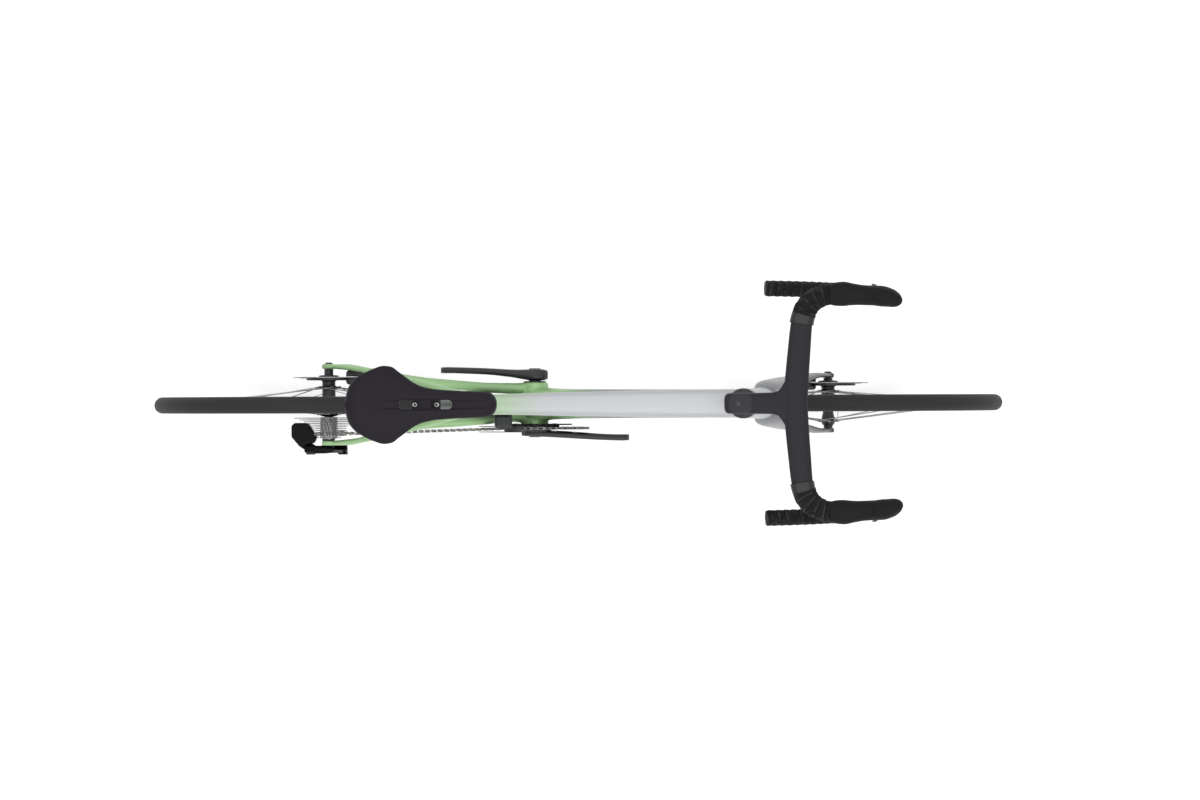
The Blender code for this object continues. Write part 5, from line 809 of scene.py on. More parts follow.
def make_finish(name, colour, roughness, metallic=0.0, coat=0.0, variation=0.25, scale=25.0,
                grain=(500.0, 0.3), relief=(0.15, 0.2 * MM), wear_and_highlight=0.0, worn_and_highlight=(0.30, 0.30, 0.31),
                gleam=0.5, edge=EDGE_WEAR):
    """A finish with drifting tone, fine grain and lighter edges, which are rubbed wear on most finishes and a
    painted highlight on the bar tape.
    """
    tree, shader = new_finish(name)
    tone = group_node(tree, "surface_tone", Colour=(*colour, 1.0), Variation=variation, Scale=scale,
                      Roughness=roughness)
    base = tone["Colour"]
    # Lighter colour on pointy edges: rubbed wear, and on the bar tape a painted highlight on its ridges.
    if wear_and_highlight:
        mask = group_node(tree, "edge_wear_and_highlight", Amount=wear_and_highlight, Low=edge[0], High=edge[1])["Mask"]
        base = mix_colours(tree, mask, base, (*worn_and_highlight, 1.0))
    feed(tree, shader.inputs, {
        "Base Color": base, "Roughness": tone["Roughness"], "Metallic": metallic, "Coat Weight": coat,
        "Coat Roughness": 0.08, "Specular IOR Level": gleam})
    bump(tree, shader, group_node(tree, "fine_grain", Scale=grain[0], Cells=grain[1])["Height"], *relief)


def make_turned_metal(name, colour, roughness, centre, wear_and_highlight=0.3):
    """Metal with marks from turning round an axle."""
    tree, shader = new_finish(name)
    tone = group_node(tree, "surface_tone", Colour=(*colour, 1.0), Variation=0.15, Scale=40.0,
                      Roughness=roughness)
    mask = group_node(tree, "edge_wear_and_highlight", Amount=wear_and_highlight)["Mask"]
    base = mix_colours(tree, mask, tone["Colour"], (0.6, 0.6, 0.61, 1.0))
    feed(tree, shader.inputs, {"Base Color": base, "Roughness": tone["Roughness"], "Metallic": 1.0})
    marks = group_node(tree, "turned_marks", Centre_X=centre.x, Centre_Z=centre.z)
    bump(tree, shader, marks["Height"], 0.2, 0.1 * MM)


def pearl(tree, shader, colour):
    """Clear coat over paint with fine metal flakes."""
    flakes = add_node(tree, "ShaderNodeTexVoronoi", {"Vector": place_on(tree), "Scale": 2200.0})
    spark = times(tree, ramp(tree, flakes.outputs["Distance"], 0.35, 0.05), 0.10)
    feed(tree, shader.inputs, {
        "Base Color": mix_colours(tree, spark, colour, (0.9, 0.9, 0.9, 1.0)),
        "Roughness": plus(tree, 0.38, times(tree, noise(tree, 14.0, 4.0), 0.10)),
        "Metallic": 0.15, "Specular IOR Level": 0.20, "Coat Weight": 0.25, "Coat Roughness": 0.16})
    orange_peel = group_node(tree, "fine_grain", Scale=160.0, Cells=0.0)["Height"]
    bump(tree, shader, orange_peel, 0.03, 0.3 * MM)


def make_frame_paint(paints, sizes):
    """Green at the back that fades to silver on the top tube and to grey on the down tube."""
    tree, shader = new_finish("frame_paint")
    x, _, z = axes_of(tree)
    along = plus(tree, x, swing(tree, noise(tree, 9.0, 2.0), 0.05))
    point_x, point_z = PAINT_LINE_POINT
    line = plus(tree, times(tree, plus(tree, x, -point_x), PAINT_LINE_SLOPE), point_z)
    upper = ramp(tree, minus(tree, z, line), *UPPER_FADE)
    light = calculate(tree, "MAXIMUM", upper, ramp(tree, x, *HEAD_FADE))
    other = mix_colours(tree, light, (*paints.dark, 1.0), (*paints.silver, 1.0))
    top_fade = times(tree, ramp(tree, along, sizes.fade_start, sizes.fade_end), upper)
    low_fade = times(tree, ramp(tree, along, *DOWN_TUBE_FADE), minus(tree, 1.0, upper))
    fade = plus(tree, top_fade, low_fade)
    pearl(tree, shader, mix_colours(tree, fade, (*paints.green, 1.0), other))


def make_fork_paint(paints):
    """Grey at the crown that darkens down the legs."""
    tree, shader = new_finish("fork_paint")
    height = plus(tree, axes_of(tree)[2], swing(tree, noise(tree, 9.0, 2.0), 0.06))
    share = ramp(tree, height, *FORK_FADE)
    pearl(tree, shader, mix_colours(tree, share, (*paints.tips, 1.0), (*paints.crown, 1.0)))


def make_tyre_rubber():
    """Matte tread with a fine file pattern on the shoulders and smoother side walls."""
    tree, shader = new_finish("tyre_rubber")
    tone = group_node(tree, "surface_tone", Colour=(0.009, 0.009, 0.0097, 1.0), Variation=0.5, Scale=30.0,
                      Roughness=0.78)
    side = calculate(tree, "ABSOLUTE", axes_of(tree)[1])
    wave = add_node(tree, "ShaderNodeTexWave", bands_direction="DIAGONAL")
    feed(tree, wave.inputs, {"Vector": place_on(tree), "Scale": 160.0, "Distortion": 0.0})
    band = times(tree, ramp(tree, side, *PATTERN_START), ramp(tree, side, *PATTERN_END))
    dust = times(tree, ramp(tree, side, *DUST_RISE), 0.5)
    feed(tree, shader.inputs, {
        "Base Color": mix_colours(tree, dust, tone["Colour"], (0.020, 0.019, 0.019, 1.0)),
        "Roughness": tone["Roughness"], "Specular IOR Level": 0.12})
    grain = group_node(tree, "fine_grain", Scale=700.0, Cells=0.2)["Height"]
    pattern = times(tree, times(tree, wave.outputs["Fac"], band), 0.8)
    bump(tree, shader, plus(tree, pattern, times(tree, grain, 0.3)), 0.5, 0.3 * MM)


def make_finishes(paints, sizes):
    for make_group in (make_tone_group, make_grain_group, make_wear_and_highlight_group, make_brushed_group):
        make_group()
    make_frame_paint(paints, sizes)
    make_fork_paint(paints)
    make_tyre_rubber()
    for name, (colour, roughness, look) in FINISHES.items():
        if isinstance(colour, str):
            colour = getattr(paints, colour)
        make_finish(name, colour, roughness, **look)
    for word, (place, *_) in HUBS.items():
        make_turned_metal(f"{word}_rotor_steel", (0.26, 0.26, 0.27), 0.34, place)
    make_turned_metal("cog_steel", (0.27, 0.27, 0.28), 0.30, REAR_AXLE)
    make_turned_metal("ring_alloy", (0.030, 0.030, 0.033), 0.36, CRANK_CENTRE, 0.0)


# Frame
def tube_rows(start, end, rows, side=0):
    """A tube's rows from (share, width, height), or (share, offset to the side, width, height)."""
    return [row_at(mix(start, end, share) + AXIS_Y * side * sum(offset) * MM, width, height)
            for share, *offset, width, height in rows]


def build_front_triangle(shape):
    head = ((HEAD_BOTTOM, 60, 66), (mix(HEAD_BOTTOM, HEAD_TOP, 0.5), 56, 62), (HEAD_TOP, 56, 58))
    add_sweep(shape, [row_at(steer(height), width, depth) for height, width, depth in head])
    add_sweep(shape, tube_rows(steer(HEAD_TOP - 32 * MM), seat(SEAT_TUBE_LENGTH - 20 * MM), TOP_TUBE_ROWS),
              power=2.6)
    add_sweep(shape, tube_rows(DOWN_TUBE_START, CRANK_CENTRE, DOWN_TUBE_ROWS), power=2.6)
    add_sweep(shape, [row_at(seat(height * MM), width, depth) for height, width, depth in SEAT_TUBE_ROWS],
              power=2.4)
    half = AXIS_Y * SHELL_WIDTH / 2
    add_rod(shape, CRANK_CENTRE - half, CRANK_CENTRE + half, SHELL_RADIUS, 48, 3 * MM)


def add_axle_end(shape, axle, side, hub_width, thickness, radius):
    """The round end of a stay or fork leg at an axle."""
    inner = axle + AXIS_Y * side * hub_width / 2
    add_rod(shape, inner, inner + AXIS_Y * side * thickness, radius, 40, 0.8 * MM)


def build_rear_triangle(shape):
    top = seat(SEAT_TUBE_LENGTH - 95 * MM, -10 * MM)
    foot = REAR_AXLE + mm(14, 0, 6)
    middle = REAR_HUB_WIDTH / 2 + DROPOUT_THICKNESS / 2
    for side in SIDES:
        rows = tube_rows(CRANK_CENTRE, REAR_AXLE, CHAINSTAY_STATIONS[side], side)
        rows.append((*(REAR_AXLE + AXIS_Y * side * middle), DROPOUT_THICKNESS, 1.6 * DROPOUT_RADIUS))
        add_sweep(shape, rows, power=2.4)
        add_sweep(shape, tube_rows(top, foot, SEATSTAY_STATIONS, side))
        add_axle_end(shape, REAR_AXLE, side, REAR_HUB_WIDTH, DROPOUT_THICKNESS, DROPOUT_RADIUS)
    drop = Vector((-HANGER_SETBACK, 0.0, -HANGER_DROP))
    stations = ((Vector(), 20), (drop, 18), (drop + drop.normalized() * 8 * MM, 10))
    hanger = [row_at(REAR_AXLE + reach - AXIS_Y * middle, 7, depth) for reach, depth in stations]
    add_sweep(shape, hanger, power=4.0, step=3 * MM)


def build_frame(shape):
    build_front_triangle(shape)
    build_rear_triangle(shape)


def bottle_bolts():
    """Places and outward directions of the bottle cage bolts."""
    down = (CRANK_CENTRE - DOWN_TUBE_START).normalized()
    outward = Vector((down.z, 0.0, -down.x))
    rows = []
    for height in BOTTLE_BOLT_HEIGHTS:
        rows.append((CRANK_CENTRE - down * height + outward * DOWN_BOLT_REACH, outward))
        rows.append((seat(height, SEAT_BOLT_REACH), SEAT_FORWARD))
    return rows


def build_frame_bolts(shape):
    boss = profile(((0, 2.5), (4.6, 2.5), (5, 2), (5, -2), (0, -2)))
    for place, outward in bottle_bolts():
        add_turned(shape, boss, place, outward, 24)
        add_bolt(shape, place + outward * 2 * MM, outward, 4 * MM, 1.6 * MM)
    washer = profile(((6.2, 0.4), (9, 0.4), (9.4, 0), (9.4, -2), (6.2, -2)))
    for side in SIDES:
        tip = REAR_AXLE + AXIS_Y * side * (REAR_HUB_WIDTH / 2 + DROPOUT_THICKNESS)
        add_turned(shape, washer, tip, AXIS_Y * side, 40, closed=True)


def build_bracket(shape):
    """Both bearing cups with the sleeve between them."""
    half = SHELL_WIDTH / 2 + GAP
    cup = profile(((22, 2), (22.5, 1.5), (22.5, 0), (20.5, 0), (20.5, -12), (15.7, -12)), 0.0, half)
    right_cup = [(radius, -along) for radius, along in cup[::-1]]
    bore = [(12.7 * MM, -half - 2 * MM), (12.7 * MM, half + 2 * MM)]
    add_turned(shape, cup + right_cup + bore, CRANK_CENTRE, AXIS_Y, 48, closed=True)


def build_collar(shape):
    """The seatpost's collar with its bolt."""
    stations = ((-1.0, 1.0), (0.5, 1.6), (2.0, 1.2), (3.2, -2.0))
    rows = [row_at(seat(SEAT_TUBE_LENGTH + height * MM), 34 + grow, 46 + grow) for height, grow in stations]
    add_sweep(shape, rows, power=2.4, step=MM)
    add_bolt(shape, seat(SEAT_TUBE_LENGTH - 7 * MM, -22.5 * MM), -SEAT_FORWARD, 3.5 * MM, 2 * MM)


def make_frame_pieces(sizes):
    shell = moulded(piece("frame_shell", build_frame), sizes.frame_grid, 4)
    show(shell, "frame", "frame_paint", "front_triangle", "chainstay_left", "chainstay_right",
         "seatstay_left", "seatstay_right", angle=60)
    make("frame_bolts", build_frame_bolts, "frame", "dark_metal")
    make("bracket_cups", build_bracket, "frame", "satin_black", "bottom_bracket")
    make("seat_collar", build_collar, "frame", "satin_black")


def build_fork(shape):
    rows = [row_at(steer(CROWN_TOP + height * MM, forward * MM, side * MM), depth, thick)
            for side, height, forward, depth, thick in FORK_STATIONS]
    tip_side = FRONT_HUB_WIDTH / 2 + FORK_TIP_THICKNESS / 2
    rows.append(row_at(steer(60 * MM, FORK_OFFSET - 4 * MM, tip_side), 25, FORK_TIP_THICKNESS / MM))
    rows.append(row_at(FRONT_AXLE + AXIS_Y * tip_side, 20, FORK_TIP_THICKNESS / MM))
    rings = sections(smooth_rows(rows), STEER_FORWARD, 2.3, TUBE_SIDES, AXIS_Y)
    for side in SIDES:
        add_loft(shape, mirrored(rings, side))
        add_axle_end(shape, FRONT_AXLE, side, FRONT_HUB_WIDTH, FORK_TIP_THICKNESS, 12 * MM)
    steerer = [(0.0, STEM_SEAT), (14 * MM, STEM_SEAT), (14 * MM, HEAD_TOP - 40 * MM),
               (19 * MM, HEAD_BOTTOM + 30 * MM)]
    race = profile(((19, 0), (26, 0), (27, -4), (26, -14), (0, -14)), 0.0, CROWN_TOP)
    add_turned(shape, steerer + race, STEER_FOOT, STEER_UP, 48)


def make_fork_piece():
    fork = moulded(piece("fork_shell", build_fork), 1.8 * MM, 4)
    show(fork, "steering", "fork_paint", "fork", angle=60)


# Cockpit
def bar_rows(extra=0.0):
    return [(BAR_CENTRE.x + forward * MM, across * MM, BAR_CENTRE.z + up * MM, thick * MM + 2 * extra,
             depth * MM + 2 * extra) for forward, across, up, thick, depth in BAR_STATIONS]


def mirrored(rings, side):
    return [[Vector((p.x, side * p.y, p.z)) for p in ring] for ring in rings]


def build_bar(shape):
    rings = sections(smooth_rows(bar_rows()), AXIS_Z, 2.3, TUBE_SIDES, AXIS_Y)
    for side in SIDES:
        add_loft(shape, mirrored(rings, side))
    rows = [row_at(STEM_POINT + STEM_ALONG * along * MM, width, height) for along, width, height in STEM_ROWS]
    add_sweep(shape, rows, power=3.2, step=4 * MM)


def cap_outline(half_length, half_width):
    """The stem cap's outline: straight sides with a bowed end at the back and at the front."""
    return [(bow * (half_length - CAP_BOW + CAP_BOW * cos(angle)), bow * half_width * sin(angle))
            for bow in (1, -1) for angle in arc(-pi / 2, pi / 2, 16)]


def make_cap_layer(name, finish, steps, *nodes):
    """A layer of the stem cap, from (shrink, height) steps in millimetres."""
    def build(shape):
        middle = STEM_POINT + STEM_ALONG * 4 * MM
        rings = []
        for shrink, height in steps:
            outline = cap_outline((STEM_CAP_LENGTH / 2 - shrink) * MM, (STEM_CAP_WIDTH / 2 - shrink) * MM)
            rings.append([middle + STEM_ALONG * a + AXIS_Y * b + STEM_UP * height * MM for a, b in outline])
        add_loft(shape, rings)
    make(name, build, "steering", finish, *nodes, angle=40)


def build_cover(shape):
    """The headset's cover with its spacer and the part in the head tube."""
    tilt = pi / 2 - HEAD_ANGLE - STEM_SLOPE
    top = STEM_SEAT - STEM_HEIGHT / 2 - HEAD_TOP - COVER_RADIUS * tan(tilt) - GAP
    bore, inset, edge = 14.6 * MM, COVER_RADIUS - 4 * MM, COVER_RADIUS - MM
    rows = [(bore, top), (inset, top), (edge, top - 2 * MM), (COVER_RADIUS, top - 4 * MM),
            (COVER_RADIUS, 2 * MM), (edge, GAP), (inset, GAP), (inset, -7 * MM), (bore, -7 * MM)]
    add_turned(shape, rows, steer(HEAD_TOP), STEER_UP, 64, closed=True)


def make_cockpit():
    bar = moulded(piece("bar_and_stem", build_bar), 1.6 * MM, 5)
    show(bar, "steering", "bar_grey", "handlebar", angle=60)
    make_cap_layer("stem_cap_plate", "cap_grey",
                   ((1.6, 17.1), (0.9, 17.6), (0.9, 19.4), (1.4, 20.0), (2.2, 20.2)), "stem_cap")
    make_cap_layer("stem_cap_gasket", "satin_black", ((0.4, 17.1), (-0.3, 17.6), (-0.3, 18.6), (0.0, 18.9)))
    make("stem_cap_bolt", lambda shape: add_bolt(
        shape, STEM_POINT + STEM_UP * 19.8 * MM, STEM_UP, 4 * MM, 1.2 * MM), "steering", "dark_metal")
    make("headset_cover", build_cover, "steering", "satin_black", "headset_upper_cover")


def tape_height(turn):
    """Height of a wound turn's face, from its lower edge to the edge that laps the next."""
    share = turn % 1.0
    return share / TAPE_LAP if share < TAPE_LAP else (1.0 - share) / (1 - TAPE_LAP)


def wound_rings(sizes):
    """Rings of the wound tape on the left half of the bar, and the middles of all the bar's rings."""
    rows = smooth_rows(bar_rows(TAPE_THICKNESS), 1.2 * MM)
    rings = sections(rows, AXIS_Z, 2.3, 40, AXIS_Y)
    centres = [Vector(row[:3]) for row in rows]
    distances = [0.0]
    for near, far in zip(centres, centres[1:]):
        distances.append(distances[-1] + (far - near).length)
    first = next(i for i, row in enumerate(rows) if row[1] >= TAPE_START * MM)
    wound = []
    for ring, centre, distance in list(zip(rings, centres, distances))[first:]:
        ridge = sizes.tape_ridge if centre.y > (TAPE_START + BAND_WIDTH - 1) * MM else 0.0
        turns_on = [distance / sizes.tape_pitch + i / len(ring) for i in range(len(ring))]
        wound.append([point + (point - centre).normalized() * (tape_height(turn) * ridge)
                      for point, turn in zip(ring, turns_on)])
    return wound, centres


def build_tape_band(shape, side):
    """The band that closes the tape beside the stem."""
    rows = [row for row in smooth_rows(bar_rows(TAPE_THICKNESS + 0.5 * MM), 2 * MM)
            if (TAPE_START - 1) * MM <= row[1] <= (TAPE_START + BAND_WIDTH) * MM]
    add_loft(shape, mirrored(sections(rows, AXIS_Z, 2.3, 40), side))


def make_tape_pieces(sizes):
    wound, centres = wound_rings(sizes)
    end, way = centres[-1], centres[-1] - centres[-3]
    plug = profile(((0, 3.6), (5, 3.6), (5.6, 3), (11, 3), (13, 2.4), (14, 1.2), (14, 0.3), (0, 0.3)))
    for side, word in SIDES.items():
        make(f"wound_tape_{word}", lambda shape: add_loft(shape, mirrored(wound, side)),
             "steering", "tape_cover", f"bar_tape_{word}", angle=70)
        make(f"tape_band_{word}", lambda shape: build_tape_band(shape, side),
             "steering", "tape_band", angle=60)
        place, outward = mirrored([(end, way)], side)[0]
        make(f"bar_end_{word}", lambda shape: add_turned(shape, plug, place, outward.normalized(), 40),
             "steering", "satin_black", f"bar_plug_{word}")


def cockpit_rows(rows, side, origin):
    return [(*(origin + mm(x, side * y, z)), width * MM, height * MM) for x, y, z, width, height in rows]


def make_blade(name, rows, side, pivot, finish, node, step):
    def build(shape):
        add_sweep(shape, cockpit_rows(rows, side, pivot), power=2.6, count=28, step=step)
    make(name, build, node, finish, node, angle=60)


def make_controls():
    for side, word in SIDES.items():
        hood = piece(f"rubber_hood_{word}", lambda shape: add_sweep(
            shape, cockpit_rows(HOOD_ROWS, side, BAR_CENTRE), power=2.4, count=44, step=2.5 * MM))
        x, y, z = LEVER_PIVOT_FROM_BAR
        pivot = BAR_CENTRE + mm(x, side * y, z)
        for (x, y, z), size in HOOD_OPENINGS:
            middle = pivot + mm(x, side * y, z)
            cut_with(hood, lambda shape: add_block(shape, middle, mm(*size)))
        show(hood, "steering", "hood_rubber", f"hood_{word}", angle=50)
        pin = AXIS_Y * side * MM
        make(f"lever_pin_{word}",
             lambda shape: add_rod(shape, pivot - pin * 10, pivot + pin * 14, 2.5 * MM, 20),
             "steering", "steel")
        make_blade(f"lever_blade_{word}", LEVER_ROWS, side, pivot, "gloss_black", f"brake_lever_{word}",
                   3 * MM)
        make_blade(f"paddle_blade_{word}", PADDLE_ROWS, side, pivot, "satin_black", f"shift_paddle_{word}",
                   2 * MM)


# Saddle
def saddle_x(distance):
    return SADDLE_TAIL_X + distance * MM


def saddle_top(distance):
    """Height of the saddle's middle line, with its dips at the tail, waist and nose."""
    share = distance / SADDLE_LENGTH
    tail_dip = 9 * MM * max(0.0, 1 - share / 0.08) ** 2
    waist = 4 * MM * sin(pi * limit((share - 0.1) / 0.8))
    nose_dip = 12 * MM * max(0.0, (share - 0.88) / 0.12) ** 2
    return SADDLE_TOP - tail_dip - waist - nose_dip


def saddle_droop(half):
    return 6 * MM + half * 0.16


def saddle_underside(distance, half, across):
    return saddle_top(distance) - PAD_HEIGHT - saddle_droop(half) * 0.35 * (across / half) ** 2


def pad_section(distance, half):
    """Half of the pad's section, from the channel's middle round the edge to the underside."""
    x, top, droop = saddle_x(distance), saddle_top(distance), saddle_droop(half)
    channel = min(CHANNEL_WIDTH / 2, half * 0.42)
    depth = CHANNEL_DEPTH * limit((distance - 45) / 40) * limit((268 - distance) / 20)
    rows = [(0.0, top - depth), (channel * 0.6, top - depth), (channel, top - 0.15 * depth),
            (0.62 * half, top - 0.20 * droop), (0.86 * half, top - 0.52 * droop), (half, top - droop),
            (0.985 * half, top - droop - 7 * MM)]
    rows += [(share * half, saddle_underside(distance, half, share * half)) for share in (0.9, 0.45, 0.0)]
    return smooth_rows([(x, side, height) for side, height in rows], pieces=4)


def shell_section(distance, half):
    """Half of the base shell's section, just under the pad."""
    upper = [(saddle_x(distance), share * half, saddle_underside(distance, half, share * half) - GAP)
             for share in (0.0, 0.42, 0.84)]
    return upper + [(x, side, height - SADDLE_SHELL) for x, side, height in upper[::-1]]


def saddle_half(distance):
    """Half the saddle's width at a distance from its tail."""
    for (start, low), (end, high) in zip(SADDLE_OUTLINE, SADDLE_OUTLINE[1:]):
        if distance <= end:
            return mix(low, high, (distance - start) / (end - start)) * MM
    return SADDLE_OUTLINE[-1][1] * MM


def across_plane(points):
    """The same points on the bike's other side, in the opposite order."""
    return [(x, -y, z) for x, y, z in points[::-1]]


def add_half_loft(shape, rings):
    """A loft of open half sections with its mirror image across the bike's middle plane."""
    add_loft(shape, [[Vector(point) for point in ring + across_plane(ring)[1:-1]] for ring in rings])


def add_capsule(shape, start, end, radius, low, high):
    """An upright capsule between two distances from the saddle's tail."""
    outline = [(middle + radius * cos(angle), radius * sin(angle))
               for middle, first in ((saddle_x(end) - radius, -pi / 2), (saddle_x(start) + radius, pi / 2))
               for angle in arc(first, first + pi, 16)]
    add_loft(shape, [[Vector((x, y, SADDLE_TOP + z)) for x, y in outline] for z in (low, high)])


def add_saddle_slots(shape):
    for start, end in SADDLE_SLOTS:
        add_capsule(shape, start, end, CHANNEL_WIDTH / 2 - 0.5 * MM, -70 * MM, 10 * MM)


def add_saddle_recess(shape):
    """The step down round both slots."""
    start, end = SADDLE_SLOTS[0][0] - 2, SADDLE_SLOTS[-1][1] + 2
    add_capsule(shape, start, end, CHANNEL_WIDTH / 2 + 1.5 * MM, -9.5 * MM, 10 * MM)


def build_rails(shape):
    middle = [(saddle_x(x), side * MM, SADDLE_TOP + z * MM) for x, side, z in RAIL_POINTS]
    ends = [(saddle_x(distance), side * MM, saddle_underside(distance, saddle_half(distance), side * MM)
             - SADDLE_SHELL - 2 * GAP - RAIL_RADIUS) for distance, side in RAIL_ENDS]
    half_path = [ends[0]] + middle + ends[1:]
    add_tube(shape, half_path + across_plane(half_path)[1:], RAIL_RADIUS, 18, 3 * MM)


def build_post(shape):
    top = (CLAMP_CENTRE - CRANK_CENTRE).length - 12 * MM
    rows = [row_at(seat(height), POST_SIZE[0] + wider, POST_SIZE[1] + 2 * wider) for height, wider in (
        (SEAT_TUBE_LENGTH - 150 * MM, 0), (top - 40 * MM, 0), (top, 2))]
    add_sweep(shape, rows, power=2.4)
    add_block(shape, CLAMP_CENTRE - AXIS_Z * (RAIL_RADIUS + GAP + 6 * MM),
              (CLAMP_BOLT_SPACING + 14 * MM, 51 * MM, 12 * MM))


def build_clamp_bolts(shape):
    top = CLAMP_CENTRE + AXIS_Z * (RAIL_RADIUS + GAP + 8.4 * MM)
    for side in SIDES:
        add_bolt(shape, top + AXIS_X * side * CLAMP_BOLT_SPACING / 2, AXIS_Z, 4.6 * MM, 1.2 * MM)


def make_saddle_pieces():
    outline = smooth_rows([(distance, half, 0.0) for distance, half in SADDLE_OUTLINE], pieces=5)
    rows = [(row[0], max(row[1], 4.0) * MM) for row in outline]
    pad = piece("saddle_cushion", lambda shape: add_half_loft(shape, [pad_section(*row) for row in rows]))
    cut_with(pad, add_saddle_slots)
    cut_with(pad, add_saddle_recess)
    show(pad, "seat", "saddle_cover", "saddle_pad", angle=50)
    inner = [row for row in rows if 6 <= row[0] <= 270]
    shell = piece("saddle_base", lambda shape: add_half_loft(shape, [shell_section(*row) for row in inner]))
    cut_with(shell, add_saddle_slots)
    show(shell, "seat", "satin_black", "saddle_shell", angle=50)
    edge = [(saddle_x(distance), half * 0.985, saddle_top(distance) - saddle_droop(half) - 6.5 * MM)
            for distance, half in rows]
    make("saddle_edge_trim", lambda shape: add_tube(shape, edge + across_plane(edge), 0.9 * MM, 8, 3 * MM),
         "seat", "saddle_trim", angle=60)
    make("rail_wire", build_rails, "seat", "steel", "saddle_rails", angle=60)
    post = moulded(piece("post_tube", build_post), 1.5 * MM, 4)
    show(post, "seat", "satin_black", "seatpost", angle=60)
    make("clamp_bolts", build_clamp_bolts, "seat", "steel")
    jaw = from_node("saddle_clamp", "clamp_jaw", 0.8 * MM, 3)
    show(jaw, "seat", "clamp_alloy", "saddle_clamp", angle=50)


# Wheels
def make_tyre_piece(word, place, steps):
    radius, inner = TYRE_WIDTH / 2, TYRE_WIDTH / 2 - 2.6 * MM
    centre = TYRE_RADIUS - radius
    end, low = [acos((RIM_LIP_RADIUS + GAP - centre) / reach) for reach in (radius, inner)]
    rows = []
    for angle in arc(end, -end, 40):
        grooved = any(place_in <= abs(angle) <= place_out for place_in, place_out in TREAD_GROOVES)
        shown = radius - (GROOVE_DEPTH if grooved else 0.0)
        rows.append((centre + shown * cos(angle), shown * sin(angle)))
    rows += [(centre + inner * cos(angle), inner * sin(angle)) for angle in arc(-low, low, 8)]
    make(f"{word}_tyre_case", lambda shape: add_turned(shape, rows, place, AXIS_Y, steps, closed=True),
         f"{word}_wheel", "tyre_rubber", f"{word}_tyre", angle=50)


def make_rim_piece(word, place, steps):
    half, low = RIM_WIDTH / 2, RIM_LIP_RADIUS - RIM_DEPTH
    outer = profile(((0, -3), (0, -0.6), (-0.8, 0), (-6, 0.2)), RIM_LIP_RADIUS, half)
    outer += profile(((14, -1.6), (7, -4.6), (2.2, -8.6)), low, half) + [(low, 2.2 * MM)]
    rows = outer + [(radius, -side) for radius, side in outer[::-1]]
    make(f"{word}_rim_hoop", lambda shape: add_turned(shape, rows, place, AXIS_Y, steps, closed=True),
         f"{word}_wheel", "carbon_rim", f"{word}_rim", angle=40)

    def build_valve(shape):
        out = heading_to(VALVE_ANGLE)
        foot = place + out * (low + MM)
        stem = ((0, 0), (3, 0), (3, 24), (2.4, 25), (2.4, 34), (1.2, 36), (1.2, 40), (0, 40.5))
        add_turned(shape, profile(stem), foot, -out, 16)
        add_turned(shape, profile(((3, 0.4), (5.4, 0.4), (5.4, 3), (3, 3.4))), foot, -out, 24, closed=True)
    make(f"{word}_valve", build_valve, f"{word}_wheel", "dark_metal")


def add_spoke(shape, start, end):
    """A round spoke with its nipple at the rim and its head at the flange."""
    way = (end - start).normalized()
    add_rod(shape, start - way * 1.5 * MM, end, SPOKE_RADIUS, 8)
    nipple = profile(((0, 0), (1.6, 0), (1.9, 1), (1.9, 12), (0, 12)))
    add_turned(shape, nipple, end - way * 12 * MM, way, 10)
    add_rod(shape, start - way * 3 * MM, start - way * 0.5 * MM, 2 * MM, 10)


def make_spoke_piece(word, place, side, flange_side, flange_radius):
    phase = 0.0 if side > 0 else pi / SPOKES_PER_SIDE
    count = SPOKES_PER_SIDE // 2
    inner, outer = flange_radius - MM, RIM_LIP_RADIUS - RIM_DEPTH + 0.8 * MM

    def build(shape):
        for lean, first in ((1, phase), (-1, phase + pi / count)):
            for angle in turns(count, first):
                start = place + heading_to(angle) * inner + AXIS_Y * (flange_side + side * lean * 1.1 * MM)
                way = heading_to(angle + lean * SPOKE_CROSSING_ANGLE)
                add_spoke(shape, start, place + way * outer + AXIS_Y * side * 2 * MM)
    word_side = SIDES[side]
    make(f"{word}_spoke_set_{word_side}", build, f"{word}_wheel", "spoke_steel", f"{word}_spokes_{word_side}")


def flange_profile(side, radius, root):
    """The hub's outline over one flange, with rounded rim."""
    base = root + 1.5 * MM
    return [(root, side + 4 * MM), (base, side + 2.6 * MM),
            *profile(((-1, 2), (0, 1.2), (0, -1.2), (-1, -2)), radius, side),
            (base, side - 2.6 * MM), (root, side - 4 * MM)]


def rotor_seat_profile(plane):
    ring, bore, half = ROTOR_SEAT_RADIUS + 3 * MM, ROTOR_SEAT_RADIUS, ROTOR_THICKNESS / 2 + GAP
    return profile(((-1, 3), (0, 2), (0, 0)), ring, plane + half) + [
        (bore, plane + half), (bore, plane - half), (ring, plane - half), (ring, plane - half - 3 * MM)]


def make_hub_piece(word, place, flanges, flange_radius, rotor_plane, width):
    end, bore = width / 2 - GAP, 6.6 * MM
    rows = [(bore, end), (9 * MM, end), (9 * MM, rotor_plane + 5 * MM)] + rotor_seat_profile(rotor_plane)
    rows += [(13 * MM, rotor_plane - 8 * MM)] + flange_profile(flanges[1], flange_radius, 13 * MM)
    if word == "front":
        rows += profile(((10.5, 8), (10, -6), (10.5, -20)))
        rows += flange_profile(flanges[-1], flange_radius, 13 * MM)
        rows += profile(((12, 7), (9, 5), (9, 0)), 0.0, -end)
    else:
        rows += profile(((13.5, 12), (14.5, -6))) + flange_profile(flanges[-1], flange_radius, 17 * MM)
        rows += [(8 * MM, -24 * MM), (8 * MM, -end)]
    rows.append((bore, -end))
    make(f"{word}_hub_shell", lambda shape: add_turned(shape, rows, place, AXIS_Y, 64, closed=True),
         f"{word}_wheel", "satin_black", f"{word}_hub", angle=30)


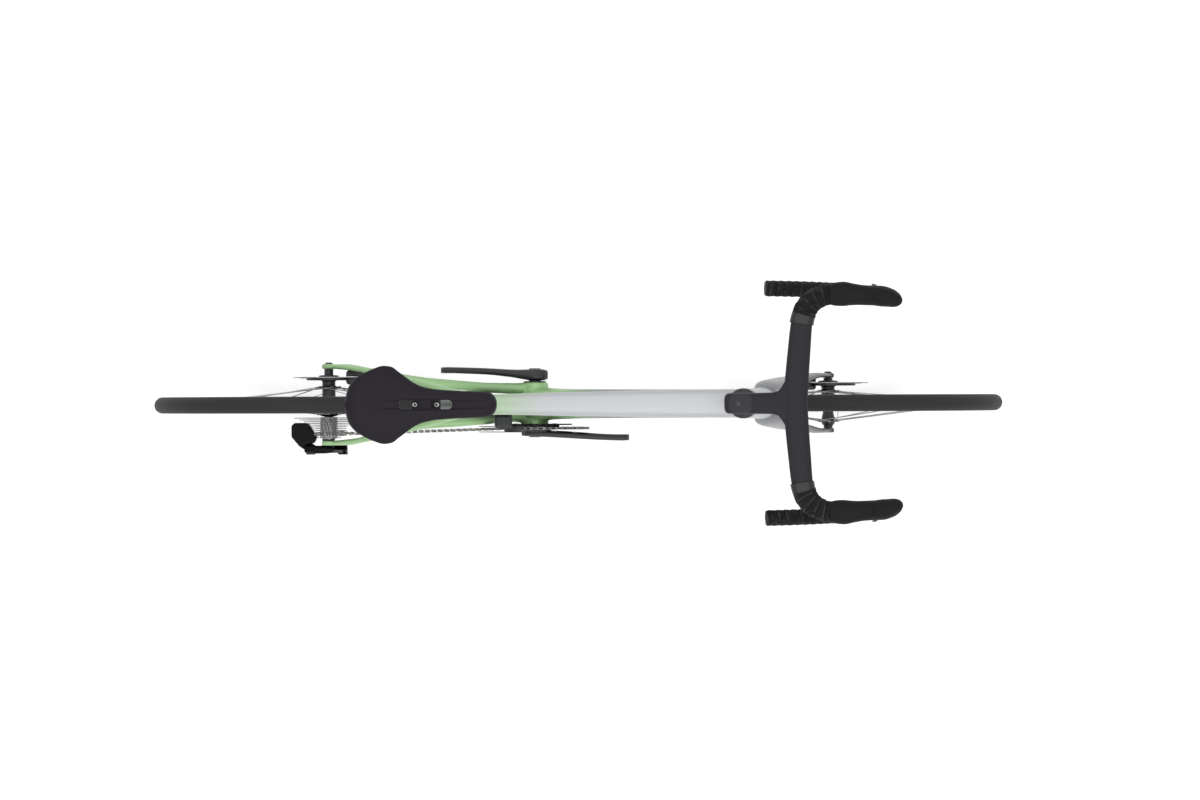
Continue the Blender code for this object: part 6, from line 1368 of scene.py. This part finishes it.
def rotor_holes(place, radius):
    """Slanted rows of holes round the braking track."""
    return [circle(place + heading_to(angle + 0.30 * j * 2 * pi / HOLE_ROWS) * (radius - ROTOR_TRACK * share),
                   1.7 * MM, 10)
            for angle in turns(HOLE_ROWS) for j, share in enumerate((0.22, 0.5, 0.78))]


def build_rotor_track(shape, place, radius, plane):
    wavy = [around(place, radius - 0.5 * MM + 0.4 * MM * cos(13 * angle), angle) for angle in turns(156)]
    outlines = [wavy, circle(place, radius - ROTOR_TRACK, 96)] + rotor_holes(place, radius)
    add_plate(shape, outlines, ROTOR_THICKNESS, plane, 0.15 * MM)


def build_rotor_carrier(shape, place, radius, plane):
    outer = radius - ROTOR_TRACK + 1.5 * MM
    outlines = [circle(place, outer, 80), circle(place, ROTOR_SEAT_RADIUS + GAP, 48)]
    outlines += [arc_band(place, ROTOR_SEAT_RADIUS + 7 * MM, outer - 5 * MM, middle - 0.45, middle + 0.38, 8)
                 for middle in turns(5)]
    add_plate(shape, outlines, 1.2 * MM, plane - 0.9 * MM, 0.2 * MM)
    fins = profile(((0, -1.2), (-0.5, -5.6), (-6, -5.6), (-7, -1.2)), outer - 12 * MM, plane)
    add_turned(shape, fins, place, AXIS_Y, 64, closed=True)
    for angle in turns(10, pi / 10):
        stud = place + heading_to(angle) * (outer - 3.2 * MM) + AXIS_Y * (plane - 1.8 * MM)
        add_rod(shape, stud, stud + AXIS_Y * 2.5 * MM, 1.8 * MM, 12, 0.3 * MM)


def build_lock_ring(shape, place, radius, plane):
    teeth = [around(place, (19.4 if i % 2 else 18.4) * MM, angle) for i, angle in enumerate(turns(48))]
    add_plate(shape, [teeth, circle(place, 9.2 * MM, 40)], 2.4 * MM, plane + 2.6 * MM, 0.2 * MM)


def make_rotor_pieces(word, *sizes):
    for name, build, finish, *nodes in (
            ("rotor_track", build_rotor_track, f"{word}_rotor_steel", f"{word}_rotor"),
            ("rotor_carrier", build_rotor_carrier, "satin_black"),
            ("lock_ring", build_lock_ring, "dark_metal")):
        make(f"{word}_{name}", lambda shape: build(shape, *sizes), f"{word}_wheel", finish, *nodes)


def make_axle_piece(word, place, width, tip):
    head, foot = width / 2 + tip + GAP, -width / 2 - tip

    def build(shape):
        rows = profile(((2.6, 3), (5, 3), (7.2, 1.9), (7.5, 0), (5.9, 0)), 0.0, head)
        add_turned(shape, rows + [(5.9 * MM, foot), (0.0, foot)], place, AXIS_Y, 40)
        add_turned(shape, profile(((2.6, 3), (2.6, -2), (0, -2)), 0.0, head), place, AXIS_Y, 40)
    body = "steering" if word == "front" else "frame"
    make(f"{word}_axle_pin", build, body, "dark_metal", f"{word}_through_axle")


def make_wheels(sizes):
    for word, (place, flanges, flange_radius, rotor_radius, rotor_plane, width) in HUBS.items():
        make_tyre_piece(word, place, sizes.tyre_steps)
        make_rim_piece(word, place, sizes.tyre_steps)
        for side, flange_side in flanges.items():
            make_spoke_piece(word, place, side, flange_side, flange_radius)
        make_hub_piece(word, place, flanges, flange_radius, rotor_plane, width)
        make_rotor_pieces(word, place, rotor_radius, rotor_plane)
        make_axle_piece(word, place, width, FORK_TIP_THICKNESS if word == "front" else DROPOUT_THICKNESS)


# Brakes
def outer_face(node):
    """Middle, long direction and half length of a node's flat face on the left."""
    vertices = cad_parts[node].data.vertices
    high = max(vertex.co.y for vertex in vertices)
    corners = [vertex.co for vertex in vertices if vertex.co.y > high - 0.05 * MM]
    middle = sum(corners, Vector()) / len(corners)
    spans = [corner - middle for corner in corners]
    lean = atan2(2 * sum(s.x * s.z for s in spans), sum(s.x * s.x - s.z * s.z for s in spans)) / 2
    along = heading_to(lean)
    return middle, along, max(abs(span.dot(along)) for span in spans)


def make_brakes():
    for word, body in (("front", "steering"), ("rear", "frame")):
        caliper = from_node(f"{word}_caliper", f"{word}_caliper_body", NODE_GRID, 8)
        show(caliper, body, "satin_black", f"{word}_caliper", angle=50)
        for end in ("outer", "inner"):
            dress_node(f"{word}_pad_{end}", "dark_metal")
        middle, along, half = outer_face(f"{word}_caliper")

        def build_bolts(shape):
            for side in SIDES:
                place = middle + along * side * (half - 4.5 * MM) - AXIS_Y * 0.8 * MM
                add_bolt(shape, place, AXIS_Y, 3.8 * MM, 2 * MM)
        make(f"{word}_caliper_bolts", build_bolts, body, "steel")


# Chain drive
def pitch_radius(teeth):
    return CHAIN_PITCH / (2 * sin(pi / teeth))


def wheels_on_chain(cage_angle):
    """Centre, teeth, side and turning sense of each wheel that the chain runs on, in its order."""
    return [(CRANK_CENTRE, OUTER_TEETH, -OUTER_RING_PLANE, 1),
            (REAR_AXLE, COG_TEETH[COG_IN_USE], -COG_IN_USE_PLANE, 1),
            (GUIDE_PULLEY, PULLEY_TEETH, -COG_IN_USE_PLANE, -1),
            (GUIDE_PULLEY + heading_to(cage_angle) * PULLEY_SPACING, PULLEY_TEETH, -COG_IN_USE_PLANE, 1)]


def rim_point(centre, teeth, sense, heading):
    """Where a chain with this heading touches a wheel's pitch circle."""
    return centre + Vector((sin(heading), 0.0, -cos(heading))) * sense * pitch_radius(teeth)


def chain_parts(cage_angle):
    """The straights and wraps of the chain's loop, each with its length in pitches."""
    wheels = wheels_on_chain(cage_angle)
    ahead = wheels[1:] + wheels[:1]
    headings = []
    for (centre, teeth, _, sense), (far, far_teeth, _, far_sense) in zip(wheels, ahead):
        span = far - centre
        lean = sense * pitch_radius(teeth) - far_sense * pitch_radius(far_teeth)
        headings.append(atan2(span.z, span.x) + asin(lean / span.length))
    parts = []
    for i, (centre, teeth, plane, sense) in enumerate(wheels):
        arrive, leave = headings[i - 1], headings[i]
        turn = (sense * (leave - arrive)) % (2 * pi)
        parts.append(("wrap", i, arrive, sense * turn, turn * teeth / (2 * pi)))
        far, far_teeth, far_plane, far_sense = ahead[i]
        start = rim_point(centre, teeth, sense, leave)
        end = rim_point(far, far_teeth, far_sense, leave)
        start.y, end.y = plane, far_plane
        parts.append(("run", start, end, leave, (end - start).length / CHAIN_PITCH))
    return wheels, parts


def chain_length(cage_angle):
    return sum(part[-1] for part in chain_parts(cage_angle)[1])


def solve_cage_angle():
    """The cage angle at which the chain is a whole, even number of links."""
    links = 2 * round(chain_length(CAGE_ANGLE_GUESS) / 2)
    low, high = CAGE_ANGLE_GUESS - 0.3, CAGE_ANGLE_GUESS + 0.3
    for _ in range(50):
        middle = (low + high) / 2
        if chain_length(middle) > links:
            low = middle
        else:
            high = middle
    return (low + high) / 2, links


CAGE_ANGLE, CHAIN_LINKS = solve_cage_angle()
CHAIN_WHEELS, CHAIN_PARTS = chain_parts(CAGE_ANGLE)
TENSION_PULLEY = CHAIN_WHEELS[3][0]


def chain_point(count):
    """The chain's place so many pitches along its loop."""
    count %= CHAIN_LINKS
    for kind, *rest, length in CHAIN_PARTS:
        if count <= length:
            break
        count -= length
    if kind == "wrap":
        index, arrive, turn = rest
        centre, teeth, plane, sense = CHAIN_WHEELS[index]
        place = rim_point(centre, teeth, sense, arrive + turn * count / length)
        place.y = plane
        return place
    start, end, _ = rest
    place = mix(start, end, count / length)
    lead = min(STRAIGHT_LEAD, length * CHAIN_PITCH / 3)
    place.y = mix(start.y, end.y, limit((count * CHAIN_PITCH - lead) / (length * CHAIN_PITCH - 2 * lead)))
    return place


def gap_angle(index):
    """Angle of a tooth gap on a wheel, from the first roller that lies on it."""
    wrap = [part[:2] for part in CHAIN_PARTS].index(("wrap", index))
    before = sum(part[-1] for part in CHAIN_PARTS[:wrap])
    span = chain_point(ceil(before)) - CHAIN_WHEELS[index][0]
    return atan2(span.z, span.x)


def toothed(centre, teeth, phase):
    """A sprocket's outline, with a round gap at each link's pin and a flat tip between two."""
    return [around(centre, pitch_radius(teeth) + reach * MM, middle + 2 * pi / teeth * turn)
            for middle in turns(teeth, phase) for reach, turn in TOOTH_ROWS]


def add_link_plate(shape, start, end, plane_shift, waist):
    """A chain link's side plate: two round ends and a narrower waist."""
    length = (end - start).length
    along = (end - start).normalized()
    up = along.cross(AXIS_Y).normalized()
    rows = []
    for middle, first, side in ((length, -pi / 2, 1), (0.0, pi / 2, -1)):
        rows += [(middle + 4 * MM * cos(angle), 4 * MM * sin(angle)) for angle in arc(first, first + pi, 6)]
        rows.append((length / 2, side * waist))
    add_loft(shape, [[start + along * a + up * b + AXIS_Y * (plane_shift + shift) for a, b in rows]
                     for shift in (-LINK_PLATE / 2, LINK_PLATE / 2)])


def build_chain(shape):
    roller = profile(((1.9, 0.85), (3.8, 0.85), (3.8, -0.85), (1.9, -0.85)))
    for i in range(CHAIN_LINKS):
        start, end = chain_point(i), chain_point(i + 1)
        shift, waist = (1.25, 3.1) if i % 2 else (2.05, 2.7)
        for side in SIDES:
            add_link_plate(shape, start, end, side * shift * MM, waist * MM)
        add_turned(shape, roller, start, AXIS_Y, 12, closed=True)
        add_rod(shape, start - AXIS_Y * 2.5 * MM, start + AXIS_Y * 2.5 * MM, 1.75 * MM, 8)


def add_arm(shape, rows, side):
    """A crank arm: the right one points to the front, the left one to the back."""
    add_sweep(shape, [(CRANK_CENTRE.x - side * along * CRANK_LENGTH, side * across * MM, CRANK_CENTRE.z,
                       thick * MM, height * MM) for along, across, thick, height in rows],
              power=3.6, count=32, step=4 * MM)


def spider_outline():
    tip = SPIDER_RADIUS / MM
    half = ((33, 0.50), (44, 0.28), (tip - 3, 0.17), (tip, 0.10))
    arm = [(radius, -offset) for radius, offset in half] + list(half[::-1])
    return [around(CRANK_CENTRE, radius * MM, middle + offset)
            for middle in turns(4, pi / 4) for radius, offset in arm]


def build_right_crank(shape):
    inner = -(SHELL_WIDTH / 2 + 2 * GAP + 2 * MM)
    add_arm(shape, RIGHT_ARM, -1)
    add_plate(shape, [spider_outline()], 4.3 * MM, -(OUTER_RING_PLANE + INNER_RING_PLANE) / 2, 0.3 * MM)
    hub = profile(((0, 64), (12, 64))) + profile(((12, 0), (34, 0), (30, -8), (0, -8)), 0.0, inner)
    add_turned(shape, hub, CRANK_CENTRE, AXIS_Y, 56)


def build_crank_fittings(shape, side):
    """The pedal's washer and the axle's cap."""
    face, cap = CRANK_FACES[side]
    washer = profile(((7, 0), (8.6, 0), (8.6, -3), (7, -3)), 0.0, face)
    add_turned(shape, washer, CRANK_CENTRE - AXIS_X * side * CRANK_LENGTH, AXIS_Y * side, 40, closed=True)
    dust_cap = ((0, 0.6), (4, 0.6), (4.6, 1.2), (11, 1.2), (12, 0.4), (12, -2), (0, -2))
    add_turned(shape, profile(dust_cap, 0.0, cap), CRANK_CENTRE, AXIS_Y * side, 48)


def make_cranks():
    right = moulded(piece("right_crank_body", build_right_crank), 1.1 * MM, 3)
    left = moulded(piece("left_crank_body", lambda shape: add_arm(shape, LEFT_ARM, 1)), 1.3 * MM, 3)
    for arm, side in ((right, -1), (left, 1)):
        eye = CRANK_CENTRE + Vector((-side * CRANK_LENGTH, side * 50 * MM, 0.0))
        cut_with(arm, lambda shape: add_rod(shape, eye, eye + AXIS_Y * side * 40 * MM, 7 * MM, 32))
        word = SIDES[side]
        show(arm, "crank", "satin_black", f"crank_arm_{word}", angle=50)
        make(f"crank_fittings_{word}", lambda shape: build_crank_fittings(shape, side), "crank", "dark_metal")


def build_outer_ring(shape):
    outlines = [toothed(CRANK_CENTRE, OUTER_TEETH, gap_angle(0)), circle(CRANK_CENTRE, RING_BORE, 72)]
    half = pi / RING_WINDOWS * WINDOW_SHARE
    outlines += [arc_slot(CRANK_CENTRE, 77 * MM, 85 * MM, middle - half, middle + half)
                 for middle in turns(RING_WINDOWS)]
    add_plate(shape, outlines, RING_THICKNESS, -OUTER_RING_PLANE)


def build_inner_ring(shape):
    outlines = [toothed(CRANK_CENTRE, INNER_TEETH, 0.0), circle(CRANK_CENTRE, RING_BORE, 72)]
    add_plate(shape, outlines, RING_THICKNESS, -INNER_RING_PLANE)


def build_ring_bolts(shape):
    seat_depth = RING_THICKNESS / 2 - 0.3 * MM
    for angle in turns(4, pi / 4):
        place = CRANK_CENTRE + heading_to(angle) * BOLT_CIRCLE
        add_bolt(shape, place - AXIS_Y * (OUTER_RING_PLANE + seat_depth), -AXIS_Y, 5 * MM, 1.6 * MM)
        add_bolt(shape, place - AXIS_Y * (INNER_RING_PLANE - seat_depth), AXIS_Y, 5 * MM, 1.2 * MM)


def make_rings():
    make("outer_ring_plate", build_outer_ring, "crank", "ring_alloy", "chainring_outer")
    make("inner_ring_plate", build_inner_ring, "crank", "ring_alloy", "chainring_inner")
    make("ring_bolts", build_ring_bolts, "crank", "steel")


def cog_windows(teeth):
    """Openings in a large cog's web."""
    outer, inner = pitch_radius(teeth) - 8 * MM, 24 * MM
    if outer - inner < 4 * MM:
        return []
    return [arc_band(REAR_AXLE, inner, outer, angle - 0.28, angle + 0.24, 6) for angle in turns(7)]


def build_cassette(shape):
    for i, teeth in enumerate(COG_TEETH):
        phase = gap_angle(1) % (2 * pi / teeth)
        outlines = [toothed(REAR_AXLE, teeth, phase), circle(REAR_AXLE, 15 * MM, 40)]
        plane = -(FIRST_COG_PLANE - i * COG_PITCH)
        add_plate(shape, outlines + cog_windows(teeth), 1.6 * MM, plane, 0.2 * MM)
    low, high = -FIRST_COG_PLANE - 3 * MM, -FIRST_COG_PLANE + 11 * COG_PITCH + 2 * MM
    body = profile(((8.8, 0), (13, 0), (13.4, 1), (17, 1.4)), 0.0, low)
    body += profile(((17, 0), (8.8, 0)), 0.0, high)
    add_turned(shape, body, REAR_AXLE, AXIS_Y, 48, closed=True)


def make_drive():
    make_cranks()
    make_rings()
    make("chain_links", build_chain, "frame", "chain_steel", "chain", angle=40)
    make("cog_stack", build_cassette, "cassette", "cog_steel", "cassette")


# Derailleurs
def stadium(start, end, radius, pieces=12):
    """A long outline with round ends, as (x, z)."""
    away = atan2(start.z - end.z, start.x - end.x)
    return [around(centre, radius, angle) for centre, first in ((start, away), (end, away + pi))
            for angle in arc(first - pi / 2, first + pi / 2, pieces)]


def build_pulley_cage(shape):
    way = TENSION_PULLEY - GUIDE_PULLEY
    windows = [stadium(GUIDE_PULLEY + way * a, GUIDE_PULLEY + way * b, 4.6 * MM, 8)
               for a, b in ((0.26, 0.42), (0.60, 0.74))]
    for side in SIDES:
        add_plate(shape, [stadium(GUIDE_PULLEY, TENSION_PULLEY, 9.9 * MM)] + windows, 1.6 * MM,
                  -COG_IN_USE_PLANE + side * CAGE_HALF, 0.3 * MM)
    pin = GUIDE_PULLEY - AXIS_Y * (COG_IN_USE_PLANE + CAGE_HALF)
    add_rod(shape, pin, pin - AXIS_Y * 12 * MM, 5 * MM, 32, 0.4 * MM)


def build_pulley_bolts(shape):
    half = AXIS_Y * CAGE_HALF
    head = AXIS_Y * (CAGE_HALF + 0.6 * MM)
    for pulley in (GUIDE_PULLEY, TENSION_PULLEY):
        middle = pulley - AXIS_Y * COG_IN_USE_PLANE
        add_rod(shape, middle - half, middle + half, 2.9 * MM, 20)
        add_bolt(shape, middle + head, AXIS_Y, 3.8 * MM, 1.2 * MM)
    add_bolt(shape, middle - head, -AXIS_Y, 3.8 * MM, 1.2 * MM)


def build_pulley(shape, place, index):
    outlines = [toothed(place, PULLEY_TEETH, gap_angle(index)), circle(place, 3.3 * MM, 24)]
    outlines += [circle(place + heading_to(angle) * 10.5 * MM, 2.4 * MM, 14) for angle in turns(5)]
    add_plate(shape, outlines, 2.4 * MM, -COG_IN_USE_PLANE, 0.25 * MM)
    bush = profile(((3.3, 1.9), (6.2, 1.9), (6.6, 1.4), (6.6, -1.4), (6.2, -1.9), (3.3, -1.9)))
    add_turned(shape, bush, place - AXIS_Y * COG_IN_USE_PLANE, AXIS_Y, 32, closed=True)


def make_rear_derailleur():
    for node, name, body, passes in (
            ("rear_derailleur_knuckle", "upper_knuckle", "frame", 30),
            ("rear_derailleur_link", "swing_link", "rear_derailleur_link", 8),
            ("rear_derailleur_lower_knuckle", "lower_knuckle", "rear_derailleur_lower_knuckle", 16)):
        show(from_node(node, name, NODE_GRID, passes), body, "gloss_black", node, angle=50)
    cage = "rear_derailleur_cage"
    make("pulley_cage", build_pulley_cage, cage, "satin_black", cage)
    make("pulley_bolts", build_pulley_bolts, cage, "steel")
    for name, place, index in (("guide_pulley", GUIDE_PULLEY, 2), ("tension_pulley", TENSION_PULLEY, 3)):
        make(f"{name}_wheel", lambda shape: build_pulley(shape, place, index), name, "satin_black", name)


def build_front_cage(shape):
    inner = pitch_radius(OUTER_TEETH) + 6.8 * MM
    outer = inner + 22 * MM
    near, far = FRONT_CAGE_PLANES
    band = arc_band(CRANK_CENTRE, inner + 0.2 * MM, outer - 0.2 * MM, radians(98.5), radians(145.5), 24)
    rib = arc_slot(CRANK_CENTRE, inner + 8 * MM, inner + 13 * MM, radians(108), radians(137))
    for plane in FRONT_CAGE_PLANES:
        add_plate(shape, [band, rib], 1.5 * MM, -plane, 0.3 * MM)
    bridge = arc_band(CRANK_CENTRE, outer - 4 * MM, outer - MM, radians(101), radians(116), 8)
    add_plate(shape, [bridge], far - near, -(near + far) / 2, 0.3 * MM)
    low, hinge = CRANK_CENTRE.z + outer - 16 * MM, FRONT_SHIFT_AXIS
    arm = Vector((hinge.x, hinge.y - 4 * MM, (low + hinge.z) / 2))
    add_block(shape, arm, (14 * MM, 8 * MM, hinge.z - low))
    barrel = profile(((2.8, -8), (5.2, -8), (5.5, -7.6), (5.5, 7.6), (5.2, 8), (2.8, 8)))
    add_turned(shape, barrel, hinge, AXIS_X, 32, closed=True)


def make_front_derailleur():
    motor = from_node("front_derailleur_body", "front_motor", NODE_GRID, 8)
    show(motor, "frame", "satin_black", "front_derailleur_body", angle=50)
    cage = "front_derailleur_cage"
    make("front_cage_plates", build_front_cage, cage, "dark_metal", cage, slot="satin_black")


def make_derailleurs():
    make_rear_derailleur()
    make_front_derailleur()


# Stage
def add_softbox(name, place, size, power, target):
    light = bpy.data.lights.new(name, "AREA")
    light.shape = "RECTANGLE"
    light.size, light.size_y = size
    light.energy = power
    item = link(bpy.data.objects.new(name, light))
    item.location = place
    item.rotation_mode = "QUATERNION"
    item.rotation_quaternion = (Vector(target) - Vector(place)).to_track_quat("-Z", "Y")
    item.visible_camera = False


def make_floor_finish():
    """White paper that keeps the bike's shadow, and is plain white to the camera elsewhere."""
    material = bpy.data.materials.new("floor_paper")
    material.use_nodes = True
    tree = material.node_tree
    tree.nodes.clear()
    colour = mix_colours(tree, noise(tree, 3.0, 3.0), (0.80, 0.80, 0.80, 1.0), (0.82, 0.82, 0.82, 1.0))
    paper = add_node(tree, "ShaderNodeBsdfDiffuse", {"Color": colour})
    reach = add_node(tree, "ShaderNodeVectorMath", {0: place_on(tree)}, operation="LENGTH").outputs["Value"]
    far = times(tree, ramp(tree, reach, 2.0, 9.0), 0.5)
    strength = times(tree, seen_directly(tree), plus(tree, 0.55, far))
    glow = add_node(tree, "ShaderNodeEmission", {"Strength": strength})
    both = add_node(tree, "ShaderNodeAddShader", {0: paper.outputs[0], 1: glow.outputs[0]})
    add_node(tree, "ShaderNodeOutputMaterial", {"Surface": both.outputs[0]})
    return material


def make_world():
    """A studio that lights plainly and looks white to the camera and in mirrors."""
    world = bpy.data.worlds.new("studio")
    bpy.context.scene.world = world
    world.use_nodes = True
    tree = world.node_tree
    tree.nodes.clear()
    strength = plus(tree, WORLD_LIGHT, times(tree, seen_directly(tree), 1 - WORLD_LIGHT))
    sky = add_node(tree, "ShaderNodeBackground", {"Color": (1.0, 1.0, 1.0, 1.0), "Strength": strength})
    add_node(tree, "ShaderNodeOutputWorld", {"Surface": sky.outputs[0]})


def make_camera():
    """The photo's camera, straight above the bike."""
    camera = bpy.data.cameras.new("photo_camera")
    camera.lens = PHOTO_CAMERA_LENS
    camera.sensor_width = 36.0
    camera.clip_end = 100.0
    item = link(bpy.data.objects.new("photo_camera", camera))
    item.location = (*PHOTO_CAMERA_PLACE, PHOTO_CAMERA_HEIGHT)
    item.rotation_euler = (0.0, 0.0, PHOTO_CAMERA_ROLL)
    bpy.context.scene.camera = item


def make_stage():
    floor = piece("floor", lambda shape: bmesh.ops.create_grid(
        shape, x_segments=8, y_segments=8, size=FLOOR_SIZE / 2))
    floor.data.materials.append(make_floor_finish())
    make_world()
    for lamp in LAMPS:
        add_softbox(*lamp)
    make_camera()
    bpy.context.scene.view_settings.view_transform = "Standard"


# Operators
class ROADBIKE_OT_finishes(bpy.types.Operator):
    """Mix the paints, rubbers and metals"""
    bl_idname = "road_bike.finishes"
    bl_label = "Finishes"

    def execute(self, context):
        make_finishes(context.scene.road_bike_paints, context.scene.road_bike_sizes)
        return {"FINISHED"}


class ROADBIKE_OT_frame(bpy.types.Operator):
    """Mould the frame with its bottle bolts, bearing cups and seat collar"""
    bl_idname = "road_bike.frame"
    bl_label = "Frame"

    def execute(self, context):
        make_frame_pieces(context.scene.road_bike_sizes)
        dress_node("headset_lower_bearing", "steel")
        return {"FINISHED"}


class ROADBIKE_OT_fork(bpy.types.Operator):
    """Mould the fork"""
    bl_idname = "road_bike.fork"
    bl_label = "Fork"

    def execute(self, context):
        make_fork_piece()
        return {"FINISHED"}


class ROADBIKE_OT_cockpit(bpy.types.Operator):
    """Mould the bar and stem, with the cap and the headset cover"""
    bl_idname = "road_bike.cockpit"
    bl_label = "Bar and Stem"

    def execute(self, context):
        make_cockpit()
        return {"FINISHED"}


class ROADBIKE_OT_tape(bpy.types.Operator):
    """Wind the bar tape and close its ends"""
    bl_idname = "road_bike.tape"
    bl_label = "Bar Tape"

    def execute(self, context):
        make_tape_pieces(context.scene.road_bike_sizes)
        return {"FINISHED"}


class ROADBIKE_OT_controls(bpy.types.Operator):
    """Make the hoods, brake levers and shift paddles"""
    bl_idname = "road_bike.controls"
    bl_label = "Levers"

    def execute(self, context):
        make_controls()
        return {"FINISHED"}


class ROADBIKE_OT_saddle(bpy.types.Operator):
    """Make the saddle, its rails, its clamp and the seatpost"""
    bl_idname = "road_bike.saddle"
    bl_label = "Saddle"

    def execute(self, context):
        make_saddle_pieces()
        return {"FINISHED"}


class ROADBIKE_OT_wheels(bpy.types.Operator):
    """Build both wheels with their rotors and axles"""
    bl_idname = "road_bike.wheels"
    bl_label = "Wheels"

    def execute(self, context):
        make_wheels(context.scene.road_bike_sizes)
        return {"FINISHED"}


class ROADBIKE_OT_brakes(bpy.types.Operator):
    """Make both brake calipers"""
    bl_idname = "road_bike.brakes"
    bl_label = "Brakes"

    def execute(self, context):
        make_brakes()
        return {"FINISHED"}


class ROADBIKE_OT_drive(bpy.types.Operator):
    """Make the cranks, chainrings, chain and cassette"""
    bl_idname = "road_bike.drive"
    bl_label = "Drive"

    def execute(self, context):
        make_drive()
        return {"FINISHED"}


class ROADBIKE_OT_derailleurs(bpy.types.Operator):
    """Make the front and rear derailleurs"""
    bl_idname = "road_bike.derailleurs"
    bl_label = "Derailleurs"

    def execute(self, context):
        make_derailleurs()
        return {"FINISHED"}


class ROADBIKE_OT_stage(bpy.types.Operator):
    """Lay the floor and set the lights and the camera"""
    bl_idname = "road_bike.stage"
    bl_label = "Stage"

    def execute(self, context):
        make_stage()
        return {"FINISHED"}


STEPS = (ROADBIKE_OT_finishes, ROADBIKE_OT_frame, ROADBIKE_OT_fork, ROADBIKE_OT_cockpit, ROADBIKE_OT_tape,
         ROADBIKE_OT_controls, ROADBIKE_OT_saddle, ROADBIKE_OT_wheels, ROADBIKE_OT_brakes, ROADBIKE_OT_drive,
         ROADBIKE_OT_derailleurs, ROADBIKE_OT_stage)


class ROADBIKE_PT_panel(bpy.types.Panel):
    """Steps and settings of the road bike's looks"""
    bl_idname = "ROADBIKE_PT_panel"
    bl_label = "Road Bike"
    bl_space_type = "VIEW_3D"
    bl_region_type = "UI"
    bl_category = "Road Bike"

    def draw(self, context):
        for settings in (context.scene.road_bike_paints, context.scene.road_bike_sizes):
            box = self.layout.box()
            for name in settings.__annotations__:
                box.prop(settings, name)
        for step in STEPS:
            self.layout.operator(step.bl_idname)


CLASSES = (BikePaints, BikeSizes) + STEPS + (ROADBIKE_PT_panel,)


def register():
    for item in CLASSES:
        bpy.utils.register_class(item)
    bpy.types.Scene.road_bike_paints = PointerProperty(type=BikePaints)
    bpy.types.Scene.road_bike_sizes = PointerProperty(type=BikeSizes)


def unregister():
    del bpy.types.Scene.road_bike_sizes
    del bpy.types.Scene.road_bike_paints
    for item in reversed(CLASSES):
        bpy.utils.unregister_class(item)


def main():
    register()
    for step in STEPS:
        group, name = step.bl_idname.split(".")
        getattr(getattr(bpy.ops, group), name)()


if __name__ == "__main__":
    main()
